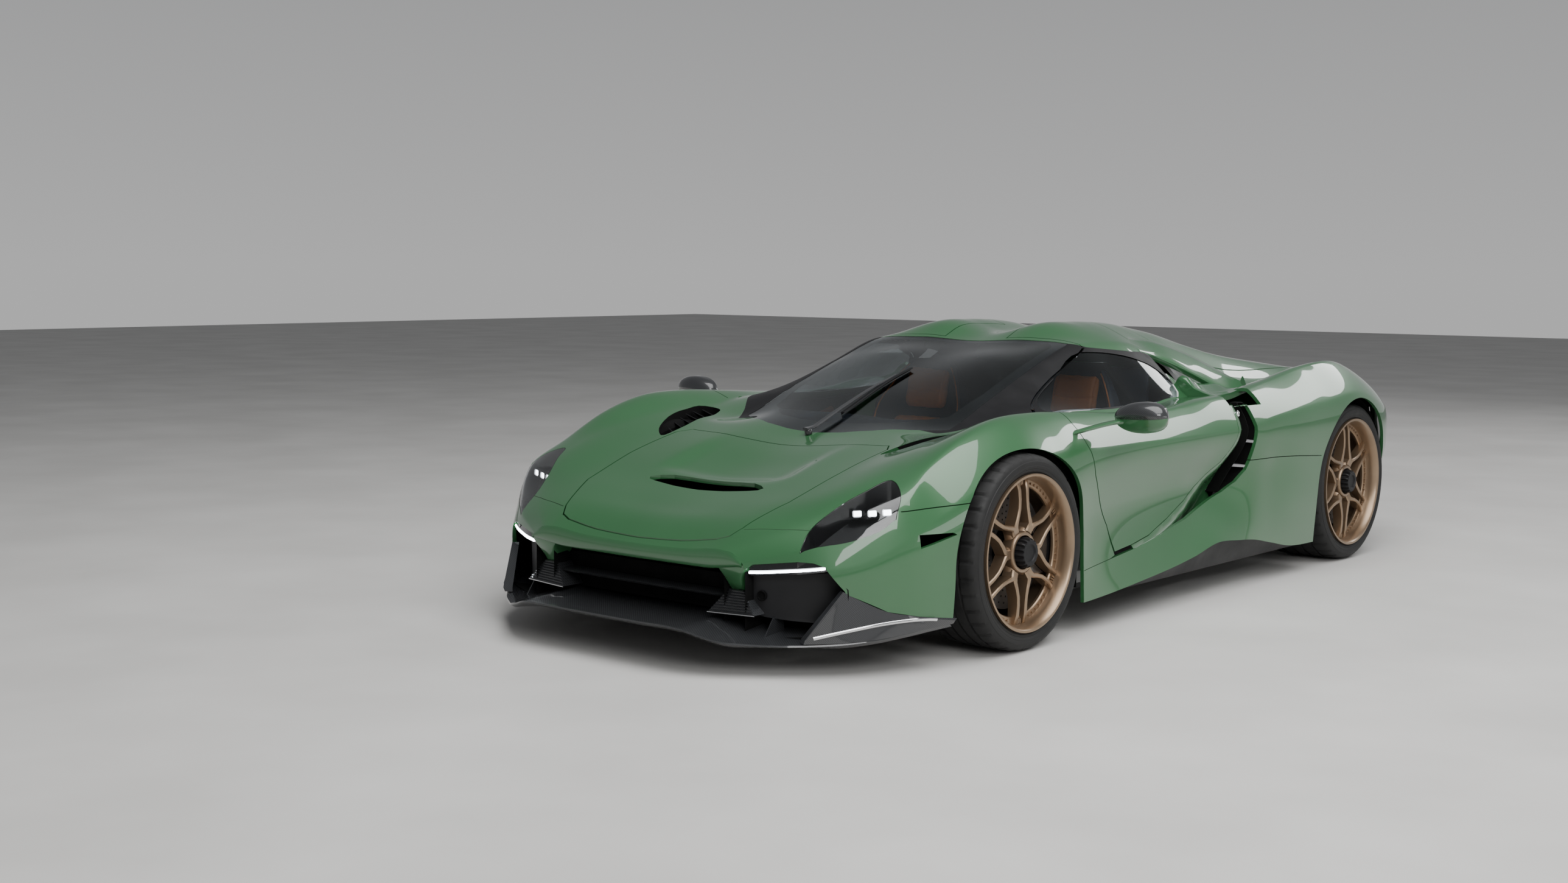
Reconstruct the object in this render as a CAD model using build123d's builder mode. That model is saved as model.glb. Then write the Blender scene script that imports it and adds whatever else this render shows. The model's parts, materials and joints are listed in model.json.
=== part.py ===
from build123d import *
from collections import namedtuple
import math
import os

os.makedirs("parts", exist_ok=True)

# ---------------------------------------------------------------------------
# Driving dimensions, in millimetres.  +X is the car's left, the nose faces -Y,
# +Z is up and the ground is Z = 0.
# ---------------------------------------------------------------------------
WHEELBASE = 2650.0
FRONT_AXLE_Y = -1200.0
REAR_AXLE_Y = FRONT_AXLE_Y + WHEELBASE

FRONT_TYRE_R = 335.0
FRONT_TYRE_WIDTH = 265.0
FRONT_RIM_R = 269.0
REAR_TYRE_R = 348.0
REAR_TYRE_WIDTH = 325.0
REAR_RIM_R = 281.5
FRONT_WHEEL_FACE_X = 1000.0
REAR_WHEEL_FACE_X = 970.0

SKIN = 30.0              # thickness of the body panels
GLASS_RECESS = 3.0       # glass sits this far under the body's surface
GLASS = 6.0              # thickness of every window
LID_GAP = 6.0            # shut gap round doors, hood and engine cover
SEAM = 0.3               # gap where two fixed curved faces would touch
DOOR_INNER_X = 745.0     # inner face of the door and of the outer sill
SPINE_HALF = 150.0       # half width of the fixed roof spine between the doors

FRONT_ARCH_LENGTH = 388.0
FRONT_ARCH_HEIGHT = 350.0
REAR_ARCH_R = 376.0
REAR_ARCH_SHIFT = -20.0  # the rear opening's centre lies ahead of its axle
ARCH_DEPTH_X = 560.0     # the arches are open outboard of this

FLOOR_Z = 95.0           # underside of splitter, floor and diffuser
FLOOR_THICKNESS = 20.0
FLOOR_TOP = FLOOR_Z + FLOOR_THICKNESS

TUB_WALL = 40.0
TUB_FLOOR_TOP = 150.0
TUB_FRONT_Y = 330.0
TUB_REAR_Y = 1440.0
TUB_SIDE_TOP = 240.0

SPINDLE_R = 30.0
RUNNING_GAP = 0.3        # clearance of pins and shafts in their holes
STUD_R = 12.0

# ---------------------------------------------------------------------------
# The body's sections.  Stations are measured from the front axle and the ones
# between the axles stretch with the wheelbase.  Each row gives half of a
# section, from the centre line outwards and down.
# ---------------------------------------------------------------------------
TABLE_WHEELBASE = 2650.0

Section = namedtuple(
    "Section",
    "y spine_z crest_x crest_z cant_x cant_z belt_x belt_z crown_x crown_z "
    "shoulder_x shoulder_z waist_x waist_z sill_x sill_z inner_x",
)
OPEN = 1000.0            # inner_x of a section whose wall is one skin thick
SECTIONS = [Section(*row) for row in (
    # y    spine crest     cant      belt      crown     shoulder  waist     sill      inner
    (-885, 368, 250, 374, 394, 386, 445, 380, 490, 352, 510, 300, 512, 220, 505, 115, OPEN),
    (-800, 438, 262, 445, 430, 448, 560, 432, 652, 396, 690, 330, 696, 230, 690, 115, OPEN),
    (-700, 474, 278, 487, 470, 498, 640, 490, 764, 450, 808, 352, 812, 240, 804, 115, OPEN),
    (-560, 519, 290, 532, 500, 550, 710, 572, 868, 542, 910, 430, 914, 260, 904, 115, OPEN),
    (-400, 562, 300, 584, 512, 602, 720, 636, 850, 628, 952, 505, 962, 300, 950, 115, OPEN),
    (-200, 620, 300, 640, 520, 652, 700, 690, 845, 722, 980, 600, 992, 350, 975, 115, OPEN),
    (0, 662, 300, 680, 524, 688, 690, 720, 845, 775, 985, 665, 996, 380, 975, 112, OPEN),
    (230, 738, 300, 728, 524, 700, 690, 725, 845, 786, 985, 650, 990, 380, 972, 108, OPEN),
    (480, 832, 300, 822, 512, 790, 735, 750, 850, 773, 968, 640, 948, 400, 970, 115, DOOR_INNER_X),
    (800, 925, 290, 935, 500, 902, 740, 740, 870, 752, 958, 640, 912, 420, 970, 138, DOOR_INNER_X),
    (1080, 988, 262, 1000, 495, 986, 742, 738, 885, 748, 962, 640, 896, 430, 970, 165, DOOR_INNER_X),
    (1200, 1014, 262, 1054, 505, 988, 743, 747, 888, 754, 964, 640, 894, 433, 970, 181, DOOR_INNER_X),
    (1400, 1014, 265, 1066, 520, 982, 745, 770, 895, 770, 970, 640, 890, 440, 970, 215, DOOR_INNER_X),
    (1700, 990, 275, 1052, 505, 930, 640, 720, 890, 790, 985, 660, 960, 440, 970, 192, OPEN),
    (2000, 950, 285, 1008, 480, 872, 600, 705, 860, 826, 990, 700, 985, 450, 970, 135, OPEN),
    (2300, 905, 300, 945, 455, 805, 600, 715, 850, 866, 990, 720, 992, 460, 970, 122, OPEN),
    (2650, 862, 320, 880, 460, 770, 620, 735, 850, 880, 990, 740, 992, 480, 965, 130, OPEN),
    (3000, 828, 350, 838, 500, 765, 640, 745, 820, 800, 955, 665, 960, 480, 930, 300, OPEN),
    (3250, 806, 380, 812, 540, 780, 660, 765, 760, 735, 850, 640, 862, 500, 830, 320, OPEN),
    (3450, 792, 380, 796, 540, 775, 620, 755, 680, 705, 730, 620, 736, 500, 710, 330, OPEN),
)]
NOSE_Y = SECTIONS[0].y
TAIL_Y = SECTIONS[-1].y


def place(station):
    """Model Y of a station that is measured from the front axle."""
    if station <= 0:
        return FRONT_AXLE_Y + station
    if station >= TABLE_WHEELBASE:
        return REAR_AXLE_Y + station - TABLE_WHEELBASE
    return FRONT_AXLE_Y + station * WHEELBASE / TABLE_WHEELBASE


def half_outline(row):
    """One section's corners, from the centre line to the sill."""
    return [
        (0.0, row.spine_z), (row.crest_x, row.crest_z), (row.cant_x, row.cant_z),
        (row.belt_x, row.belt_z), (row.crown_x, row.crown_z),
        (row.shoulder_x, row.shoulder_z), (row.waist_x, row.waist_z), (row.sill_x, row.sill_z),
    ]


def inset(points, depth, limit_x):
    """A half outline moved inwards by depth and kept inside limit_x."""
    moved = []
    for index, (x, z) in enumerate(points):
        before = points[index - 1] if index else (-points[1][0], points[1][1])
        after = points[index + 1] if index + 1 < len(points) else (x, z - 1)
        normals = []
        for (x0, z0), (x1, z1) in ((before, (x, z)), ((x, z), after)):
            length = math.hypot(x1 - x0, z1 - z0)
            normals.append(((z1 - z0) / length, -(x1 - x0) / length))
        (ax, az), (bx, bz) = normals
        share = depth / (1 + ax * bx + az * bz)
        moved.append((min(x + (ax + bx) * share, limit_x), z + (az + bz) * share))
    return moved


def row_at(station):
    """The section at any station, on the straight lines between the table's rows."""
    for low, high in zip(SECTIONS, SECTIONS[1:]):
        if low.y <= station <= high.y:
            share = (station - low.y) / (high.y - low.y)
            return Section(*[a + (b - a) * share for a, b in zip(low, high)])
    raise ValueError(station)


def rows_between(start, end):
    """The sections at two stations and at every table row between them."""
    return [row_at(start)] + [row for row in SECTIONS if start < row.y < end] + [row_at(end)]


def surface_z(x, station):
    """Height of the body's upper surface at a distance x from the centre line."""
    corners = half_outline(row_at(station))
    for (x0, z0), (x1, z1) in zip(corners, corners[1:]):
        if x0 <= x <= x1:
            return z0 + (z1 - z0) * (x - x0) / (x1 - x0)
    raise ValueError(x)


CENTRE, CREST, CANT, BELT, CROWN, SHOULDER, WAIST, SILL = range(8)


def loft_between(rings):
    """A ruled loft through rings of (station, corners).

    The rings are wires, because a sketch would merge corners that lie in line
    and a ruled loft needs the same number of corners in each ring.
    """
    wires = []
    for station, corners in rings:
        y = place(station)
        wires.append(Wire.make_polygon([Vector(x, y, z) for x, z in corners], close=True))
    add(Solid.make_loft(wires, True))


def skin(start, end, first, last, outside=0.0, inside=SKIN):
    """The body's skin between two stations and two columns.

    A strip that starts at the centre column spans both sides of the car.
    """
    rings = []
    for row in rows_between(start, end):
        corners = half_outline(row)
        outer = inset(corners, outside, OPEN)[first:last + 1]
        inner = inset(corners, inside, row.inner_x)[first:last + 1]
        if last == SILL:
            inner[-1] = (inner[-1][0], outer[-1][1])
        if first == CENTRE:
            outer = [(-x, z) for x, z in reversed(outer[1:])] + outer
            inner = [(-x, z) for x, z in reversed(inner[1:])] + inner
        rings.append((row.y, outer + inner[::-1]))
    loft_between(rings)


def end_wall(start, end):
    """The closed front or rear wall of the body between two stations."""
    rings = []
    for station in (start, end):
        half = half_outline(row_at(station))
        rings.append((station, half + [(-x, z) for x, z in reversed(half[1:])]))
    loft_between(rings)


def side_prism(outline, inner_x, outer_x, mode, grow=0.0):
    """A side-view outline of (station, z) corners, extruded across the car."""
    with BuildSketch(Plane.YZ.offset(inner_x)) as face:
        with BuildLine():
            Polyline(*[(place(y), z) for y, z in outline], close=True)
        make_face()
        if grow:
            offset(amount=grow, kind=Kind.INTERSECTION)
    extrude(face.sketch, amount=outer_x - inner_x, dir=(1, 0, 0), mode=mode)


def plan_prism(outline, low_z, high_z, mode, grow=0.0):
    """A plan-view outline of (x, station) corners, extruded upwards."""
    with BuildSketch(Plane.XY.offset(low_z)) as face:
        with BuildLine():
            Polyline(*[(x, place(y)) for x, y in outline], close=True)
        make_face()
        if grow:
            offset(amount=grow, kind=Kind.INTERSECTION)
    extrude(face.sketch, amount=high_z - low_z, dir=(0, 0, 1), mode=mode)


def front_prism(outline, from_y, to_y, mode):
    """A front-view outline of (x, z) corners, extruded along the car."""
    with BuildSketch(Plane.XZ.offset(-from_y)) as face:
        with BuildLine():
            Polyline(*outline, close=True)
        make_face()
    extrude(face.sketch, amount=to_y - from_y, dir=(0, 1, 0), mode=mode)


def both_sides(half):
    """A closed outline from its left half, given from front to back."""
    return half + [(-x, y) for x, y in reversed(half) if x > 0]


def block(x0, x1, y0, y1, z0, z1, mode=Mode.ADD):
    """A box between two corners, with Y given as stations."""
    front, back = place(y0), place(y1)
    with Locations(((x0 + x1) / 2, (front + back) / 2, (z0 + z1) / 2)):
        Box(abs(x1 - x0), back - front, z1 - z0, mode=mode)


def cross_cylinder(radius, x0, x1, y, z, mode=Mode.ADD):
    """A cylinder across the car, with y in model coordinates."""
    with Locations(Location(((x0 + x1) / 2, y, z), (0, 90, 0))):
        Cylinder(radius, abs(x1 - x0), mode=mode)


def keep(builder, name):
    """Label a finished piece and write it."""
    builder.part.label = name
    export_step(builder.part, f"parts/{name}.step")


# ---------------------------------------------------------------------------
# Outlines of the panels.  Side outlines are (station, z), plan ones (x, station).
# ---------------------------------------------------------------------------
REACH_BEYOND = 100.0     # cutters run this far past the body
HIGH = max(row.crest_z for row in SECTIONS) + REACH_BEYOND
HOOD_REAR = -95.0
ENGINE_LID_FRONT = 1775.0
DOOR_LOW_EDGE = [
    (636, 257), (814, 282), (1003, 321), (1197, 407), (1297, 473), (1372, 523), (1524, 658), (1580, 742),
]
DOOR_FRONT_EDGE = [(396, 738), (400, 705), (512, 594), (569, 437)]
DOOR_TOP_EDGE = [(1500, 800), (1500, HIGH), (1095, HIGH), (1095, 975), (1010, 945), (470, 752)]
DOOR_OUTLINE = DOOR_FRONT_EDGE + DOOR_LOW_EDGE + DOOR_TOP_EDGE
WINDOW_OUTLINE = [
    (560, 766), (985, 917), (1100, 945), (1250, 945), (1430, 925), (1440, 850), (1400, 795), (1320, 768),
    (972, 752), (654, 757),
]
WINDOW_INNER_X = 440.0
BLADE_EDGE = [(1002, 291), (1197, 346), (1422, 407), (1621, 475), (1701, 582), (1712, 700)]
INTAKE_OUTLINE = DOOR_LOW_EDGE[2:] + [(1650, 742)] + BLADE_EDGE[::-1]
HOOD_FRONT = -868.0
FENDER_FRONT = -400.0
WINDSCREEN_FRONT = 50.0
WINDSCREEN_REAR = 1080.0
REAR_WINDOW_FRONT = 1830.0
REAR_WINDOW_REAR = 2240.0
ENGINE_LID_REAR = 3200.0
INTAKE_INNER_X = 640.0
LID_CUT_LOW = 200.0      # cutters through the nose's and the lids' skins begin at these heights
REAR_CUT_LOW = 500.0
GLASS_CUT_LOW = 600.0
SILL_OUTLINE = [(392, 0), (392, 190), (636, 247)] + BLADE_EDGE[:4] + [(2260, 475), (2260, 0)]
HOOD_HALF = [
    (0, HOOD_FRONT), (394, -846), (470, -640), (500, FENDER_FRONT), (505, -150), (470, HOOD_REAR),
    (0, HOOD_REAR),
]
WINDSCREEN_HALF = [
    (0, WINDSCREEN_FRONT), (250, 85), (486, 235), (478, 500), (462, 1040), (250, 1072),
    (0, WINDSCREEN_REAR),
]
HEADLAMP = [(612, -800), (660, -792), (800, -690), (880, -572), (862, -520), (767, -471), (690, -610)]
ENGINE_LID_HALF = [
    (0, ENGINE_LID_FRONT), (400, ENGINE_LID_FRONT), (400, ENGINE_LID_REAR), (0, ENGINE_LID_REAR),
]
REAR_WINDOW_HALF = [
    (0, REAR_WINDOW_FRONT), (190, REAR_WINDOW_FRONT), (230, REAR_WINDOW_REAR), (0, REAR_WINDOW_REAR),
]
PILLAR_FOOT = [(120, 738), (396, 738)]
ROOF_REGION = PILLAR_FOOT + [
    (470, 752), (1010, 945), (1590, 742), (ENGINE_LID_FRONT, 742), (ENGINE_LID_FRONT, HIGH), (120, HIGH),
]
REAR_REGION = [(1590, 742), (1712, 742), (1712, 700)] + BLADE_EDGE[3:5][::-1] + [
    (2260, 475), (2260, 0), (3500, 0), (3500, HIGH), (ENGINE_LID_FRONT, HIGH), (ENGINE_LID_FRONT, 742),
]
CUT_FRONT = -1000.0      # cutters from the front begin here
FRONT_FOOT = [(CUT_FRONT, 0), (392, 0), (392, 190), (636, 247)]
FRONT_REGION = FRONT_FOOT + DOOR_LOW_EDGE[:1] + DOOR_FRONT_EDGE[::-1] + [
    (120, 738), (120, HIGH), (CUT_FRONT, HIGH),
]
OUTSIDE = max(max(row.shoulder_x, row.waist_x) for row in SECTIONS) + REACH_BEYOND
LAP = 10.0               # glass is cut from a skin this much longer than its opening


def cut_arches():
    """Open the four wheel arches in the piece that is being built."""
    rear_y = REAR_AXLE_Y + REAR_ARCH_SHIFT
    for side in (-1, 1):
        with BuildSketch(Plane.YZ.offset(side * ARCH_DEPTH_X)) as arch:
            with Locations((FRONT_AXLE_Y, FRONT_TYRE_R)):
                Ellipse(FRONT_ARCH_LENGTH, FRONT_ARCH_HEIGHT)
            with Locations((FRONT_AXLE_Y, FRONT_TYRE_R / 2)):
                Rectangle(2 * FRONT_ARCH_LENGTH, FRONT_TYRE_R)
            with Locations((rear_y, REAR_TYRE_R)):
                Circle(REAR_ARCH_R)
            with Locations((rear_y, REAR_TYRE_R / 2)):
                Rectangle(2 * REAR_ARCH_R, REAR_TYRE_R)
        extrude(arch.sketch, amount=side * (OUTSIDE - ARCH_DEPTH_X), dir=(1, 0, 0), mode=Mode.SUBTRACT)


def cut_doors(grow):
    """Clear both doors' outlines from the piece that is being built."""
    side_prism(DOOR_OUTLINE, SPINE_HALF, OUTSIDE, Mode.SUBTRACT, grow)
    side_prism(DOOR_OUTLINE, -OUTSIDE, -SPINE_HALF, Mode.SUBTRACT, grow)


# ---------------------------------------------------------------------------
# Hinges of the doors, the hood and the engine cover.  Each axis lies just above
# the skin in the middle of its shut gap.
# ---------------------------------------------------------------------------
HINGE_R = 9.0
HINGE_PIN_R = 5.0
HINGE_RISE = 2.0
HINGE_HALF = 12.0        # half the length of the moving lug
HINGE_LUG = 12.0         # length of each fixed lug
HINGE_SIDE_GAP = 1.0
TIE_REACH = 26.0
TIE_DEPTH = 26.0
HOOD_HINGE_X = 400.0
ENGINE_HINGE_X = 278.0
DOOR_HINGE_STATIONS = (1170.0, 1420.0)
MOVING_GAP = 5.0

door_hinge_x = SPINE_HALF + LID_GAP / 2
door_hinge_z = surface_z(door_hinge_x, 1400) + HINGE_RISE
hood_hinge_z = surface_z(HOOD_HINGE_X, HOOD_REAR) + 2 * HINGE_RISE
engine_hinge_z = surface_z(ENGINE_HINGE_X, ENGINE_LID_FRONT) + HINGE_RISE


def door_hinges(side):
    """Planes across one door's hinges; each plane's X points to the door, its Y up."""
    return [
        Plane(origin=(side * door_hinge_x, place(y), door_hinge_z), x_dir=(side, 0, 0), z_dir=(0, -side, 0))
        for y in DOOR_HINGE_STATIONS
    ]


HOOD_HINGES = [
    Plane(origin=(x, place(HOOD_REAR) - LID_GAP / 2, hood_hinge_z), x_dir=(0, -1, 0), z_dir=(-1, 0, 0))
    for x in (-HOOD_HINGE_X, HOOD_HINGE_X)
]
ENGINE_HINGES = [
    Plane(origin=(x, place(ENGINE_LID_FRONT) + LID_GAP / 2, engine_hinge_z),
          x_dir=(0, 1, 0), z_dir=(1, 0, 0))
    for x in (-ENGINE_HINGE_X, ENGINE_HINGE_X)
]


def add_hinges(planes, moving):
    """One side of each hinge: notches for the other side's lugs, then its own lugs."""
    middle = [(-HINGE_HALF, HINGE_HALF)]
    start = HINGE_HALF + HINGE_SIDE_GAP
    ends = [(-start - HINGE_LUG, -start), (start, start + HINGE_LUG)]
    own, other = (middle, ends) if moving else (ends, middle)
    direction = 1 if moving else -1
    for plane in planes:
        for low, high in other:
            with BuildSketch(plane.offset(low - HINGE_SIDE_GAP)) as notch:
                Circle(HINGE_R + MOVING_GAP)
            extrude(notch.sketch, amount=high - low + 2 * HINGE_SIDE_GAP, mode=Mode.SUBTRACT)
        for low, high in own:
            with BuildSketch(plane.offset(low)) as lug:
                Circle(HINGE_R)
                with Locations((direction * (TIE_REACH + LID_GAP / 2) / 2, -TIE_DEPTH / 2)):
                    Rectangle(TIE_REACH - LID_GAP / 2, TIE_DEPTH)
            extrude(lug.sketch, amount=high - low)
        if moving:
            with BuildSketch(plane.offset(-start)) as bore:
                Circle(HINGE_PIN_R + RUNNING_GAP)
            extrude(bore.sketch, amount=2 * start, mode=Mode.SUBTRACT)
        else:
            with BuildSketch(plane.offset(-start - HINGE_LUG)) as pin:
                Circle(HINGE_PIN_R)
            extrude(pin.sketch, amount=2 * (start + HINGE_LUG))


# ---------------------------------------------------------------------------
# Fixed body panels
# ---------------------------------------------------------------------------
GRILLE_OPENING = [(-418, 150), (418, 150), (418, 312), (-418, 318)]
GRILLE_BACK = -700.0
CORNER_BACK = -440.0
SIDE_GRILLE = [(448, 150), (500, 150), (500, 300), (448, 310)]
CORNER_INTAKE = [(548, 150), (560, 296), (705, 326), (850, 300), (905, 190), (880, 150)]

with BuildPart() as front_clamshell:
    skin(NOSE_Y + SKIN, 640, CENTRE, SILL)
    end_wall(NOSE_Y, NOSE_Y + SKIN)
    side_prism(FRONT_REGION, -OUTSIDE, OUTSIDE, Mode.INTERSECT)
    cut_arches()
    plan_prism(both_sides(HOOD_HALF), LID_CUT_LOW, HIGH, Mode.SUBTRACT)
    plan_prism(both_sides(WINDSCREEN_HALF), GLASS_CUT_LOW, HIGH, Mode.SUBTRACT)
    front_prism(GRILLE_OPENING, place(CUT_FRONT), place(GRILLE_BACK), Mode.SUBTRACT)
    for side in (-1, 1):
        plan_prism([(side * x, y) for x, y in HEADLAMP], LID_CUT_LOW, HIGH, Mode.SUBTRACT)
        for outline, back in ((SIDE_GRILLE, GRILLE_BACK), (CORNER_INTAKE, CORNER_BACK)):
            mouth = [(side * x, z) for x, z in outline]
            front_prism(mouth, place(CUT_FRONT), place(back), Mode.SUBTRACT)
    add_hinges(HOOD_HINGES, False)
keep(front_clamshell, "front_clamshell")

with BuildPart() as hood_lid:
    skin(HOOD_FRONT, HOOD_REAR, CENTRE, CANT)
    plan_prism(both_sides(HOOD_HALF), LID_CUT_LOW, HIGH, Mode.INTERSECT, -LID_GAP)
    add_hinges(HOOD_HINGES, True)
keep(hood_lid, "hood_lid")

with BuildPart() as roof_frame:
    skin(120, ENGINE_LID_FRONT, CENTRE, BELT)
    side_prism(ROOF_REGION, -OUTSIDE, OUTSIDE, Mode.INTERSECT)
    plan_prism(both_sides(WINDSCREEN_HALF), GLASS_CUT_LOW, HIGH, Mode.SUBTRACT)
    cut_doors(0.0)
    for side in (-1, 1):
        add_hinges(door_hinges(side), False)
    add_hinges(ENGINE_HINGES, False)
keep(roof_frame, "roof_frame")

with BuildPart() as windscreen:
    skin(WINDSCREEN_FRONT - LAP, WINDSCREEN_REAR + LAP, CENTRE, CANT, GLASS_RECESS, GLASS_RECESS + GLASS)
    plan_prism(both_sides(WINDSCREEN_HALF), GLASS_CUT_LOW, HIGH, Mode.INTERSECT, -SEAM)
keep(windscreen, "windscreen")

with BuildPart() as side_sills:
    skin(392, 2260, SHOULDER, SILL)
    side_prism(SILL_OUTLINE, 0, OUTSIDE, Mode.INTERSECT)
    cut_arches()
    mirror(about=Plane.YZ)
keep(side_sills, "side_sills")

TAIL_LAMP_IN = 330.0
TAIL_LAMP_OUT = 690.0
TAIL_LAMP_Z = 630.0
TAIL_LAMP_HEIGHT = 26.0
TAIL_LAMP_DEPTH = 14.0
TIP_R = 48.0
TIP_WALL = 4.0
TIP_X = 75.0
TIP_Z = 470.0
TIP_LENGTH = 120.0

with BuildPart() as rear_clamshell:
    skin(1590, TAIL_Y - SKIN, CENTRE, SILL)
    end_wall(TAIL_Y - SKIN, TAIL_Y)
    side_prism(REAR_REGION, -OUTSIDE, OUTSIDE, Mode.INTERSECT)
    cut_arches()
    plan_prism(both_sides(ENGINE_LID_HALF), REAR_CUT_LOW, HIGH, Mode.SUBTRACT)
    for side in (-1, 1):
        block(side * TAIL_LAMP_IN, side * TAIL_LAMP_OUT, TAIL_Y - TAIL_LAMP_DEPTH, TAIL_Y + 1,
              TAIL_LAMP_Z, TAIL_LAMP_Z + TAIL_LAMP_HEIGHT, Mode.SUBTRACT)
        with Locations(Location((side * TIP_X, place(TAIL_Y), TIP_Z), (90, 0, 0))):
            Cylinder(TIP_R + SEAM, 2 * TIP_LENGTH, mode=Mode.SUBTRACT)
keep(rear_clamshell, "rear_clamshell")

with BuildPart() as engine_cover:
    skin(ENGINE_LID_FRONT, ENGINE_LID_REAR, CENTRE, CANT)
    plan_prism(both_sides(ENGINE_LID_HALF), REAR_CUT_LOW, HIGH, Mode.INTERSECT, -LID_GAP)
    plan_prism(both_sides(REAR_WINDOW_HALF), REAR_CUT_LOW, HIGH, Mode.SUBTRACT)
    add_hinges(ENGINE_HINGES, True)
keep(engine_cover, "engine_cover")

with BuildPart() as rear_window:
    skin(REAR_WINDOW_FRONT - LAP, REAR_WINDOW_REAR + LAP, CENTRE, CREST, GLASS_RECESS, GLASS_RECESS + GLASS)
    plan_prism(both_sides(REAR_WINDOW_HALF), REAR_CUT_LOW, HIGH, Mode.INTERSECT, -SEAM)
keep(rear_window, "rear_window")

with BuildPart() as headlamps:
    skin(-810, -450, CANT, SHOULDER)
    plan_prism(HEADLAMP, LID_CUT_LOW, HIGH, Mode.INTERSECT, -SEAM)
    mirror(about=Plane.YZ)
keep(headlamps, "headlamps")

# ---------------------------------------------------------------------------
# Doors, their glass and their mirrors
# ---------------------------------------------------------------------------
with BuildPart() as door_left:
    skin(390, 1590, CENTRE, SILL)
    side_prism(DOOR_OUTLINE, SPINE_HALF + LID_GAP, OUTSIDE, Mode.INTERSECT, -LID_GAP)
    side_prism(WINDOW_OUTLINE, WINDOW_INNER_X, OUTSIDE, Mode.SUBTRACT)
    add_hinges(door_hinges(1), True)

with BuildPart() as door_glass_left:
    skin(480, 1500, CANT, BELT, GLASS_RECESS, GLASS_RECESS + GLASS)
    side_prism(WINDOW_OUTLINE, WINDOW_INNER_X + SEAM, OUTSIDE, Mode.INTERSECT, -SEAM)
keep(door_left, "door_left")
keep(door_glass_left, "door_glass_left")

MIRROR_X = 1078.0
MIRROR_STATION = 577.0
MIRROR_Z = 777.0
MIRROR_HALF_X = 105.0
MIRROR_LENGTH = 104.0
MIRROR_HEIGHT = 124.0
MIRROR_CORNER = 26.0
MIRROR_RINGS = ((-1.0, 0.62), (-0.55, 0.96), (0.35, 1.0), (1.0, 0.7))   # share of the half width, scale
STALK_ROOT = (835.0, 560.0, 750.0)
STALK_TIP = (MIRROR_X - 60, MIRROR_STATION, MIRROR_Z - 30)
STALK_CHORD = 70.0
STALK_THICKNESS = 16.0

with BuildPart() as mirror_left:
    for share, scale in MIRROR_RINGS:
        with BuildSketch(Plane.YZ.offset(MIRROR_X + share * MIRROR_HALF_X)):
            with Locations((place(MIRROR_STATION), MIRROR_Z)):
                RectangleRounded(scale * MIRROR_LENGTH, scale * MIRROR_HEIGHT, scale * MIRROR_CORNER)
    loft(ruled=True)
    for x, y, z in (STALK_ROOT, STALK_TIP):
        with BuildSketch(Plane.YZ.offset(x)):
            with Locations((place(y), z)):
                Rectangle(STALK_CHORD, STALK_THICKNESS)
    loft(ruled=True)
    add(door_left.part, mode=Mode.SUBTRACT)
keep(mirror_left, "mirror_left")

RIGHT_PIECES = (
    (door_left, "door_right"),
    (door_glass_left, "door_glass_right"),
    (mirror_left, "mirror_right"),
)
for left, name in RIGHT_PIECES:
    with BuildPart() as right:
        mirror(left.part, about=Plane.YZ)
    keep(right, name)

# ---------------------------------------------------------------------------
# Nose, floor and tail
# ---------------------------------------------------------------------------
SPLITTER_HALF = [
    (0, -1050), (362, -1046), (488, -995), (640, -885), (800, -740), (905, -560), (940, -430),
    (900, FENDER_FRONT), (0, FENDER_FRONT),
]
SPLITTER_RISE = 22.0
SPLITTER_STEP_HALF = [(0, -1048), (362, -1044), (340, -890), (0, -890)]
FENCE_XS = (430.0, 585.0)
FENCE_TOP = 150.0
FENCE_FRONT = -990.0
FENCE_TOP_FRONT = -850.0
FENCE_REAR = -760.0
FENCE_SWEEP = 0.9        # each fence's foot and top start this much further back per mm outboard
FENCE_TOP_SWEEP = 0.3
NOSE_PLAN_HALF = [(0, NOSE_Y), (512, NOSE_Y), (676, -800), (788, -700), (788, -600), (0, -600)]
NOSE_PLAN_TOP = 200.0
FENCE = 8.0
NOSE_CLEARANCE = 8.0     # round the nose, so that the splitter only meets it from below

with BuildPart() as splitter:
    plan_prism(both_sides(SPLITTER_HALF), FLOOR_Z, FLOOR_TOP, Mode.ADD)
    plan_prism(both_sides(SPLITTER_STEP_HALF), FLOOR_TOP, FLOOR_TOP + SPLITTER_RISE, Mode.ADD)
    for side in (-1, 1):
        for x in FENCE_XS:
            outboard = x - FENCE_XS[0]
            fence = [
                (FENCE_FRONT + FENCE_SWEEP * outboard, FLOOR_TOP),
                (FENCE_REAR, FLOOR_TOP),
                (FENCE_REAR, FENCE_TOP),
                (FENCE_TOP_FRONT + FENCE_TOP_SWEEP * outboard, FENCE_TOP),
            ]
            side_prism(fence, side * x - FENCE / 2, side * x + FENCE / 2, Mode.ADD)
    plan_prism(both_sides(NOSE_PLAN_HALF), FLOOR_TOP, NOSE_PLAN_TOP, Mode.SUBTRACT, NOSE_CLEARANCE)
keep(splitter, "splitter")

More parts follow.
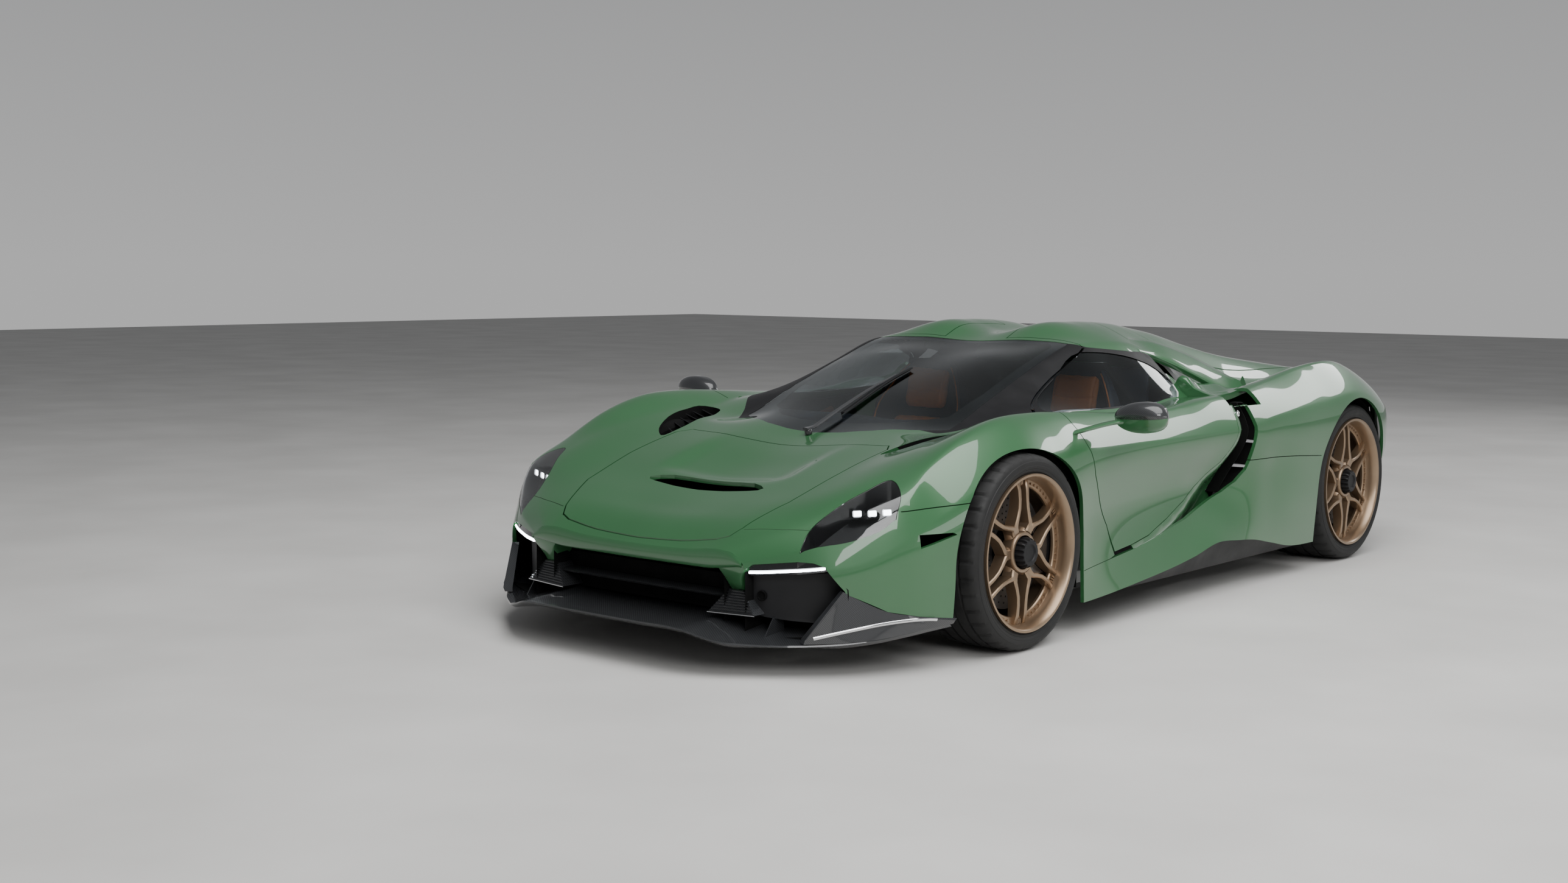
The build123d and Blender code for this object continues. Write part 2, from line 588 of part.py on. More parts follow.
GRILLE_Y = -842.0
GRILLE_THICKNESS = 10.0
GRILLE_BAR = 8.0
GRILLE_X = 480.0
GRILLE_TOP = 330.0
GRILLE_HOLE_X = 405.0
GRILLE_HOLE_ZS = (170.0, 200.0, 230.0, 260.0, 290.0)
GRILLE_PITCH = 30.0
GRILLE_BASE = FLOOR_TOP + SEAM
GRILLE_PLATE = [
    (-GRILLE_X, GRILLE_BASE), (GRILLE_X, GRILLE_BASE), (GRILLE_X, GRILLE_TOP), (-GRILLE_X, GRILLE_TOP),
]
CORNER_PLATE_Y = -620.0
CORNER_PLATE = [(560, GRILLE_BASE), (575, 320), (790, 310), (790, GRILLE_BASE)]
with BuildPart() as nose_grilles:
    front_prism(GRILLE_PLATE, place(GRILLE_Y), place(GRILLE_Y) + GRILLE_THICKNESS, Mode.ADD)
    for z in GRILLE_HOLE_ZS:
        block(-GRILLE_HOLE_X, GRILLE_HOLE_X, GRILLE_Y - 1, GRILLE_Y + GRILLE_THICKNESS + 1,
              z, z + GRILLE_PITCH - GRILLE_BAR, Mode.SUBTRACT)
    for side in (-1, 1):
        plate = [(side * x, z) for x, z in CORNER_PLATE]
        front_prism(plate, place(CORNER_PLATE_Y), place(CORNER_PLATE_Y) + GRILLE_THICKNESS, Mode.ADD)
keep(nose_grilles, "nose_grilles")

TUB_X = DOOR_INNER_X - SEAM
FLOOR_REAR = 2990.0
FLOOR_HALF = [
    (0, FENDER_FRONT), (540, FENDER_FRONT), (540, 395), (TUB_X, 395), (TUB_X, 2170), (560, 2170),
    (560, FLOOR_REAR), (0, FLOOR_REAR),
]
with BuildPart() as floor_pan:
    plan_prism(both_sides(FLOOR_HALF), FLOOR_Z, FLOOR_TOP - SEAM, Mode.ADD)
keep(floor_pan, "floor_pan")

FIN_XS = (-560.0, -280.0, 0.0, 280.0, 560.0)
FIN_PROFILE = [(3000, 105), (3380, 140), (3400, 312), (2995, 112)]
DIFFUSER_X = 700.0
DIFFUSER_PROFILE = [(FLOOR_REAR, FLOOR_Z), (FLOOR_REAR, FLOOR_TOP), (3400, 330), (3400, 305)]
with BuildPart() as diffuser:
    side_prism(DIFFUSER_PROFILE, -DIFFUSER_X, DIFFUSER_X, Mode.ADD)
    for x in FIN_XS:
        side_prism(FIN_PROFILE, x - FENCE / 2, x + FENCE / 2, Mode.ADD)
keep(diffuser, "diffuser")

with BuildPart() as tail_lamps:
    for side in (-1, 1):
        block(side * (TAIL_LAMP_IN + SEAM), side * (TAIL_LAMP_OUT - SEAM),
              TAIL_Y - TAIL_LAMP_DEPTH + SEAM, TAIL_Y,
              TAIL_LAMP_Z + SEAM, TAIL_LAMP_Z + TAIL_LAMP_HEIGHT - SEAM)
keep(tail_lamps, "tail_lamps")

with BuildPart() as exhaust_tips:
    for x in (-TIP_X, TIP_X):
        with Locations(Location((x, place(TAIL_Y) - TIP_LENGTH / 2, TIP_Z), (90, 0, 0))):
            Cylinder(TIP_R, TIP_LENGTH)
            Cylinder(TIP_R - TIP_WALL, TIP_LENGTH, mode=Mode.SUBTRACT)
keep(exhaust_tips, "exhaust_tips")

VANE_ZS = (500.0, 600.0)
VANE_X = 850.0
VANE_HEIGHT = 18.0
VANE_FRONT = 1380.0      # of the lower vane; the upper one starts as much further back as it is higher
VANE_REAR = 1660.0
with BuildPart() as intake_vanes:
    with BuildSketch(Plane.YZ.offset(INTAKE_INNER_X)) as duct:
        with BuildLine():
            Polyline(*[(place(y), z) for y, z in INTAKE_OUTLINE], close=True)
        make_face()
    extrude(duct.sketch, amount=GLASS, dir=(1, 0, 0))
    for z in VANE_ZS:
        block(INTAKE_INNER_X, VANE_X, VANE_FRONT + z - VANE_ZS[0], VANE_REAR, z, z + VANE_HEIGHT)
    side_prism(DOOR_OUTLINE, SPINE_HALF, OUTSIDE, Mode.SUBTRACT)
    mirror(about=Plane.YZ)
keep(intake_vanes, "intake_vanes")

RAIL_SECTIONS = [
    # station, inner x, outer x, top z, bottom z
    (1500, 520, 640, 960, 900),
    (1770, 530, 650, 925, 850),
    (2020, 570, 680, 872, 780),
    (2300, 620, 740, 850, 690),
]
RAIL_FALL = 40.0         # the outer top edge lies this far under the inner one
rail_rings = [
    (y, [(inner, top), (outer, top - RAIL_FALL), (outer, low), (inner, low)])
    for y, inner, outer, top, low in RAIL_SECTIONS
]
with BuildPart() as rail:
    loft_between(rail_rings)
    add(roof_frame.part, mode=Mode.SUBTRACT)
    add(rear_clamshell.part, mode=Mode.SUBTRACT)
with BuildPart() as buttresses:
    add(rail.solids().sort_by(SortBy.VOLUME)[-1])
    mirror(about=Plane.YZ)
keep(buttresses, "buttresses")

# ---------------------------------------------------------------------------
# Structure: tub, subframes, engine
# ---------------------------------------------------------------------------
TUB_WALL_FRONT = 480.0
TUB_DASH_Z = 640.0
TUB_BACK_PANEL = [
    (-635, TUB_FLOOR_TOP), (635, TUB_FLOOR_TOP), (635, 660), (420, 900), (-420, 900), (-635, 660),
]
TUNNEL_X = 90.0
TUNNEL_FRONT = 420.0
TUNNEL_Z = 330.0
STEER_ROOM_HALF = [(590, TUB_FRONT_Y - SEAM), (TUB_X + SEAM, TUB_FRONT_Y - SEAM), (TUB_X + SEAM, 430)]
with BuildPart() as tub:
    block(-TUB_X, TUB_X, TUB_FRONT_Y, TUB_REAR_Y, FLOOR_TOP, TUB_FLOOR_TOP)
    for side in (-1, 1):
        block(side * (TUB_X - TUB_WALL), side * TUB_X, TUB_WALL_FRONT, TUB_REAR_Y,
              TUB_FLOOR_TOP, TUB_SIDE_TOP)
    block(-TUB_X, TUB_X, TUB_FRONT_Y, TUB_FRONT_Y + TUB_WALL, TUB_FLOOR_TOP, TUB_DASH_Z)
    front_prism(TUB_BACK_PANEL, place(TUB_REAR_Y - TUB_WALL), place(TUB_REAR_Y), Mode.ADD)
    block(-TUNNEL_X, TUNNEL_X, TUNNEL_FRONT, TUB_REAR_Y - TUB_WALL, TUB_FLOOR_TOP, TUNNEL_Z)
    for side in (-1, 1):
        plan_prism([(side * x, y) for x, y in STEER_ROOM_HALF], FLOOR_Z, TUB_DASH_Z + SEAM, Mode.SUBTRACT)
keep(tub, "tub")

RAIL_IN = 330.0
RAIL_OUT = 400.0
RAIL_LOW = 170.0
RAIL_HIGH = 290.0
FRONT_FRAME_Y = -790.0
FRONT_RAILS = (
    # inner x, outer x, front, rear, low, high; built on both sides
    (RAIL_IN, RAIL_OUT, FRONT_FRAME_Y, TUB_FRONT_Y, RAIL_LOW, RAIL_HIGH),
    (RAIL_IN, RAIL_OUT, -200.0, 200.0, RAIL_HIGH, 500.0),
)
FRONT_CROSS_BARS = (
    # front, rear, high; built from rail to rail
    (FRONT_FRAME_Y, -740.0, RAIL_HIGH),
    (-60.0, 0.0, 230.0),
)
with BuildPart() as front_subframe:
    for inner, outer, front, rear, low, high in FRONT_RAILS:
        for side in (-1, 1):
            block(side * inner, side * outer, front, rear, low, high)
    for front, rear, high in FRONT_CROSS_BARS:
        block(-RAIL_IN, RAIL_IN, front, rear, RAIL_LOW, high)
keep(front_subframe, "front_subframe")

TRUNK_WALL = 8.0
TRUNK_FRONT = -660.0
TRUNK_REAR = -210.0
TRUNK_LOW = 235.0
TRUNK_TOP = 400.0
TRUNK_RIM = 4.0
TRUNK_RIM_FRONT = -700.0
TRUNK_RIM_REAR = -205.0
with BuildPart() as luggage_tray:
    block(-RAIL_OUT, RAIL_OUT, TRUNK_RIM_FRONT, TRUNK_RIM_REAR, TRUNK_TOP, TRUNK_TOP + TRUNK_RIM)
    block(-RAIL_IN, RAIL_IN, TRUNK_FRONT, TRUNK_REAR, TRUNK_LOW, TRUNK_TOP)
    block(-RAIL_IN + TRUNK_WALL, RAIL_IN - TRUNK_WALL, TRUNK_FRONT + TRUNK_WALL, TRUNK_REAR - TRUNK_WALL,
          TRUNK_LOW + TRUNK_WALL, TRUNK_TOP + 2 * TRUNK_RIM, Mode.SUBTRACT)
keep(luggage_tray, "luggage_tray")

REAR_RAIL_IN = 290.0
REAR_RAIL_OUT = 360.0
REAR_RAIL_LOW = 300.0
REAR_RAIL_HIGH = 400.0
REAR_BAR_Y = 3240.0
REAR_FRAME_Y = 3300.0
ENGINE_FRONT_Y = TUB_REAR_Y + 30
REAR_RAILS = (
    # front, rear, low, high; built on both sides
    (TUB_REAR_Y, REAR_FRAME_Y, REAR_RAIL_LOW, REAR_RAIL_HIGH),
    (2500.0, 2800.0, REAR_RAIL_HIGH, 520.0),
    (2500.0, 2800.0, 190.0, REAR_RAIL_LOW),
)
with BuildPart() as rear_subframe:
    for front, rear, low, high in REAR_RAILS:
        for side in (-1, 1):
            block(side * REAR_RAIL_IN, side * REAR_RAIL_OUT, front, rear, low, high)
    block(-REAR_RAIL_IN, REAR_RAIL_IN, REAR_BAR_Y, REAR_FRAME_Y, REAR_RAIL_LOW, REAR_RAIL_HIGH)
keep(rear_subframe, "rear_subframe")

ENGINE_PIECES = (
    # half width, front, rear, low, high: the engine and the gearbox behind it
    (REAR_RAIL_IN - SEAM, ENGINE_FRONT_Y, 2350.0, 160.0, 620.0),
    (180.0, 2350.0, 2900.0, 180.0, 470.0),
)
with BuildPart() as engine_block:
    for half, front, rear, low, high in ENGINE_PIECES:
        block(-half, half, front, rear, low, high)
keep(engine_block, "engine_block")

# ---------------------------------------------------------------------------
# Suspension: arms with eyes round the uprights' studs
# ---------------------------------------------------------------------------
HUB_FACE = 62.0          # the spindle ends this far inside the wheel's outer face
HUB_BACK = 84.0
DISC_R = 200.0
DISC_THICKNESS = 30.0
DISC_X = 94.0            # the disc's outer face, inboard of the wheel's outer face
UPRIGHT_THICKNESS = 30.0
UPRIGHT_WIDTH = 90.0
JAW_LENGTH = 70.0
JAW_WIDTH = 50.0
JAW_SHIFT = 22.0
INNER_JAW = 24.0
OUTER_JAW = 10.0
SPINDLE_START = 40.0
EYE_R = 26.0
EYE_INBOARD = DISC_X + DISC_THICKNESS + MOVING_GAP + UPRIGHT_THICKNESS + MOVING_GAP + EYE_R
FRONT_EYE_X = FRONT_WHEEL_FACE_X - EYE_INBOARD
REAR_EYE_X = REAR_WHEEL_FACE_X - EYE_INBOARD
ARM_THICKNESS = 24.0
ARM_HALF = 16.0
LOW_ARM = -150.0
HIGH_ARM = 130.0
ARM_JOIN = 90.0          # the two legs of an arm meet this far inboard of its eye
FRONT_ARM_SPREAD = 150.0
REAR_ARM_SPREAD = 130.0


def wishbones(pivot_x, eye_x, axle_y, axle_z, spread):
    """Upper and lower arms of one axle, left and right."""
    for height in (LOW_ARM, HIGH_ARM):
        low = axle_z + height - ARM_THICKNESS / 2
        with BuildSketch(Plane.XY.offset(low)) as arm:
            with BuildLine():
                Polyline(
                    (pivot_x, axle_y - spread - ARM_HALF), (eye_x, axle_y - ARM_HALF),
                    (eye_x, axle_y + ARM_HALF), (pivot_x, axle_y + spread + ARM_HALF),
                    (pivot_x, axle_y + spread - ARM_HALF),
                    (eye_x - ARM_JOIN, axle_y), (pivot_x, axle_y - spread + ARM_HALF), close=True,
                )
            make_face()
            with Locations((eye_x, axle_y)):
                Circle(EYE_R)
                Circle(STUD_R + RUNNING_GAP, mode=Mode.SUBTRACT)
        extrude(arm.sketch, amount=ARM_THICKNESS, dir=(0, 0, 1))
    mirror(about=Plane.YZ)


def upright(eye_x, face_x, axle_y, axle_z):
    """The left upright: body, studs through the arms' eyes and the wheel's spindle."""
    clear = ARM_THICKNESS / 2 + MOVING_GAP
    middle_x = eye_x + EYE_R + MOVING_GAP + UPRIGHT_THICKNESS / 2
    with Locations((middle_x, axle_y, axle_z + (LOW_ARM + HIGH_ARM) / 2)):
        Box(UPRIGHT_THICKNESS, UPRIGHT_WIDTH, HIGH_ARM - LOW_ARM + 2 * clear + UPRIGHT_THICKNESS)
    for height, direction in ((LOW_ARM, -1), (HIGH_ARM, 1)):
        inward = axle_z + height - direction * clear
        with Locations((eye_x + JAW_SHIFT, axle_y, inward - direction * INNER_JAW / 2)):
            Box(JAW_LENGTH, JAW_WIDTH, INNER_JAW)
        outward = axle_z + height + direction * clear
        with Locations((eye_x + JAW_SHIFT, axle_y, outward + direction * OUTER_JAW / 2)):
            Box(JAW_LENGTH, JAW_WIDTH, OUTER_JAW)
        with Locations((eye_x, axle_y, axle_z + height)):
            Cylinder(STUD_R, 2 * clear)
    cross_cylinder(SPINDLE_R, eye_x + SPINDLE_START, face_x, axle_y, axle_z)


with BuildPart() as front_wishbones:
    wishbones(RAIL_OUT, FRONT_EYE_X, FRONT_AXLE_Y, FRONT_TYRE_R, FRONT_ARM_SPREAD)
keep(front_wishbones, "front_wishbones")
with BuildPart() as rear_wishbones:
    wishbones(REAR_RAIL_OUT, REAR_EYE_X, REAR_AXLE_Y, REAR_TYRE_R, REAR_ARM_SPREAD)
keep(rear_wishbones, "rear_wishbones")

CALIPER_R = 232.0
CALIPER_GAP = 6.0
CALIPER_INNER_R = 130.0
CALIPER_SPAN = 190.0
CALIPER_SHIFT = 40.0     # the caliper reaches inwards to this much more than the disc's middle
PISTON_SIDE = 26.0
OUTER_SIDE = 14.0
BRACKET_LENGTH = 130.0
BRACKET_WIDTH = 60.0
BRACKET_R = 95.0
BRACKET_ROOT = 20.0


def caliper(face_x, axle_y, axle_z, eye_x, lean):
    """The left caliper: a block over the disc's edge, carried by an arm from the upright."""
    disc_mid = face_x - DISC_X - DISC_THICKNESS / 2
    half = DISC_THICKNESS / 2 + CALIPER_GAP
    inboard = -half - PISTON_SIDE
    outboard = half + OUTER_SIDE
    plane = Plane(
        origin=(disc_mid, axle_y, axle_z), x_dir=(0, math.cos(lean), math.sin(lean)), z_dir=(1, 0, 0)
    )
    layers = (
        # low, high, inner radius: both cheeks beside the disc and the bridge over its edge
        (inboard, -half, CALIPER_INNER_R),
        (half, outboard, CALIPER_INNER_R),
        (inboard, outboard, DISC_R + CALIPER_GAP),
    )
    for low, high, inner in layers:
        with BuildSketch(plane.offset(low)) as pad:
            Circle(CALIPER_R)
            Circle(inner, mode=Mode.SUBTRACT)
            with Locations((CALIPER_R, 0)):
                Rectangle(2 * (CALIPER_R - CALIPER_SHIFT), CALIPER_SPAN, mode=Mode.INTERSECT)
        extrude(pad.sketch, amount=high - low, dir=(1, 0, 0))
    with BuildSketch(plane.offset(inboard)) as arm:
        with Locations((BRACKET_R, 0)):
            Rectangle(BRACKET_LENGTH, BRACKET_WIDTH)
    extrude(arm.sketch, amount=eye_x + BRACKET_ROOT - disc_mid - inboard, dir=(1, 0, 0))


WHEELS = (
    # name, axle y, tyre radius, tyre width, rim radius, outer face x
    ("front", FRONT_AXLE_Y, FRONT_TYRE_R, FRONT_TYRE_WIDTH, FRONT_RIM_R, FRONT_WHEEL_FACE_X, FRONT_EYE_X),
    ("rear", REAR_AXLE_Y, REAR_TYRE_R, REAR_TYRE_WIDTH, REAR_RIM_R, REAR_WHEEL_FACE_X, REAR_EYE_X),
)
SHOULDER_IN = 34.0
SHOULDER_EASE = 6.0
SHOULDER_FALL = 3.0
TREAD_EDGE = 14.0
SIDEWALL_FOOT = 4.0
SIDEWALL_BULGE = 18.0
BEAD = 9.0               # the tyre's sidewall meets the rim this far under its lip
LIP = 12.0
LIP_OUT = 2.0
BARREL_WALL = 9.0
BARREL_STEP = 6.0
BARREL_FRONT = 18.0
BARREL_BACK = 40.0
HUB_R = 62.0
NUT_R = 46.0
NUT_FRONT = 20.0
HUB_FRONT = 36.0
BELL_R = 84.0
BELL_FLANGE_R = 90.0
BELL_BACK_R = 95.0
BELL_INNER_R = 80.0
BELL_WALL = 8.0
SPOKE_COUNT = 6
SPOKE_WIDTH = 26.0
SPOKE_DEPTH = 36.0
SPOKE_IN = 30.0          # the spokes' front face lies this far inboard of the wheel's face
FORK_LENGTH = 46.0
FORK_LAP = 12.0
ROOT_BITE = 10.0
ROOT_EXTRA = 8.0
SPOKE_BITE = 4.0
SPOKE_SPREAD = 24.0      # degrees from a spoke's root to each of its blades' ends


def wheel_profile(corners, face_x, axle_y, axle_z):
    """Revolve (distance inboard of the outer face, radius) corners about the axle."""
    with BuildSketch(Plane(origin=(0, axle_y, axle_z), x_dir=(1, 0, 0), z_dir=(0, -1, 0))) as profile:
        with BuildLine():
            Polyline(*[(face_x - inboard, radius) for inboard, radius in corners], close=True)
        make_face()
    revolve(profile.sketch, axis=Axis((0, axle_y, axle_z), (1, 0, 0)))


for name, axle_y, tyre_r, width, rim_r, face_x, eye_x in WHEELS:
    bead_r = rim_r - BEAD
    barrel_r = bead_r - BARREL_WALL
    bore_r = SPINDLE_R + RUNNING_GAP
    foot_r = rim_r + SIDEWALL_FOOT
    bulge_r = rim_r + SIDEWALL_BULGE
    side_r = tyre_r - SHOULDER_IN
    ease_r = tyre_r - SHOULDER_FALL
    ease = SHOULDER_IN - SHOULDER_EASE
    tread = SHOULDER_IN + TREAD_EDGE
    flange_r = barrel_r - BARREL_STEP
    disc_back = DISC_X + DISC_THICKNESS
    tyre_profile = [
        (LIP + SEAM, bead_r), (LIP + SEAM, foot_r), (0, bulge_r), (0, side_r), (ease, ease_r), (tread, tyre_r),
        (width - tread, tyre_r), (width - ease, ease_r), (width, side_r), (width, bulge_r),
        (width - LIP - SEAM, foot_r), (width - LIP - SEAM, bead_r),
    ]
    barrel_profile = [
        (-LIP_OUT, rim_r), (LIP, rim_r), (LIP, bead_r - SEAM), (width - LIP, bead_r - SEAM),
        (width - LIP, rim_r), (width + LIP_OUT, rim_r), (width + LIP_OUT, flange_r),
        (width - BARREL_BACK, flange_r), (LIP + BARREL_FRONT, barrel_r), (-LIP_OUT, rim_r - LIP),
    ]
    hub_profile = [
        (HUB_FRONT, NUT_R), (HUB_FRONT, HUB_R), (HUB_BACK, HUB_R), (HUB_BACK, bore_r),
        (HUB_FACE, bore_r), (HUB_FACE, 0), (NUT_FRONT, 0), (NUT_FRONT, NUT_R),
    ]
    disc_profile = [
        (DISC_X, bore_r), (HUB_BACK, bore_r), (HUB_BACK, BELL_R), (DISC_X - 1, BELL_FLANGE_R),
        (DISC_X, DISC_R), (disc_back, DISC_R), (disc_back, BELL_BACK_R), (DISC_X + BELL_WALL, BELL_INNER_R),
    ]
    with BuildPart() as tyre:
        wheel_profile(tyre_profile, face_x, axle_y, tyre_r)
    with BuildPart() as rim:
        wheel_profile(barrel_profile, face_x, axle_y, tyre_r)
        wheel_profile(hub_profile, face_x, axle_y, tyre_r)
        spoke_plane = Plane(origin=(face_x - SPOKE_IN, axle_y, tyre_r), x_dir=(0, 1, 0), z_dir=(1, 0, 0))
        fork_r = HUB_R + FORK_LENGTH
        end_r = barrel_r + SPOKE_BITE
        blade_r = fork_r - FORK_LAP
        end_across = end_r * math.sin(math.radians(SPOKE_SPREAD))
        end_out = end_r * math.cos(math.radians(SPOKE_SPREAD))
        reach = math.hypot(end_out - blade_r, end_across)
        with BuildSketch(spoke_plane) as spokes:
            with PolarLocations(0, SPOKE_COUNT):
                with Locations(((HUB_R + fork_r) / 2, 0)):
                    Rectangle(fork_r - HUB_R + 2 * ROOT_BITE, SPOKE_WIDTH + ROOT_EXTRA)
            for sign in (-1, 1):
                turn = sign * math.degrees(math.atan2(end_across, end_out - blade_r))
                with PolarLocations(0, SPOKE_COUNT):
                    with Locations(Location(((end_out + blade_r) / 2, sign * end_across / 2), turn)):
                        Rectangle(reach, SPOKE_WIDTH)
        extrude(spokes.sketch, amount=-SPOKE_DEPTH)
    with BuildPart() as disc:
        wheel_profile(disc_profile, face_x, axle_y, tyre_r)
    for piece, kind in ((tyre, "tyre"), (rim, "rim"), (disc, "disc")):
        keep(piece, f"{kind}_{name}_left")
        with BuildPart() as right:
            mirror(piece.part, about=Plane.YZ)
        keep(right, f"{kind}_{name}_right")
    with BuildPart() as post:
        upright(eye_x, face_x - HUB_FACE - SEAM, axle_y, tyre_r)
    with BuildPart() as clamp:
        caliper(face_x, axle_y, tyre_r, eye_x, math.pi if name == "rear" else 0.0)
        add(post.part, mode=Mode.SUBTRACT)
    for piece, kind in ((post, "knuckle"), (clamp, "caliper")):
        if name == "front":
            keep(piece, f"{kind}_left")
            with BuildPart() as right:
                mirror(piece.part, about=Plane.YZ)
            keep(right, f"{kind}_right")
        else:
            with BuildPart() as pair:
                add(piece.part)
                mirror(piece.part, about=Plane.YZ)
            keep(pair, f"rear_{kind}s")

# ---------------------------------------------------------------------------
# Cabin
# ---------------------------------------------------------------------------
SEAT_X = 370.0
SEAT_HALF = 235.0
SEAT_PROFILE = [
    (800, TUB_FLOOR_TOP), (1330, TUB_FLOOR_TOP), (1390, 860), (1320, 880), (1180, 300), (830, 330),
    (780, 260),
]
SEAT_BOLSTER = [(830, 330), (1180, 300), (1300, 820), (1240, 830), (1130, 420), (840, 420)]
BOLSTER_WIDTH = 40.0
PAD_SIDE_GAP = 46.0
PAD_SEAT = [(835, 330.5), (1150, 303.2), (1150, 345), (840, 372)]
PAD_BACK = [(1186.5, 330), (1317.2, 872), (1275, 875), (1155, 375)]
with BuildPart() as seat_shells:
    side_prism(SEAT_PROFILE, SEAT_X - SEAT_HALF, SEAT_X + SEAT_HALF, Mode.ADD)
    for inner in (SEAT_X - SEAT_HALF, SEAT_X + SEAT_HALF - BOLSTER_WIDTH):
        side_prism(SEAT_BOLSTER, inner, inner + BOLSTER_WIDTH, Mode.ADD)
    mirror(about=Plane.YZ)
keep(seat_shells, "seat_shells")
with BuildPart() as seat_pads:
    for profile in (PAD_SEAT, PAD_BACK):
        side_prism(profile, SEAT_X - SEAT_HALF + PAD_SIDE_GAP, SEAT_X + SEAT_HALF - PAD_SIDE_GAP, Mode.ADD)
    mirror(about=Plane.YZ)
keep(seat_pads, "seat_pads")

COLUMN_TILT = 22.0
WHEEL_STATION = 690.0
WHEEL_Z = 600.0
GRIP_R = 170.0
GRIP_TUBE_R = 15.0
COLUMN_R = 20.0
COLUMN_LENGTH = 110.0
HUB_PLATE_R = 52.0
HUB_PLATE_DEPTH = 20.0
HUB_PLATE_THICKNESS = 16.0
GRIP_SPOKE = 30.0
BOSS_R = 34.0
BOSS_LENGTH = 40.0
column_plane = Plane(
    origin=(SEAT_X, place(WHEEL_STATION), WHEEL_Z), x_dir=(1, 0, 0),
    z_dir=(0, math.cos(math.radians(COLUMN_TILT)), math.sin(math.radians(COLUMN_TILT))),
)
grip_plane = Plane(origin=column_plane.origin, x_dir=column_plane.x_dir, z_dir=-column_plane.y_dir)
with BuildPart() as steering_wheel:
    with BuildSketch(grip_plane):
        with Locations((GRIP_R, 0)):
            Circle(GRIP_TUBE_R)
    revolve(axis=Axis(column_plane.origin, column_plane.z_dir))
    with BuildSketch(column_plane.offset(-HUB_PLATE_DEPTH)):
        Circle(HUB_PLATE_R)
        Rectangle(2 * GRIP_R, GRIP_SPOKE)
        with Locations((0, -GRIP_R / 2)):
            Rectangle(GRIP_SPOKE, GRIP_R)
    extrude(amount=HUB_PLATE_THICKNESS)
    with BuildSketch(column_plane.offset(-HUB_PLATE_DEPTH - BOSS_LENGTH)):
        Circle(BOSS_R)
        Circle(COLUMN_R + RUNNING_GAP, mode=Mode.SUBTRACT)
    extrude(amount=BOSS_LENGTH)
keep(steering_wheel, "steering_wheel")

DASH_X = 715.0
DASH_PROFILE = [(370, 420), (370, 655), (480, 705), (590, 690), (600, 560), (520, 430)]
with BuildPart() as dashboard:
    side_prism(DASH_PROFILE, -DASH_X, DASH_X, Mode.ADD)
    with BuildSketch(column_plane.offset(-HUB_PLATE_DEPTH - SEAM)):
        Circle(COLUMN_R)
    extrude(amount=-COLUMN_LENGTH)
keep(dashboard, "dashboard")

WIPER_STATIONS = (5, 40, 60, 230, 480, 640)
WIPER_CLEAR = 8.0
WIPER_DEPTH = 14.0
WIPER_HALF = 8.0
foot_under = [(y, surface_z(WIPER_HALF, y) + 2 * SEAM) for y in WIPER_STATIONS[:2]]
arm_under = [(y, surface_z(WIPER_HALF, y) + WIPER_CLEAR) for y in WIPER_STATIONS[1:]]
arm_top = [(y, z + WIPER_DEPTH) for y, z in reversed(arm_under)]
foot_top = [(WIPER_STATIONS[0], surface_z(0, WIPER_STATIONS[0]) + WIPER_DEPTH)]
with BuildPart() as wiper:
    side_prism(foot_under + arm_under + arm_top + foot_top, -WIPER_HALF, WIPER_HALF, Mode.ADD)
keep(wiper, "wiper")
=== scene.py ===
import json
import math

import bmesh
import bpy
import numpy as np
from mathutils import Matrix, Vector
from mathutils.bvhtree import BVHTree
from mathutils.interpolate import poly_3d_calc


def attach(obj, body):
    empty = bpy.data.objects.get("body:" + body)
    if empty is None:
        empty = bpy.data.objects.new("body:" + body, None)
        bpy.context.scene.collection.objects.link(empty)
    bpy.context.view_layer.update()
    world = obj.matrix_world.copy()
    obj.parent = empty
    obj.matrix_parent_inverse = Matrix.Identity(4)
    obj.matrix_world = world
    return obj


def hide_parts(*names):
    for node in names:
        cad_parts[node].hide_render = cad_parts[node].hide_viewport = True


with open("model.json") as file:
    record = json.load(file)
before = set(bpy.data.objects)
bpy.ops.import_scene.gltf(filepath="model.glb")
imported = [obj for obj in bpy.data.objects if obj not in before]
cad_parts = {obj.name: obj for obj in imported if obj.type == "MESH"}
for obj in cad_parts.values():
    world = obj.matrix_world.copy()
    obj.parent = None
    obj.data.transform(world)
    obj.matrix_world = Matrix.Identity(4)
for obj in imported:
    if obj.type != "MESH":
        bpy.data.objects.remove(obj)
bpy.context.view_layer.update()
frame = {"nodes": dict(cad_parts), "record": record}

bl_info = {
    "name": "Mid-engined coupe",
    "version": (1, 0, 0),
    "blender": (4, 5, 0),
    "location": "View3D > Sidebar > Coupe",
    "description": "Dresses the coupe's frame with its body, glass, wheels and cabin",
    "category": "Object",
}

MM = 0.001
FRONT_AXLE = -1200.0     # model Y of station 0, in millimetres
WHEELBASE = 2650.0
NOSE = -885.0            # the stations where the body starts and ends
TAIL = 3450.0
HIGH = 1300.0            # a height over the whole body
OUTSIDE = 1100.0         # a distance out beyond its flanks
SPINE_HALF = 150.0       # half width of the roof's fixed middle
LID_GAP = 5.0            # round the doors and lids
GLASS_RECESS = 2.5       # how far the side windows lie under the surface
UNDER_HOOD = 200         # heights where cuts from above end
UNDER_LID = 500
UNDER_SCREEN = 600
DISH_HALF = 292.0        # the hood outlet's hollow
DISH_DEPTH = 15.0

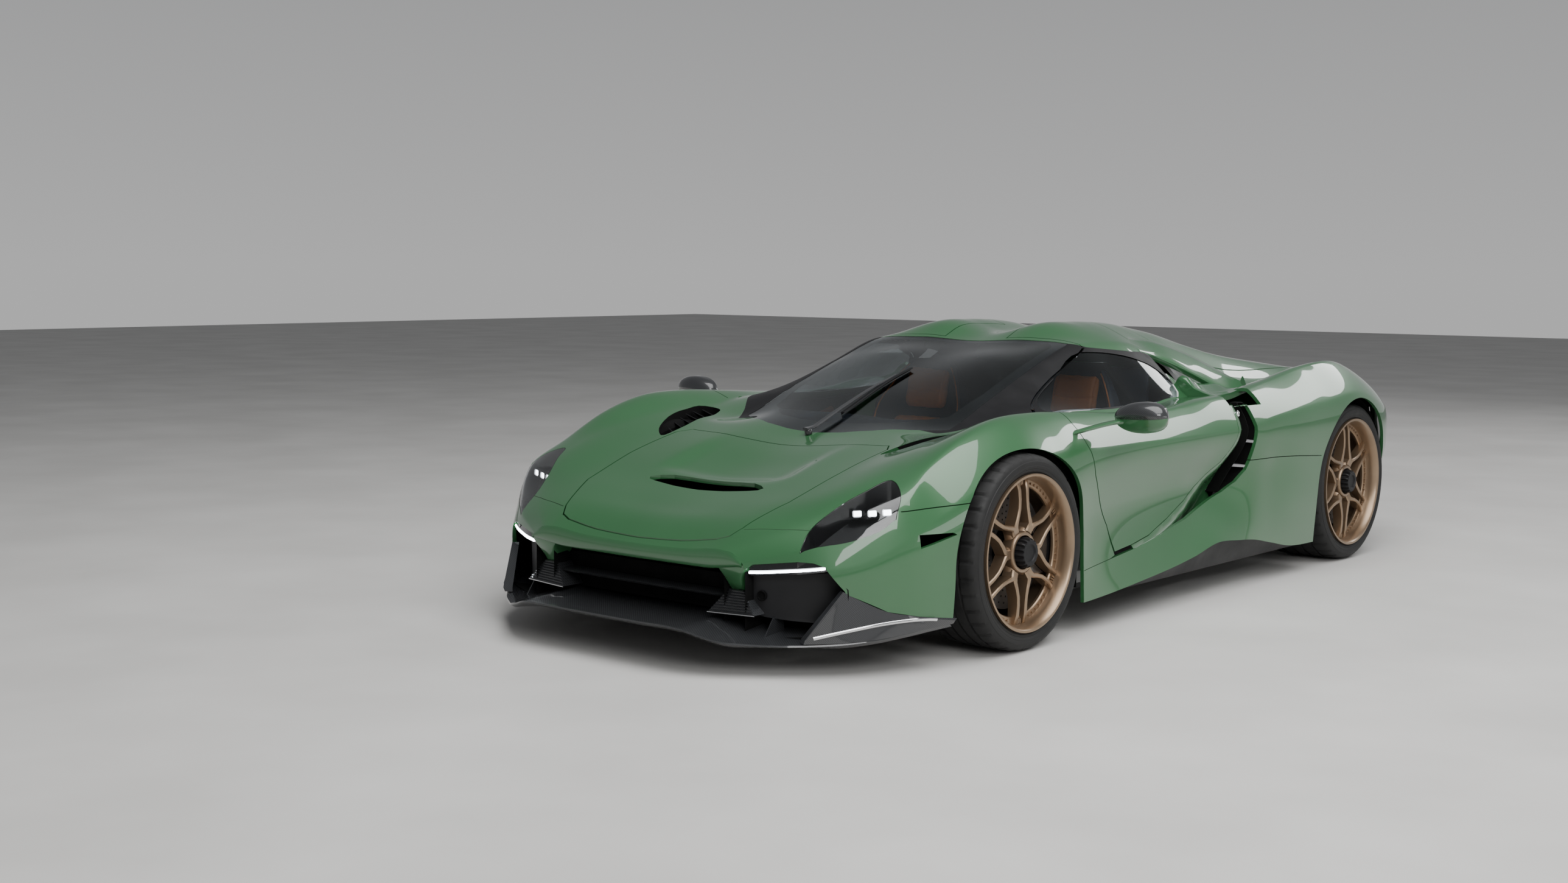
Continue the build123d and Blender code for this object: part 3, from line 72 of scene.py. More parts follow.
# Half sections of the body in millimetres: the station behind the front axle, then from the
# centre line outwards the spine's height and the (distance out, height) of the crest, the cant,
# the belt, the crown, the shoulder, the waist and the sill.
SECTIONS = (
    (-885, 368, 250, 374, 394, 386, 445, 380, 490, 352, 510, 300, 512, 220, 505, 115),
    (-800, 438, 262, 445, 430, 448, 560, 432, 652, 396, 690, 330, 696, 230, 690, 115),
    (-700, 474, 278, 487, 470, 498, 640, 490, 764, 450, 808, 352, 812, 240, 804, 115),
    (-560, 519, 290, 532, 500, 550, 710, 572, 868, 542, 910, 430, 914, 260, 904, 115),
    (-400, 562, 300, 584, 512, 602, 720, 636, 850, 628, 952, 505, 962, 300, 950, 115),
    (-200, 620, 300, 640, 520, 652, 700, 690, 845, 722, 980, 600, 992, 350, 975, 115),
    (0, 662, 300, 680, 524, 688, 690, 720, 845, 775, 985, 665, 996, 380, 975, 112),
    (230, 738, 300, 728, 524, 700, 690, 725, 845, 786, 985, 650, 990, 380, 972, 108),
    (480, 832, 300, 822, 512, 790, 735, 750, 850, 773, 968, 640, 948, 400, 970, 115),
    (800, 925, 290, 935, 500, 902, 740, 740, 870, 752, 958, 640, 912, 420, 970, 138),
    (1080, 988, 262, 1000, 495, 986, 742, 738, 885, 748, 962, 640, 896, 430, 970, 165),
    (1200, 1014, 262, 1054, 505, 988, 743, 747, 888, 754, 964, 640, 894, 433, 970, 181),
    (1400, 1014, 265, 1066, 520, 982, 745, 770, 895, 770, 970, 640, 890, 440, 970, 215),
    (1560, 1004, 270, 1062, 520, 958, 736, 768, 893, 778, 978, 650, 920, 440, 970, 205),
    (1700, 990, 275, 1052, 510, 926, 704, 745, 890, 790, 985, 660, 960, 440, 970, 192),
    (1850, 970, 280, 1030, 492, 902, 622, 716, 872, 810, 988, 682, 972, 445, 970, 164),
    (2000, 950, 285, 1008, 480, 872, 600, 705, 860, 826, 990, 700, 985, 450, 970, 135),
    (2300, 905, 300, 945, 455, 805, 600, 715, 850, 866, 990, 720, 992, 460, 970, 122),
    (2650, 862, 320, 880, 460, 770, 620, 735, 850, 880, 990, 740, 992, 480, 965, 130),
    (3000, 828, 350, 838, 500, 765, 640, 745, 820, 800, 955, 665, 960, 480, 930, 300),
    (3250, 806, 380, 812, 540, 780, 660, 765, 760, 735, 850, 640, 862, 500, 830, 320),
    (3450, 792, 380, 796, 540, 775, 620, 755, 680, 705, 730, 620, 736, 500, 710, 330),
)
SPINE, CREST, CANT, BELT, CROWN, SHOULDER, WAIST, SILL = range(8)
# How sharp the body folds at each of those lines, from 0, round, to 1, a hard edge, by station.
FOLDS = (
    (-885, 0, 0.2, 0.3, 0.2, 0.6, 0.5, 0.3, 0),
    (-560, 0, 0.0, 0.1, 0.2, 0.4, 0.4, 0.2, 0),
    (0, 0, 0.0, 0.2, 0.2, 0.1, 0.1, 0.1, 0),
    (480, 0, 0.0, 0.3, 0.9, 0.3, 0.3, 0.1, 0),
    (1400, 0, 0.0, 0.5, 0.9, 0.4, 0.4, 0.1, 0),
    (1800, 0, 0.2, 0.6, 0.4, 0.2, 0.2, 0.1, 0),
    (3000, 0, 0.2, 0.4, 0.2, 0.3, 0.2, 0.1, 0),
    (3450, 0, 0.3, 0.5, 0.3, 0.6, 0.4, 0.2, 0),
)
SPAN_STEPS = 10          # points between two lines of a section
STATION_STEP = 24.0


# ---------------------------------------------------------------- meshes

def place(station):
    """Model Y, in metres, of a station in millimetres behind the front axle."""
    return (FRONT_AXLE + station) * MM


def piece(name, verts, faces, material, smooth=True):
    """A mesh object in the scene, in metres."""
    mesh = bpy.data.meshes.new(name)
    mesh.from_pydata([tuple(v) for v in verts], [], faces)
    mesh.update()
    mesh.polygons.foreach_set("use_smooth", [smooth] * len(mesh.polygons))
    thing = bpy.data.objects.new(name, mesh)
    bpy.context.scene.collection.objects.link(thing)
    if material:
        mesh.materials.append(material)
    return thing


def grid_faces(rows, columns, close_rows=False, close_columns=False, base=0):
    """Quads of a grid whose points are stored row by row."""
    faces = []
    for i in range(rows if close_rows else rows - 1):
        for j in range(columns if close_columns else columns - 1):
            i2, j2 = (i + 1) % rows, (j + 1) % columns
            faces.append((base + i * columns + j, base + i * columns + j2, base + i2 * columns + j2,
                          base + i2 * columns + j))
    return faces


def slab(name, outer, inner, material):
    """A closed shell between two grids of points of the same shape."""
    rows, columns = outer.shape[:2]
    count = rows * columns
    faces = grid_faces(rows, columns)
    faces += [tuple(count + k for k in reversed(face)) for face in faces]
    ring = ([(0, j) for j in range(columns)] + [(i, columns - 1) for i in range(1, rows)]
            + [(rows - 1, j) for j in range(columns - 2, -1, -1)]
            + [(i, 0) for i in range(rows - 2, 0, -1)])
    index = [i * columns + j for i, j in ring]
    for a, b in zip(index, index[1:] + index[:1]):
        faces.append((b, a, count + a, count + b))
    return piece(name, np.concatenate([outer.reshape(-1, 3), inner.reshape(-1, 3)]), faces, material)


def prism(outline, axis, low, high):
    """A closed bar: an outline in the plane across axis, swept along it.  Metres."""
    others = [k for k in range(3) if k != axis]
    area = sum(a[0] * b[1] - b[0] * a[1] for a, b in zip(outline, outline[1:] + outline[:1]))
    if (area > 0) == (axis == 1):
        outline = outline[::-1]
    verts = []
    for level in (low, high):
        for point in outline:
            spot = [0.0, 0.0, 0.0]
            spot[axis], spot[others[0]], spot[others[1]] = level, point[0], point[1]
            verts.append(spot)
    n = len(outline)
    faces = [tuple(reversed(range(n))), tuple(range(n, 2 * n))]
    faces += [(k, (k + 1) % n, n + (k + 1) % n, n + k) for k in range(n)]
    return piece("cutter", verts, faces, None, False)


def side_cutter(outline, x0, x1):
    """A bar across the car from a side outline of (station, height)."""
    return prism([(place(y), z * MM) for y, z in outline], 0, min(x0, x1) * MM, max(x0, x1) * MM)


def plan_cutter(outline, z0, z1):
    """A bar up from a plan outline of (x, station)."""
    return prism([(x * MM, place(y)) for x, y in outline], 2, z0 * MM, z1 * MM)


def front_cutter(outline, y0, y1):
    """A bar along the car from a front outline of (x, height)."""
    return prism([(x * MM, z * MM) for x, z in outline], 1, place(y0), place(y1))


def discard(thing):
    """Take an object and its mesh out of the file."""
    mesh = thing.data
    bpy.data.objects.remove(thing)
    bpy.data.meshes.remove(mesh)


def bake(thing, name, kind, **settings):
    """Change a piece's mesh for good by one modifier."""
    modifier = thing.modifiers.new(name, kind)
    for key, value in settings.items():
        setattr(modifier, key, value)
    made = bpy.data.meshes.new_from_object(thing.evaluated_get(bpy.context.evaluated_depsgraph_get()))
    thing.modifiers.clear()
    old, thing.data = thing.data, made
    bpy.data.meshes.remove(old)


def carve(thing, cutter, operation="DIFFERENCE"):
    """Cut thing with cutter, or keep only what is in it, and take the cutter away."""
    bake(thing, "carve", "BOOLEAN", operation=operation, solver="MANIFOLD", object=cutter)
    discard(cutter)
    if not thing.data.polygons:
        raise RuntimeError(f"nothing is left of {thing.name}")
    return thing


def join(name, things):
    """Several meshes made into one object."""
    made = bmesh.new()
    materials = []
    for thing in things:
        mesh = thing.data
        mesh.transform(thing.matrix_world)
        slots = []
        for material in mesh.materials:
            if material not in materials:
                materials.append(material)
            slots.append(materials.index(material))
        start = len(made.faces)
        made.from_mesh(mesh)
        made.faces.ensure_lookup_table()
        for face in made.faces[start:]:
            face.material_index = slots[min(face.material_index, len(slots) - 1)] if slots else 0
    mesh = bpy.data.meshes.new(name)
    made.to_mesh(mesh)
    made.free()
    for thing in things:
        discard(thing)
    for material in materials:
        mesh.materials.append(material)
    thing = bpy.data.objects.new(name, mesh)
    bpy.context.scene.collection.objects.link(thing)
    return thing


def mirrored(thing, name):
    """A copy of thing on the car's other side."""
    mesh = thing.data.copy()
    mesh.transform(Matrix.Diagonal((-1, 1, 1, 1)))
    mesh.flip_normals()
    other = bpy.data.objects.new(name, mesh)
    bpy.context.scene.collection.objects.link(other)
    return other


def crease(thing, angle=32.0):
    """Smooth shading that stays sharp over edges steeper than angle."""
    mesh = thing.data
    mesh.polygons.foreach_set("use_smooth", [True] * len(mesh.polygons))
    mesh.set_sharp_from_angle(angle=math.radians(angle))
    return thing


def round_edges(thing, width, segments=2, angle=35.0):
    """Round the sharp edges of thing by a bevel."""
    bake(thing, "round", "BEVEL", width=width, segments=segments, limit_method="ANGLE",
         angle_limit=math.radians(angle), use_clamp_overlap=True)
    return crease(thing)


def solid(name, verts, faces, material, angle=32.0):
    """A closed mesh with its faces outwards, smooth over edges up to angle."""
    thing = piece(name, verts, faces, material)
    fix_normals(thing)
    return crease(thing, angle)


def turns(count):
    """Even angles round a circle."""
    return np.linspace(0, 2 * math.pi, count, endpoint=False)


def heading(spots, k):
    """The way a line of points runs at its point k."""
    return spots[min(k + 1, len(spots) - 1)] - spots[max(k - 1, 0)]


def lathe(name, profile, centre, material, segments=96, closed=True):
    """Turn (distance inboard, radius) points about the wheel axis at centre, in millimetres."""
    x0, y0, z0 = centre
    verts = []
    for k in range(segments):
        angle = 2 * math.pi * k / segments
        for inboard, radius in profile:
            verts.append(((x0 - inboard) * MM, (y0 + radius * math.cos(angle)) * MM,
                          (z0 + radius * math.sin(angle)) * MM))
    faces = grid_faces(segments, len(profile), True, closed)
    return solid(name, verts, faces, material)


def fix_normals(thing):
    """Turn every face of a closed mesh outwards."""
    made = bmesh.new()
    made.from_mesh(thing.data)
    bmesh.ops.recalc_face_normals(made, faces=made.faces)
    made.to_mesh(thing.data)
    made.free()


def finish_piece(thing, body, slot, *nodes):
    """Tie a piece to its body and hide the frame's nodes that it stands for; slot is not used."""
    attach(thing, body)
    if nodes:
        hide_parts(*nodes)
    return thing


def smooth_line(points, steps=8, closed=True, corners=()):
    """A rounded line through points, which stays sharp at the corners' indices."""
    n = len(points)
    pts = [np.array(p, float) for p in points]
    out = []
    for i in range(n if closed else n - 1):
        a, b = pts[i], pts[(i + 1) % n]
        before = pts[i - 1] if (closed or i) else a
        after = pts[(i + 2) % n] if (closed or i + 2 < n) else b
        length = np.linalg.norm(b - a)

        def slope(p, q, r):
            l0, l1 = np.linalg.norm(q - p), np.linalg.norm(r - q)
            if not l0 or not l1:
                return (r - p) / max(l0 + l1, 1e-9)
            return ((q - p) / l0 * l1 + (r - q) / l1 * l0) / (l0 + l1)

        start = (b - a) / length if i in corners or not (closed or i) else slope(before, a, b)
        stop = ((b - a) / length if (i + 1) % n in corners or not (closed or i + 2 < n)
                else slope(a, b, after))
        for k in range(steps):
            t = k / steps
            out.append(tuple((2 * t**3 - 3 * t**2 + 1) * a + (t**3 - 2 * t**2 + t) * length * start
                             + (3 * t**2 - 2 * t**3) * b + (t**3 - t**2) * length * stop))
    if not closed:
        out.append(tuple(pts[-1]))
    return out


# ---------------------------------------------------------------- the body's surface

def hermite(xs, values, at):
    """Values at new places, on a smooth line through the known ones."""
    xs, values, at = np.asarray(xs, float), np.asarray(values, float), np.asarray(at, float)
    step = np.diff(xs)[:, None]
    chord = np.diff(values, axis=0) / step
    slope = np.empty_like(values)
    slope[0], slope[-1] = chord[0], chord[-1]
    slope[1:-1] = (chord[:-1] * step[1:] + chord[1:] * step[:-1]) / (step[:-1] + step[1:])
    k = np.clip(np.searchsorted(xs, at, side="right") - 1, 0, len(xs) - 2)
    h = (xs[k + 1] - xs[k])[:, None]
    t = ((at - xs[k])[:, None]) / h
    return ((2 * t**3 - 3 * t**2 + 1) * values[k] + (t**3 - 2 * t**2 + t) * h * slope[k]
            + (3 * t**2 - 2 * t**3) * values[k + 1] + (t**3 - t**2) * h * slope[k + 1])


def half_sections(stations):
    """The body's half sections, finely divided: an array of stations by points by (x, z), in millimetres."""
    table = np.array(SECTIONS, float)
    flat = hermite(table[:, 0], table[:, 1:], stations)
    lines = np.zeros((len(stations), 8, 2))
    lines[:, 0, 1] = flat[:, 0]
    lines[:, 1:] = flat[:, 1:].reshape(len(stations), 7, 2)
    folds = np.array(FOLDS, float)
    fold = np.stack([np.interp(stations, folds[:, 0], folds[:, k + 1]) for k in range(8)],
                    axis=1)[..., None]
    chord = np.diff(lines, axis=1)
    length = np.linalg.norm(chord, axis=2, keepdims=True)
    way = chord / length
    even = np.empty_like(lines)
    even[:, 1:-1] = (way[:, :-1] * length[:, 1:]
                     + way[:, 1:] * length[:, :-1]) / (length[:, :-1] + length[:, 1:])
    even[:, 0], even[:, -1] = (1.0, 0.0), way[:, -1]
    leave = even[:, :-1] * (1 - fold[:, :-1]) + way * fold[:, :-1]
    arrive = even[:, 1:] * (1 - fold[:, 1:]) + way * fold[:, 1:]
    spans = []
    for k in range(SPAN_STEPS):
        t = k / SPAN_STEPS
        spans.append((2 * t**3 - 3 * t**2 + 1) * lines[:, :-1] + (t**3 - 2 * t**2 + t) * length * leave
                     + (3 * t**2 - 2 * t**3) * lines[:, 1:] + (t**3 - t**2) * length * arrive)
    fine = np.stack(spans, axis=2).reshape(len(stations), 7 * SPAN_STEPS, 2)
    return np.concatenate([fine, lines[:, -1:]], axis=1)


def stations_between(start, end):
    """Even stations over a stretch, with its ends."""
    count = max(int(math.ceil((end - start) / STATION_STEP)), 2)
    return np.linspace(start, end, count + 1)


def ease(value, low, high):
    """A soft step from 0 at low to 1 at high."""
    t = np.clip((value - low) / (high - low), 0.0, 1.0)
    return t * t * (3 - 2 * t)


def dish_depth(x, station):
    """How far the hood's hollow behind its outlet lies under the sections."""
    along = ease(station, -485, -400) * (1 - ease(station, -330, -30))
    return DISH_DEPTH * along * (1 - ease(abs(x), DISH_HALF - 60, DISH_HALF + 30))


def body_grid(start, end):
    """The whole width of the outer surface between two stations, in metres, with its normals."""
    stations = stations_between(start, end)
    half = half_sections(stations) * MM
    y = np.broadcast_to(((FRONT_AXLE + stations) * MM)[:, None], half.shape[:2])
    left = np.stack([half[..., 0], y, half[..., 1]], axis=2)
    right = left[:, :0:-1].copy()
    right[..., 0] *= -1
    full = np.concatenate([right, left], axis=1)
    full[..., 2] -= dish_depth(full[..., 0] / MM, full[..., 1] / MM - FRONT_AXLE) * MM
    along, across = np.gradient(full, axis=0), np.gradient(full, axis=1)
    normal = np.cross(across, along)
    normal /= np.linalg.norm(normal, axis=2, keepdims=True)
    return full, normal


def skin(name, start, end, first, last, outside, inside, material, side=0):
    """A shell that follows the outer surface, from outside to inside millimetres under it.

    first and last are lines of the sections; side 1 or -1 keeps the left or the right strip.
    """
    full, normal = body_grid(start, end)
    middle = 7 * SPAN_STEPS
    low, high = first * SPAN_STEPS, last * SPAN_STEPS
    if side == 0:
        pick = slice(middle - high, middle + high + 1)
    elif side > 0:
        pick = slice(middle + low, middle + high + 1)
    else:
        pick = slice(middle - high, middle - low + 1)
    points, ways = full[:, pick], normal[:, pick]
    outer, inner = points - ways * outside * MM, points - ways * inside * MM
    thing = slab(name, outer, inner, material)
    fix_normals(thing)
    return thing


_surface = {}


def surface_tree():
    """The outer surface as a search tree, with each corner's normal."""
    if not _surface:
        full, normal = body_grid(NOSE, TAIL)
        rows, columns = full.shape[:2]
        faces = grid_faces(rows, columns)
        points = [Vector(p) for p in full.reshape(-1, 3)]
        _surface["tree"] = BVHTree.FromPolygons(points, faces)
        _surface["faces"], _surface["points"] = faces, points
        _surface["normals"] = [Vector(n) for n in normal.reshape(-1, 3)]
    return _surface


def polish(thing, reach=0.03):
    """Shade a carved panel by the whole body's surface, so reflections run across its joints."""
    parts = surface_tree()
    tree, faces, points, normals = parts["tree"], parts["faces"], parts["points"], parts["normals"]
    mesh = thing.data
    mesh.polygons.foreach_set("use_smooth", [True] * len(mesh.polygons))
    known = {}
    ways = [None] * len(mesh.loops)
    for polygon in mesh.polygons:
        found = tree.find_nearest(polygon.center, reach)
        sign = 0
        if found[0] is not None:
            dot = polygon.normal.dot(normals[faces[found[2]][0]])
            sign = 1 if dot > 0.8 else -1 if dot < -0.8 else 0
        for loop in polygon.loop_indices:
            if not sign:
                ways[loop] = polygon.normal.copy()
                continue
            corner = mesh.loops[loop].vertex_index
            if corner not in known:
                spot, _, face, _ = tree.find_nearest(mesh.vertices[corner].co)
                ring = faces[face]
                weights = poly_3d_calc([points[k] for k in ring], spot)
                way = Vector((0, 0, 0))
                for k, weight in zip(ring, weights):
                    way += normals[k] * weight
                known[corner] = way.normalized()
            ways[loop] = known[corner] * sign
    mesh.normals_split_custom_set(ways)
    return thing


# ---------------------------------------------------------------- finishes

class Recipe:
    """A material that is built up node by node."""

    def __init__(self, name):
        self.material = bpy.data.materials.new(name)
        self.material.use_nodes = True
        self.tree = self.material.node_tree
        self.shader = self.tree.nodes["Principled BSDF"]
        self.output = self.tree.nodes["Material Output"]

    def feed(self, socket, value):
        """Link a socket to another one, or set its value."""
        if isinstance(value, bpy.types.NodeSocket):
            self.tree.links.new(value, socket)
        elif hasattr(value, "__len__") and len(value) == 3 and socket.type == "RGBA":
            socket.default_value = (*value, 1.0)
        else:
            socket.default_value = value

    def node(self, kind, settings=None, **inputs):
        made = self.tree.nodes.new(kind)
        for key, value in (settings or {}).items():
            setattr(made, key, value)
        for key, value in inputs.items():
            numbered = key[0] == "i" and key[1:].isdigit()
            self.feed(made.inputs[int(key[1:]) if numbered else key.replace("_", " ")], value)
        return made

    def place(self, scale=1.0):
        coords = self.node("ShaderNodeTexCoord").outputs["Object"]
        if scale == 1.0:
            return coords
        return self.node("ShaderNodeMapping", Vector=coords,
                         Scale=scale if hasattr(scale, "__len__") else (scale,) * 3).outputs[0]

    def noise(self, scale, detail=3.0, roughness=0.5, vector=None):
        return self.node("ShaderNodeTexNoise", Vector=vector or self.place(), Scale=scale, Detail=detail,
                         Roughness=roughness).outputs["Fac"]

    def math(self, operation, a, b=0.0):
        return self.node("ShaderNodeMath", {"operation": operation}, i0=a, i1=b).outputs[0]

    def blend(self, factor, low, high):
        made = self.node("ShaderNodeMix", {"data_type": "RGBA"}, Factor=factor)
        self.feed(made.inputs[6], low)
        self.feed(made.inputs[7], high)
        return made.outputs[2]

    def ramp(self, value, low, high, from_low=0.0, from_high=1.0):
        return self.node("ShaderNodeMapRange", Value=value, From_Min=from_low, From_Max=from_high,
                         To_Min=low, To_Max=high).outputs[0]

    def set(self, **inputs):
        for key, value in inputs.items():
            self.feed(self.shader.inputs[key.replace("_", " ")], value)
        return self

    def bump(self, height, strength, distance=0.001):
        made = self.node("ShaderNodeBump", Height=height, Strength=strength, Distance=distance)
        self.tree.links.new(made.outputs[0], self.shader.inputs["Normal"])
        return self


def shade(colour, factor):
    return tuple(min(c * factor, 1.0) for c in colour[:3])


def gloss_paint(name, colour):
    r = Recipe(name)
    drift = r.noise(2.2, 2.0)
    flake = r.node("ShaderNodeTexVoronoi", Vector=r.place(), Scale=2600.0).outputs["Color"]
    fleck = r.node("ShaderNodeSeparateColor", Color=flake).outputs[0]
    base = r.blend(r.ramp(drift, 0.0, 1.0, 0.3, 0.7), shade(colour, 0.94), shade(colour, 1.06))
    base = r.blend(r.ramp(fleck, 0.0, 0.35), base, shade(colour, 1.25))
    r.set(Base_Color=base, Roughness=r.ramp(fleck, 0.34, 0.44), Metallic=0.12,
          Coat_Weight=1.0, Coat_Roughness=0.03, Coat_IOR=1.5, Specular_IOR_Level=0.5)
    return r.bump(r.noise(420.0, 1.0), 0.012).material


def carbon_weave(name, colour, pitch=1.0):
    """Twill-woven carbon under lacquer."""
    r = Recipe(name)
    spot = r.place(400.0 / pitch)
    parts = r.node("ShaderNodeSeparateXYZ", Vector=spot).outputs
    u = r.math("ADD", parts[0], r.math("MULTIPLY", parts[2], 0.5))
    v = r.math("ADD", parts[1], r.math("MULTIPLY", parts[2], 0.87))
    step = r.math("ADD", r.math("FLOOR", u), r.math("FLOOR", v))
    twill = r.math("LESS_THAN",
                   r.math("MODULO", r.math("ADD", r.math("MODULO", step, 4.0), 4.0), 4.0), 2.0)
    # The weave pattern is real, but its light and dark tows are painted sheen: each tow is lighter along its
    # crown, and the tows of one direction are darker than the others.
    tow_u = r.math("ABSOLUTE", r.math("SINE", r.math("MULTIPLY", u, math.pi)))
    tow_v = r.math("ABSOLUTE", r.math("SINE", r.math("MULTIPLY", v, math.pi)))
    tow = r.node("ShaderNodeMix", {"data_type": "FLOAT"}, Factor=twill, i2=tow_u, i3=tow_v).outputs[0]
    light = r.math("MULTIPLY", tow, r.ramp(twill, 0.45, 1.0))
    base = r.blend(light, shade(colour, 0.35), shade(colour, 2.4))
    r.set(Base_Color=base, Roughness=r.ramp(light, 0.5, 0.32), Metallic=0.25,
          Coat_Weight=1.0, Coat_Roughness=0.04)
    return r.bump(light, 0.15, 0.0002).material


def plain_plastic(name, colour, roughness=0.5, grain=900.0, depth=0.25, gloss=0.5):
    r = Recipe(name)
    fine, broad = r.noise(grain, 2.0), r.noise(9.0, 3.0)
    r.set(Base_Color=r.blend(r.ramp(broad, 0, 1, 0.3, 0.7), shade(colour, 0.8), shade(colour, 1.2)),
          Roughness=r.ramp(broad, roughness * 0.85, roughness * 1.15, 0.3, 0.7), Specular_IOR_Level=gloss)
    return r.bump(fine, depth, 0.0003).material


def rubber(name, colour):
    r = Recipe(name)
    dust = r.noise(14.0, 5.0, 0.6)
    r.set(Base_Color=r.blend(r.ramp(dust, 0.0, 1.0, 0.4, 0.75), colour, shade(colour, 2.2)),
          Roughness=r.ramp(dust, 0.55, 0.8, 0.35, 0.7), Specular_IOR_Level=0.35)
    return r.bump(r.noise(700.0, 3.0), 0.3, 0.0003).material


def metal(name, colour, roughness=0.35, metallic=1.0, coat=0.0, grain=(60.0, 60.0, 60.0), depth=0.05):
    r = Recipe(name)
    broad = r.noise(6.0, 4.0)
    fine = r.noise(20.0, 4.0, 0.6, r.place(grain))
    r.set(Base_Color=r.blend(r.ramp(broad, 0, 1, 0.3, 0.7),
                             shade(colour, 0.85), shade(colour, 1.12)),
          Roughness=r.ramp(fine, roughness * 0.85, roughness * 1.2, 0.3, 0.7),
          Metallic=metallic, Coat_Weight=coat, Coat_Roughness=0.1)
    return r.bump(fine, depth, 0.0002).material


def clear_glass(name, tint, roughness=0.0):
    r = Recipe(name)
    haze = r.noise(3.0, 2.0)
    r.set(Base_Color=r.blend(r.ramp(haze, 0, 1, 0.3, 0.7), shade(tint, 0.97),
                             shade(tint, 1.03)), Roughness=roughness, Transmission_Weight=1.0,
          IOR=1.45, Specular_IOR_Level=0.6)
    return r.material


def lamp_light(name, colour, strength):
    r = Recipe(name)
    r.set(Base_Color=r.blend(r.noise(300.0, 1.0), shade(colour, 0.95), colour), Roughness=0.3,
          Emission_Color=(*colour, 1.0), Emission_Strength=strength)
    return r.material


def leather(name, colour, roughness=0.5):
    r = Recipe(name)
    pebble = r.node("ShaderNodeTexVoronoi", {"feature": "DISTANCE_TO_EDGE"}, Vector=r.place(),
                    Scale=420.0).outputs[0]
    crumple = r.noise(60.0, 4.0)
    wear = r.noise(7.0, 3.0)
    base = r.blend(r.ramp(pebble, 1.0, 0.0, 0.0, 0.12), colour, shade(colour, 0.55))
    base = r.blend(r.ramp(wear, 0.0, 0.3, 0.4, 0.8), base, shade(colour, 1.25))
    r.set(Base_Color=base, Roughness=r.ramp(crumple, roughness * 0.85, roughness * 1.2, 0.3, 0.7))
    return r.bump(r.math("ADD", r.ramp(pebble, 0.0, 1.0, 0.0, 0.1), crumple), 0.25, 0.0006).material


FINISHES = {}


def finishes():
    """All finishes, made once from the panel's colours."""
    if FINISHES:
        return FINISHES
    look = bpy.context.scene.coupe_looks
    FINISHES.update({
        "paint": gloss_paint("paint_green", tuple(look.paint)),
        "carbon": carbon_weave("carbon_twill", (0.022, 0.023, 0.025)),
        "black_trim": plain_plastic("trim_satin_black", (0.007, 0.007, 0.008), 0.48, gloss=0.3),
        # Matt black serves real trim, and also the painted shade in the hood outlet's well and in the
        # buttress gaps.
        "matt_black": plain_plastic("trim_matt_black", (0.003, 0.003, 0.003), 0.9, gloss=0.15),
        "gloss_black": metal("trim_gloss_black", (0.006, 0.006, 0.007), 0.12, 0.0, 1.0),
        "glass": clear_glass("glass_tinted", (0.52, 0.57, 0.58)),
        "lamp_glass": clear_glass("lamp_cover", (0.93, 0.95, 0.96)),
        "lamp_white": lamp_light("lamp_white", (0.9, 0.95, 1.0), 14.0),
        "tail_light": lamp_light("lamp_red", (0.5, 0.01, 0.01), 0.6),
        "tyre": rubber("tyre_rubber", (0.012, 0.012, 0.012)),
        "bronze": metal("wheel_bronze", tuple(look.wheel), 0.36, 0.85, 0.25),
        "disc": metal("brake_disc", (0.09, 0.085, 0.08), 0.45, 0.6, 0.0, (200.0, 20.0, 20.0)),
        "caliper": metal("caliper_black", (0.012, 0.012, 0.013), 0.25, 0.0, 0.8),
        "frame_alloy": metal("cast_alloy", (0.35, 0.35, 0.36), 0.5, 0.9),
        "steel": metal("bright_steel", (0.55, 0.54, 0.52), 0.25, 1.0),
        "chrome": metal("bright_chrome", (0.75, 0.75, 0.76), 0.08, 1.0),
        "leather_tan": leather("leather_orange", tuple(look.leather), 0.48),
        "leather_dark": leather("leather_midnight", (0.008, 0.013, 0.03), 0.5),
    })
    return FINISHES


# ---------------------------------------------------------------- body panels

PANEL = 14.0             # how thick the dressed panels are, in millimetres
SEAM_WIDTH = 3.0
BELT_OUT = 741.0         # the black glasshouse ends at the belt, this far out
BLACK_IN = 380           # and starts this far out on the roof

DOOR_LOW_EDGE = [(636, 257), (775, 268), (913, 287), (1080, 333), (1232, 386), (1360, 444), (1469, 520),
                 (1515, 600), (1538, 680), (1545, 742)]
DOOR_FRONT_EDGE = [(396, 738), (404, 704), (414, 640), (440, 560), (520, 450), (590, 360)]
DOOR_TOP_EDGE = [(1545, 800), (1545, HIGH), (1095, HIGH), (1095, 975), (1010, 945), (470, 752)]
DOOR_EDGE = DOOR_FRONT_EDGE + DOOR_LOW_EDGE + DOOR_TOP_EDGE
DOOR_FULL = [(396, HIGH)] + DOOR_FRONT_EDGE + DOOR_LOW_EDGE + [(1545, HIGH)]
PILLAR_EDGE = [(300, 738), (396, 738), (470, 752), (1010, 945), (1095, 975), (1095, HIGH), (300, HIGH)]
BLADE_EDGE = [(404, 224), (600, 240), (795, 256), (1002, 284), (1220, 322), (1380, 362), (1518, 400),
              (1600, 436), (1645, 480), (1662, 560), (1672, 640), (1668, 742)]
SPLIT_LINE = [(1657, 518), (1780, 518), (1900, 516), (2060, 508), (2262, 494)]
SILL_EDGE = [(392, 0), (392, 223)] + BLADE_EDGE[:9] + SPLIT_LINE + [(2262, 0)]
CLEAR_ZONE = [(553, 768), (800, 864), (1040, 957), (1160, 956), (1251, 948), (1385, 922), (1470, 890),
              (1512, 856), (1528, 822), (1512, 790), (1450, 772), (1370, 764), (980, 758)]
HOOD_HALF = [(0, -868), (200, -864), (350, -853), (394, -838), (420, -800), (478, -640), (500, -400),
             (505, -150), (470, -95), (0, -95)]
WINDSCREEN_HALF = [(0, 50), (130, 58), (250, 85), (380, 150), (486, 235), (486, 500), (470, 1040),
                   (462, 1068), (250, 1078), (0, 1082)]
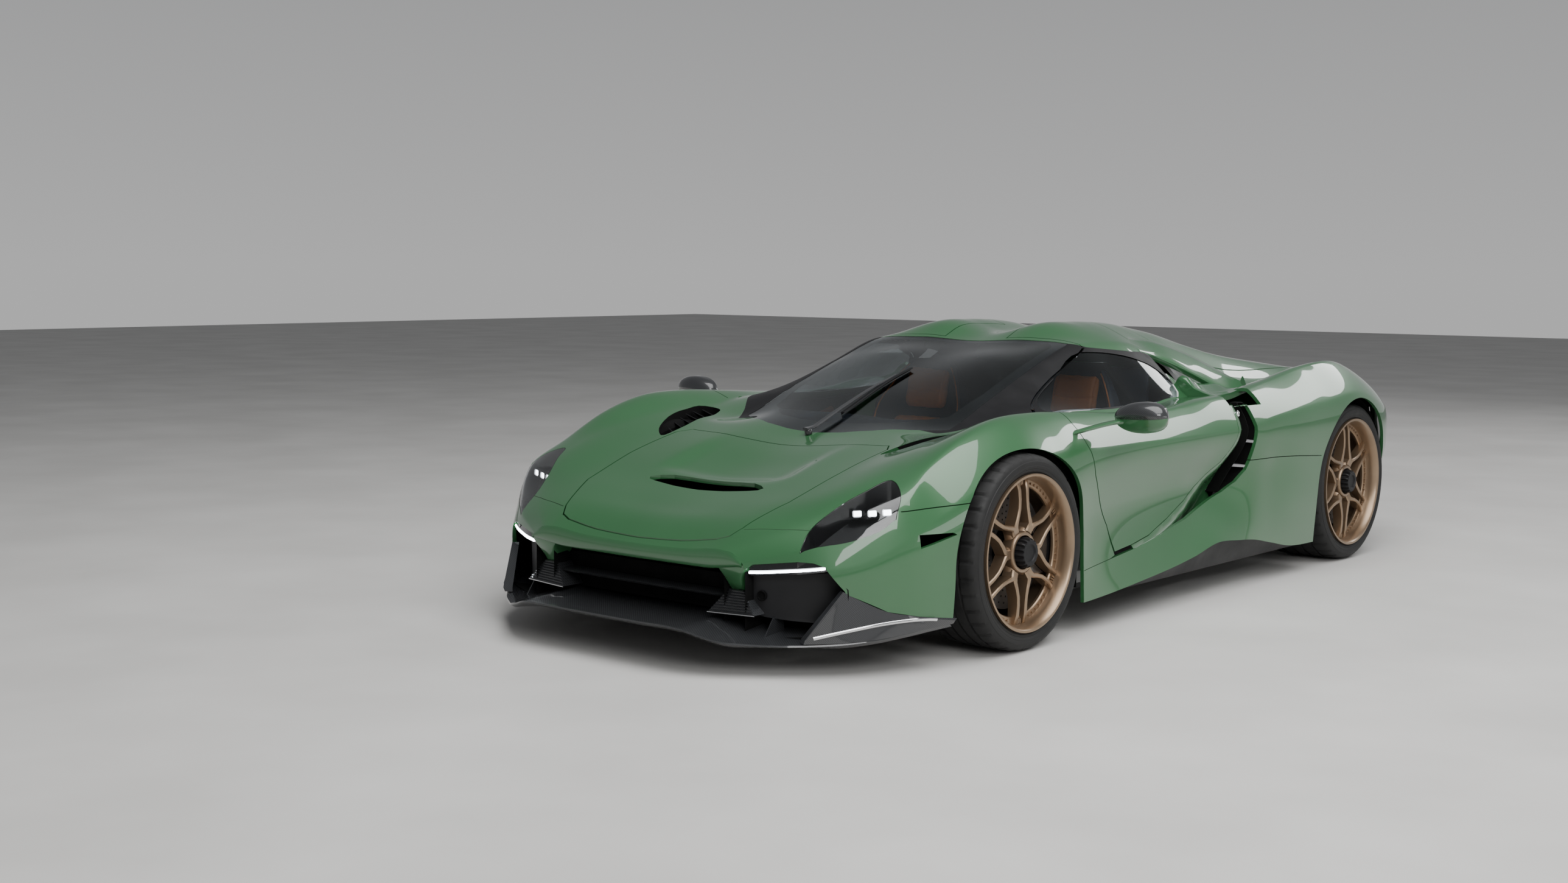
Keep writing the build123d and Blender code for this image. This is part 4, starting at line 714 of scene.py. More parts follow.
LAMP_OUTLINE = [(656, -800), (648, -745), (677, -650), (727, -556), (771, -480), (800, -490),
                (838, -520), (866, -556), (872, -585), (850, -622), (800, -678), (742, -732)]
LAMP_CORNERS = (0, 5, 8)     # the sharp ones of the outline
ENGINE_LID_HALF = [(0, 1775), (330, 1775), (400, 1860), (400, 3200), (0, 3200)]
REAR_WINDOW_HALF = [(0, 1830), (190, 1830), (230, 2240), (0, 2240)]
FENDER_VENT = [(524, -215), (560, -190), (628, -88), (686, 90), (700, 216), (690, 234), (640, 240),
               (610, 195), (560, 40), (523, -110)]
FRONT_EDGE = ([(-1000, 0), (392, 0), (392, 225), (600, 242), (632, 250)] + DOOR_FRONT_EDGE[::-1]
              + [(396, HIGH), (-1000, HIGH)])
COWL_EDGE = [(120, 738), (500, 738), (500, HIGH), (120, HIGH)]
ROOF_EDGE = [(120, 738), (396, 738), (470, 752), (1010, 945), (1545, 738), (1775, 738), (1775, HIGH),
             (120, HIGH)]
REAR_EDGE = ([(1545, 738), (1668, 742)] + BLADE_EDGE[-2:-4:-1]
             + [(y, z + SEAM_WIDTH) for y, z in SPLIT_LINE]
             + [(2262, 0), (3500, 0), (3500, HIGH), (1775, HIGH), (1775, 738)])
GRILLE_OPENING = [(-408, 60), (408, 60), (408, 322), (-408, 322)]
CORNER_OPENING = [(492, 60), (492, 328), (521, 349), (656, 364), (700, 362), (733, 350), (784, 274),
                  (792, 215), (792, 60)]
DUCT_MOUTH_HALF = [(0, -568), (120, -563), (218, -553), (256, -546), (268, -530), (240, -508),
                   (190, -487), (120, -479), (0, -477)]
INTAKE = [(1640, 742), (1638, 690), (1624, 600), (1598, 520), (1564, 452), (1518, 402), (1600, 436),
          (1645, 480), (1662, 560), (1672, 640), (1668, 742)]
SHOULDER_PEAK = [(1330, 758), (1430, 764), (1500, 790), (1540, 832), (1558, 858), (1600, 838),
                 (1669, 795), (1720, 776)]
GAP_TOP = [(1745, 800), (1700, 876), (1600, 921), (1480, 948)]
BLACK_ZONE = ([(170, 668), (300, 708), (431, 741), (700, 757), (980, 751)] + SHOULDER_PEAK + GAP_TOP
              + [(1400, 952), (1250, 965), (1120, 976), (1060, 992), (480, 992), (170, 800)])
BLACK_PLAN = [(0, 100), (400, 100), (486, 180), (560, 300), (660, 431), (741, 600), (760, 2000),
              (0, 2000)]


def both(half):
    """A closed outline from its half at positive x, given from front to back."""
    return half + [(-x, y) for x, y in reversed(half) if x > 0]


def black_cutter(side=1, low=400):
    """The bar that marks the black glasshouse on one side."""
    zone = side_cutter(BLACK_ZONE, side * low, side * BELT_OUT)
    return carve(zone, plan_cutter([(side * x, y) for x, y in BLACK_PLAN], UNDER_LID, HIGH), "INTERSECT")


def grown(outline, amount):
    """An outline moved outwards by amount, or inwards if it is negative."""
    n = len(outline)
    turn = 1 if sum(a[0] * b[1] - b[0] * a[1]
                    for a, b in zip(outline, outline[1:] + outline[:1])) > 0 else -1
    made = []
    for k in range(n):
        a, b, c = (np.array(outline[i % n], float) for i in (k - 1, k, k + 1))
        n0, n1 = (np.array((d[1], -d[0])) / max(np.linalg.norm(d), 1e-9) * turn for d in (b - a, c - b))
        share = 1 + n0.dot(n1)
        made.append(tuple(b + (n0 + n1) * amount / max(share, 0.4)))
    return made


def ribbon(line, width):
    """The outline of a thin band along an open line."""
    spots = [np.array(p, float) for p in line]
    sides = ([], [])
    for k, here in enumerate(spots):
        ahead = heading(spots, k)
        off = np.array((-ahead[1], ahead[0])) / np.linalg.norm(ahead) * width / 2
        sides[0].append(tuple(here + off))
        sides[1].append(tuple(here - off))
    return sides[0] + sides[1][::-1]


ARCHES = (
    # place, station and height of the wheel's centre, half length and height of the opening,
    # inner side of the tub
    ("front", 0, 335, 388, 350, 600),
    ("rear", 2630, 348, 376, 376, 560),
)


def cut_arches(thing):
    """Open both pairs of wheel arches."""
    for _, station, height, long, tall, _ in ARCHES:
        arc = [(station + long * math.cos(a), height + tall * math.sin(a))
               for a in np.linspace(0, math.pi, 61)]
        outline = arc + [(station - long, -50), (station + long, -50)]
        for side in (-1, 1):
            carve(thing, side_cutter(outline, side * 540, side * OUTSIDE))


def seam(thing, line, side, low=400):
    """A panel joint along a side line of (station, height)."""
    carve(thing, side_cutter(ribbon(smooth_line(line, 6, False), SEAM_WIDTH), side * low, side * OUTSIDE))


def front_panels(paint):
    """The nose's shell and the hood."""
    front = skin("body_front", NOSE, 660, SPINE, SILL, 0, PANEL, paint)
    carve(front, side_cutter(FRONT_EDGE, -OUTSIDE, OUTSIDE), "INTERSECT")
    carve(front, side_cutter(COWL_EDGE, -BELT_OUT, BELT_OUT))
    cut_arches(front)
    carve(front, plan_cutter(both(HOOD_HALF), UNDER_HOOD, HIGH))
    carve(front, plan_cutter(both(WINDSCREEN_HALF), UNDER_SCREEN, HIGH))
    carve(front, front_cutter(GRILLE_OPENING, -1000, -800))
    for side in (-1, 1):
        lamp = smooth_line([(side * x, y) for x, y in LAMP_OUTLINE], 5, True, LAMP_CORNERS)
        carve(front, plan_cutter(lamp, UNDER_HOOD, HIGH))
        carve(front, front_cutter([(side * x, z) for x, z in CORNER_OPENING], -1000, -700))
        carve(front, side_cutter([(-1000, 0), (-1000, 262), (-733, 270), (-624, 207), (-530, 186),
                                  (-369, 160), (-369, 0)], side * 480, side * OUTSIDE))
        carve(front, black_cutter(side, BLACK_IN))
        vent = smooth_line([(side * x, y) for x, y in FENDER_VENT], 4)
        carve(front, plan_cutter(vent, UNDER_LID, HIGH))
        seam(front, [(-566, 519), (-500, 523), (-429, 526), (-350, 530), (-268, 536)], side, 840)
        slit = [(-530, 446), (-400, 444), (-385, 436), (-528, 402)]
        carve(front, side_cutter(slit, side * 880, side * OUTSIDE))
        carve(front, plan_cutter(ribbon([(side * 425, -805), (side * 560, -772), (side * 648, -742)],
                                        2.4), 300, HIGH))
    finish_piece(polish(front), "body", "paint", "front_clamshell")

    hood = skin("hood_skin", -868, -95, SPINE, BELT, 0, PANEL, paint)
    carve(hood, plan_cutter(grown(both(HOOD_HALF), -LID_GAP), UNDER_HOOD, HIGH), "INTERSECT")
    carve(hood, plan_cutter(both(DUCT_MOUTH_HALF), 300, HIGH))
    finish_piece(polish(hood), "hood", "paint", "hood_lid")


def roof_panels(paint, black, matt):
    """The roof, and the black pillars with the gaps behind them."""
    roof = skin("roof_skin", 100, 1800, SPINE, CROWN, 0, PANEL, paint)
    carve(roof, side_cutter(ROOF_EDGE, -BELT_OUT, BELT_OUT), "INTERSECT")
    carve(roof, plan_cutter(both(WINDSCREEN_HALF), UNDER_SCREEN, HIGH))
    for side in (-1, 1):
        carve(roof, side_cutter(DOOR_EDGE, side * SPINE_HALF, side * OUTSIDE))
        carve(roof, black_cutter(side, BLACK_IN))
    carve(roof, plan_cutter(both(ENGINE_LID_HALF), UNDER_LID, HIGH))
    finish_piece(polish(roof), "body", "paint", "roof_frame")

    pillar = skin("pillar_black_left", 100, 1780, SPINE, CROWN, 0, GLASS_RECESS, black)
    carve(pillar, black_cutter(1, BLACK_IN), "INTERSECT")
    carve(pillar, plan_cutter(both(WINDSCREEN_HALF), UNDER_SCREEN, HIGH))
    carve(pillar, side_cutter(grown(DOOR_EDGE, 1.5), SPINE_HALF, OUTSIDE))
    carve(pillar, side_cutter(smooth_line(CLEAR_ZONE, 5), 400, OUTSIDE))
    carve(pillar, side_cutter([(1545, 700), (1545, 1000), (1900, 1000), (1900, 700)], 400, OUTSIDE))
    # A matt black sheet 42 to 45 mm under the surface is painted shade: it fills the air inlet behind the
    # pillars and under the buttresses, whose inside lies in shadow.
    gap = skin("buttress_gap_left", 1440, 1960, CREST, CROWN, 42, 45, matt, 1)
    carve(gap, side_cutter(grown(BLACK_ZONE, 60), 380, BELT_OUT + 40), "INTERSECT")
    carve(gap, side_cutter([(1400, 600), (1400, 1100), (1550, 1100), (1550, 600)], 300, OUTSIDE))
    panel_pair(gap, "body", "black_trim")
    panel_pair(polish(pillar), "body", "black_trim")


def rear_panels(paint):
    """The sills, the tail's shell and the engine lid."""
    sills = skin("body_sill_left", 380, 2280, SHOULDER, SILL, 0, PANEL, paint, 1)
    carve(sills, side_cutter(SILL_EDGE, 0, OUTSIDE), "INTERSECT")
    cut_arches(sills)
    panel_pair(polish(sills), "body", "paint", "side_sills")

    rear = skin("body_rear", 1500, TAIL, SPINE, SILL, 0, PANEL, paint)
    carve(rear, side_cutter(REAR_EDGE, -OUTSIDE, OUTSIDE), "INTERSECT")
    cut_arches(rear)
    carve(rear, plan_cutter(both(ENGINE_LID_HALF), UNDER_LID, HIGH))
    for side in (-1, 1):
        carve(rear, black_cutter(side))
    finish_piece(polish(rear), "body", "paint", "rear_clamshell")

    lid = skin("engine_lid_skin", 1775, 3200, SPINE, BELT, 0, PANEL, paint)
    carve(lid, plan_cutter(grown(both(ENGINE_LID_HALF), -LID_GAP), UNDER_LID, HIGH), "INTERSECT")
    carve(lid, plan_cutter(both(REAR_WINDOW_HALF), UNDER_LID, HIGH))
    finish_piece(polish(lid), "engine_lid", "paint", "engine_cover")


def door_panels(paint, black):
    """The doors' painted skins and the black bands round their windows."""
    left = skin("door_skin_left", 380, 1600, SPINE, SILL, 0, PANEL + 8, paint)
    keep_door(left)
    carve(left, black_cutter(1))
    panel_pair(polish(left), "door_SIDE", "paint", "door_SIDE")
    band = skin("door_black_left", 380, 1600, SPINE, CROWN, 0, GLASS_RECESS, black)
    keep_door(band)
    carve(band, black_cutter(1), "INTERSECT")
    carve(band, side_cutter(smooth_line(CLEAR_ZONE, 5), 400, OUTSIDE))
    panel_pair(polish(band), "door_SIDE", "black_trim")


def body_panels(looks):
    """The fixed shells, the lids and the doors, cut from one surface."""
    paint, black = looks["paint"], looks["black_trim"]
    front_panels(paint)
    roof_panels(paint, black, looks["matt_black"])
    rear_panels(paint)
    door_panels(paint, black)


def keep_door(thing):
    """Leave only the left door's part of a skin, a gap inside its opening."""
    carve(thing, side_cutter(grown(DOOR_FULL, -LID_GAP), SPINE_HALF + LID_GAP, OUTSIDE), "INTERSECT")
    carve(thing, side_cutter(grown(PILLAR_EDGE, LID_GAP), 0, BELT_OUT))


def panel_pair(left, body, slot_name, *nodes):
    """Finish a left panel and its mirror image; SIDE in body and nodes stands for the side's name."""
    right = polish(mirrored(left, left.name.replace("left", "right")))
    for made, side in ((right, "right"), (left, "left")):
        finish_piece(made, body.replace("SIDE", side), slot_name,
                     *[node.replace("SIDE", side) for node in nodes])


def glass_pieces(glass, trim):
    """The windscreen with a black border inside, the side windows and the rear window."""
    deep = GLASS_RECESS + 4.0
    screen = skin("windscreen_pane", 30, 1100, SPINE, BELT, 1.0, deep, glass)
    carve(screen, plan_cutter(grown(both(WINDSCREEN_HALF), -1.5), UNDER_SCREEN, HIGH), "INTERSECT")
    finish_piece(polish(screen), "body", "glass", "windscreen")
    border = skin("windscreen_border", 30, 1100, SPINE, BELT, deep + 0.3, deep + 2.3, trim)
    carve(border, plan_cutter(grown(both(WINDSCREEN_HALF), 12.0), UNDER_SCREEN, HIGH), "INTERSECT")
    clear = [(0, 150), (150, 160), (280, 200), (415, 330), (435, 520), (425, 1010), (400, 1040),
             (0, 1056)]
    carve(border, plan_cutter(both(clear), UNDER_LID, HIGH))
    finish_piece(polish(border), "body", "black_trim")
    pane = skin("door_pane_left", 470, 1600, CREST, CROWN, GLASS_RECESS, deep, glass, 1)
    carve(pane, side_cutter(grown(smooth_line(CLEAR_ZONE, 5), 10.0), 400, OUTSIDE), "INTERSECT")
    carve(pane, side_cutter(grown(DOOR_EDGE, -LID_GAP), 300, OUTSIDE), "INTERSECT")
    panel_pair(polish(pane), "door_SIDE", "glass", "door_glass_SIDE")
    back = skin("rear_pane", 1800, 2260, SPINE, CREST, GLASS_RECESS, deep, glass)
    carve(back, plan_cutter(grown(both(REAR_WINDOW_HALF), -1.0), UNDER_LID, HIGH), "INTERSECT")
    finish_piece(polish(back), "engine_lid", "glass", "rear_window")


# ---------------------------------------------------------------- shared shapes

def spot(x, y, z):
    """A point in metres from (distance left, station, height) in millimetres."""
    return Vector((x * MM, place(y), z * MM))


def loft(name, rings, material, closed=True, caps=True, angle=32.0):
    """A skin through rings of (x, station, height) points."""
    n = len(rings[0])
    faces = grid_faces(len(rings), n, False, closed)
    if caps:
        faces += [tuple(range(n)), tuple(range(n * (len(rings) - 1), n * len(rings)))]
    return solid(name, [spot(*point) for ring in rings for point in ring], faces, material, angle)


def tube(name, path, radius, material, sides=12, flat=1.0):
    """A round bar along a path of (x, station, height) points."""
    spots = [np.array(point, float) for point in path]
    rings, up = [], np.array((0.0, 0.0, 1.0))
    for k, here in enumerate(spots):
        ahead = heading(spots, k)
        ahead /= np.linalg.norm(ahead)
        across = np.cross(ahead, up)
        if np.linalg.norm(across) < 0.05:
            across = np.cross(ahead, (1.0, 0.0, 0.0))
        across /= np.linalg.norm(across)
        over = np.cross(across, ahead)
        size = radius[k] if hasattr(radius, "__len__") else radius
        rings.append([here + across * size * math.cos(a) + over * size * flat * math.sin(a)
                      for a in turns(sides)])
    return loft(name, rings, material, angle=50.0)


def turned(name, centre, direction, profile, material, sides=32):
    """(distance along, radius) points turned about a direction from centre."""
    axis = Vector(direction).normalized()
    first = axis.orthogonal().normalized()
    second = axis.cross(first)
    base = Vector(centre)
    rings = []
    for along, radius in profile:
        rings.append([base + axis * along + (first * math.cos(a) + second * math.sin(a)) * radius
                      for a in turns(sides)])
    return loft(name, rings, material, angle=40.0)


def box(name, low, high, material, bevel=0.0):
    """A box between two corners, with rounded edges where bevel is given in millimetres."""
    (x0, y0, z0), (x1, y1, z1) = low, high
    ring = [(x0, y0), (x1, y0), (x1, y1), (x0, y1)]
    thing = loft(name, [[(x, y, z) for x, y in ring] for z in (z0, z1)], material)
    return round_edges(thing, bevel * MM, 3) if bevel else thing


def side_spot(y, z, depth=0.0):
    """The place on the left flank at a station and height, depth under the surface."""
    hit = surface_tree()["tree"].ray_cast(Vector((2.0, place(y), z * MM)), Vector((-1.0, 0.0, 0.0)))[0]
    if hit is None:
        raise RuntimeError(f"the flank has no point at station {y} and height {z}")
    return (hit.x / MM - depth, y, z)


def top_spot(x, y, depth=0.0):
    """The place on the upper surface at a distance out and a station, depth under it."""
    hit = surface_tree()["tree"].ray_cast(Vector((x * MM, place(y), 2.0)), Vector((0.0, 0.0, -1.0)))[0]
    if hit is None:
        raise RuntimeError(f"the body has no top at {x}, {y}")
    return (x, y, hit.z / MM - depth)


def both_sides(thing, label, slot_name, body="body", nodes=()):
    """Finish a left piece and its mirror image; body may end with the side's name."""
    other = mirrored(thing, f"{label}_right")
    crease(other, 32.0)
    thing.name = f"{label}_left"
    for made, side in ((thing, "left"), (other, "right")):
        finish_piece(made, body.replace("SIDE", side), slot_name,
                     *[node.replace("SIDE", side) for node in nodes])


# ---------------------------------------------------------------- nose

LIP_LOW = ((0, 317), (340, 319), (400, 326), (470, 336))


def nose_edge(looks):
    """The painted lip under the nose, with its struts and ribbed blades."""
    paint, carbon = looks["paint"], looks["carbon"]
    edge = half_sections(np.array([NOSE]))[0]
    rings = []
    for x in np.linspace(-488, 488, 62):
        top = float(np.interp(abs(x), edge[:, 0], edge[:, 1]))
        low = float(np.interp(abs(x), *zip(*LIP_LOW)))
        middle = (top + low) / 2
        rings.append([(x, y, z)
                      for y, z in ((-885, top), (-889, top - 6), (-892, middle), (-890, low + 6),
                                   (-885, low + 1), (-872, low - 2), (-832, low + 8), (-832, low + 14),
                                   (-868, low + 5), (-878, low + 9), (-881, middle), (-876, top - 12))])
    finish_piece(loft("nose_lip", rings, paint, angle=50.0), "body", "paint")

    levels = ((344, 366, 506, -884), (330, 378, 498, -885), (314, 391, 486, -882),
              (298, 399, 476, -874), (278, 403, 469, -862), (258, 405, 466, -850))
    rings = [[(x0, -790, z), (x0, y + 9, z), (x0 + 3, y + 3, z), (x0 + 10, y, z), (x1 - 10, y, z),
              (x1 - 3, y + 3, z), (x1, y + 9, z), (x1, -790, z)] for z, x0, x1, y in levels]
    both_sides(loft("strut", rings, paint, angle=60.0), "nose_strut", "paint")

    rings = []
    ribs = 9
    for k in range(ribs * 3 + 1):
        t = k / (ribs * 3)
        proud = 6.0 if k % 3 == 1 else 0.0
        z = 257 - 78 * t
        rings.append([(x, y, z + rise) for x, y, rise in (
                        (405 - 62 * t, -790, 0), (405 - 62 * t, -850 - 34 * t - proud, 0),
                        (466 + 64 * t, -850 - 20 * t - proud, 6 * t), (466 + 64 * t, -790, 6 * t))])
    both_sides(loft("blade", rings, carbon, angle=20.0), "nose_blade", "carbon")
    both_sides(tube("edge", [(341, -886, 178), (436, -880, 181), (532, -872, 184)], 2.6,
                    looks["chrome"]), "nose_blade_edge", "steel")


def corner_intakes(looks):
    """The lit bars, panels, tow covers and ducts of the outer intakes."""
    black, matt = looks["gloss_black"], looks["matt_black"]
    path = smooth_line([(508, -869, 322), (560, -852, 326), (620, -824, 332), (680, -792, 338),
                        (726, -762, 344)], 4, False)
    lit = [[(x, y - 3, z - 4), (x, y - 5, z), (x, y - 3, z + 4), (x - 4, y + 14, z + 4),
            (x - 4, y + 14, z - 4)] for x, y, z in path]
    both_sides(loft("bar", lit, looks["lamp_white"], angle=60.0), "daylight_bar", "lamp_glass")
    housing = [[(x, y - 1, z + 7), (x - 4, y + 6, z + 34), (x - 30, y + 60, z + 34),
                (x - 30, y + 60, z - 14), (x - 4, y + 10, z - 12)] for x, y, z in path]
    both_sides(loft("housing", housing, black, angle=30.0), "daylight_bar_housing", "black_trim")

    inner = [[(x, y, low), (x + 4, y + 6, low + 12), (x, y, high - 8),
              (x, y + 40, high), (x, y + 60, high), (x, y + 60, low)] for x, y, low, high in (
                (470, -838, 184, 316), (540, -822, 176, 320), (610, -786, 168, 324),
                (670, -738, 162, 328), (722, -684, 158, 330), (768, -622, 156, 330))]
    panel = loft("panel", inner, looks["black_trim"], angle=50.0)
    both_sides(panel, "corner_intake_panel", "black_trim")
    tow = turned("tow", (524, -828, 244), (0.25, -1.0, 0.0),
                 [(-6, 17), (3, 17), (4, 15), (2, 13), (-2, 12), (-2, 0.5)], matt, 28)
    both_sides(tow, "tow_eye_cover", "black_trim")
    shell = [[(492, y, 118), (492, y, 350), (736, y, 366), (820, y, 290), (828, y, 118)]
             for y in (-700, -640, -560)]
    shell[0] = [(492, -872, 118), (492, -872, 340), (742, -750, 352), (790, -725, 280), (800, -720, 118)]
    both_sides(loft("duct", shell, matt, True, False), "corner_intake_duct", "black_trim")
    both_sides(box("core", (492, -566, 118), (826, -556, 360), matt), "corner_intake_core", "black_trim")


def grille(looks):
    """The middle grille, with the carbon spar across it."""
    carbon, matt = looks["carbon"], looks["matt_black"]
    throat = [[(-x1, y, z0), (-x0, y, z1), (x0, y, z1), (x1, y, z0)] for y, x0, x1, z0, z1 in (
        (-872, 402, 402, 130, 320), (-800, 400, 410, 128, 318), (-640, 380, 400, 140, 318))]
    throat = loft("grille_throat", throat, matt, True, False)
    finish_piece(throat, "body", "black_trim")
    bars = []
    for k in range(15):
        z = 146 + 12 * k
        bars.append(loft("slat", [[(x, -668, z), (x, -660, z + 4), (x, -640, z + 4), (x, -640, z)]
                                  for x in (-392, 392)], matt))
    for k in range(27):
        x = -390 + 30 * k
        bars.append(box("post", (x - 1.5, -662, 140), (x + 1.5, -642, 322), matt))
    bars.append(box("backing", (-400, -640, 120), (400, -630, 330), matt))
    finish_piece(join("grille_mesh", bars), "body", "black_trim", "nose_grilles")
    spar = [[(x, y - bow, z)
             for y, z in ((-842, 236), (-848, 232), (-842, 226), (-790, 222), (-790, 240))]
            for x in np.linspace(-404, 404, 24) for bow in (14 * math.cos(math.pi * x / 900),)]
    finish_piece(loft("grille_spar", spar, carbon, angle=40.0), "body", "carbon")


SPLITTER_EDGE = ((0, -1050, 150), (180, -1049, 150), (345, -1046, 150), (372, -1042, 147),
                 (430, -1020, 131), (488, -995, 117), (560, -944, 110), (640, -885, 107),
                 (720, -814, 108), (790, -750, 113), (850, -672, 122), (895, -586, 134),
                 (925, -500, 144), (946, -392, 150))


def splitter(looks):
    """Carbon splitter with its raised middle, swept outer corners and side fences."""
    carbon = looks["carbon"]
    line = smooth_line(SPLITTER_EDGE, 4, False)
    rings = []
    for x, y, z in [(-a, b, c) for a, b, c in reversed(line[1:])] + line:
        out = abs(x)
        back = -700 if out < 640 else min(-420, y + 330 - out * 0.2)
        mid = y + 0.5 * (back - y)
        lift = float(np.interp(out, (0, 330, 380, 480, 620, 950), (14, 14, 30, 48, 26, 4)))
        inner = 1 - 0.004 * max(out - 700, 0) / 10
        rings.append([(x, y, z - 5), (x * 0.998, y + 1, z), (x * 0.99, y + 14, z + 2),
                      (x * inner * 0.97, mid, z + lift * 0.5), (x * inner * 0.94, back, z + lift),
                      (x * inner * 0.94, back, 97), (x * inner * 0.98, mid, 96),
                      (x * 0.995, y + 18, max(z - 16, 96))])
    finish_piece(loft("splitter_blade", rings, carbon, angle=35.0), "body", "carbon", "splitter")
    upper = smooth_line([(780, -734, 274), (824, -684, 240), (870, -626, 208), (921, -532, 187),
                         (960, -371, 163)], 5, False)
    ridge = smooth_line([(712, -838, 126), (800, -738, 152), (878, -622, 172), (932, -516, 176),
                         (963, -384, 158)], 5, False)
    lower = smooth_line([(705, -836, 112), (796, -748, 115), (872, -640, 124), (928, -520, 140),
                         (955, -385, 146)], 5, False)
    rings = [[u, r, l, (l[0] - 26, l[1] + 14, l[2]), (r[0] - 30, r[1] + 18, r[2]),
              (u[0] - 22, u[1] + 14, u[2])] for u, r, l in zip(upper, ridge, lower)]
    both_sides(loft("fence", rings, carbon, angle=25.0), "splitter_fence", "carbon")
    bright = [(x + 1.5, y - 1.0, z) for x, y, z in ridge[1:-3]]
    both_sides(tube("line", bright, 2.4, looks["chrome"], 8, 2.2), "splitter_fence_edge", "steel")
    dive = [[(560, y0, z), (564, y0, z), (564, y1, z), (560, y1, z)]
            for z, y0, y1 in ((112, -862, -760), (178, -815, -770))]
    both_sides(loft("strake", dive, carbon), "splitter_strake", "carbon")


def nose(looks):
    """Front lip, struts, lit bars, intakes, grille and splitter."""
    nose_edge(looks)
    corner_intakes(looks)
    grille(looks)
    splitter(looks)


# ---------------------------------------------------------------- lamps and mirrors

LAMP_BLOCKS = ((728, -598, 502), (776, -582, 506), (824, -568, 512))
LAMP_START, LAMP_END = -830, -440
LAMP_YAW = 0.25          # how far the projectors look outwards, in radians


def lamp_block(name, centre, chamfer, levels, material):
    """A chamfered block that looks ahead, from levels of (half width, half height, how far ahead)."""
    flat, steep = chamfer
    across = np.array((math.cos(LAMP_YAW), math.sin(LAMP_YAW), 0.12))
    ahead = np.array((math.sin(LAMP_YAW), -math.cos(LAMP_YAW), 0.05))
    rise = np.array((-0.1, 0.0, 1.0))
    ring = ((-1, -steep), (-flat, -1), (flat, -1), (1, -steep), (1, steep), (flat, 1), (-flat, 1),
            (-1, steep))
    return loft(name, [[tuple(np.array(centre) + across * u * wide + rise * v * tall + ahead * out)
                        for u, v in ring] for wide, tall, out in levels], material)


def lamps(looks):
    """Headlamps with a dark bowl, three projectors and a clear cover."""
    outline = smooth_line(LAMP_OUTLINE, 5, True, LAMP_CORNERS)
    bowl = skin("bowl", LAMP_START, LAMP_END, CANT, SHOULDER, 62, 66, looks["black_trim"], 1)
    carve(bowl, plan_cutter(grown(outline, 34), UNDER_HOOD, HIGH), "INTERSECT")
    crease(bowl)
    wall = skin("wall", LAMP_START, LAMP_END, CANT, SHOULDER, 2.5, 64, looks["gloss_black"], 1)
    carve(wall, plan_cutter(grown(outline, 4), UNDER_HOOD, HIGH), "INTERSECT")
    carve(wall, plan_cutter(grown(outline, -0.5), 150, HIGH + 10))
    crease(wall)
    both_sides(join("lamp_bowl", [bowl, wall]), "headlamp_bowl", "black_trim")
    for k, centre in enumerate(LAMP_BLOCKS):
        cup = lamp_block("cup", centre, (0.75, 0.6),
                         ((15, 11, -26), (18, 13, 0), (18, 13, 5), (15.5, 10.5, 5),
                          (14.5, 9.5, -3)), looks["gloss_black"])
        both_sides(cup, f"headlamp_cup_{k + 1}", "black_trim")
        lens = lamp_block("lens", centre, (0.8, 0.7), ((13.5, 8.5, -2.5), (13.5, 8.5, 1.0),
                                                       (10, 6, 3.0), (2, 1.5, 3.4)), looks["lamp_white"])
        both_sides(lens, f"headlamp_lens_{k + 1}", "lamp_glass")
    ledge = [[(x - 6, y - 2, z - 22), (x + 2, y - 12, z - 17), (x + 2, y + 30, z - 15),
              (x - 6, y + 30, z - 22)] for x, y, z in ((700, -612, 500), *LAMP_BLOCKS, (856, -560, 512))]
    both_sides(loft("ledge", ledge, looks["gloss_black"]), "headlamp_ledge", "black_trim")
    cover = skin("cover", LAMP_START, LAMP_END, CANT, SHOULDER, 0.6, 3.4, looks["lamp_glass"], 1)
    carve(cover, plan_cutter(grown(outline, -1.5), UNDER_HOOD, HIGH), "INTERSECT")
    cover.name = "headlamp_cover_left"
    finish_piece(polish(mirrored(polish(cover), "headlamp_cover_right")), "body", "lamp_glass")
    finish_piece(cover, "body", "lamp_glass", "headlamps")


MIRROR_BODY = "door_SIDE"
MIRROR_AT = 577.0        # the station of the mirror's widest ring
MIRROR_ROOT, MIRROR_SPAN = 972.0, 208.0
MIRROR_STALK = [(902, 330, 702), (932, 385, 715), (962, 430, 728), (1000, 528, 744), (1040, 574, 750)]
SHELL_FOOT = -0.06       # the carbon shell ends and the painted bowl starts here, in quarter turns


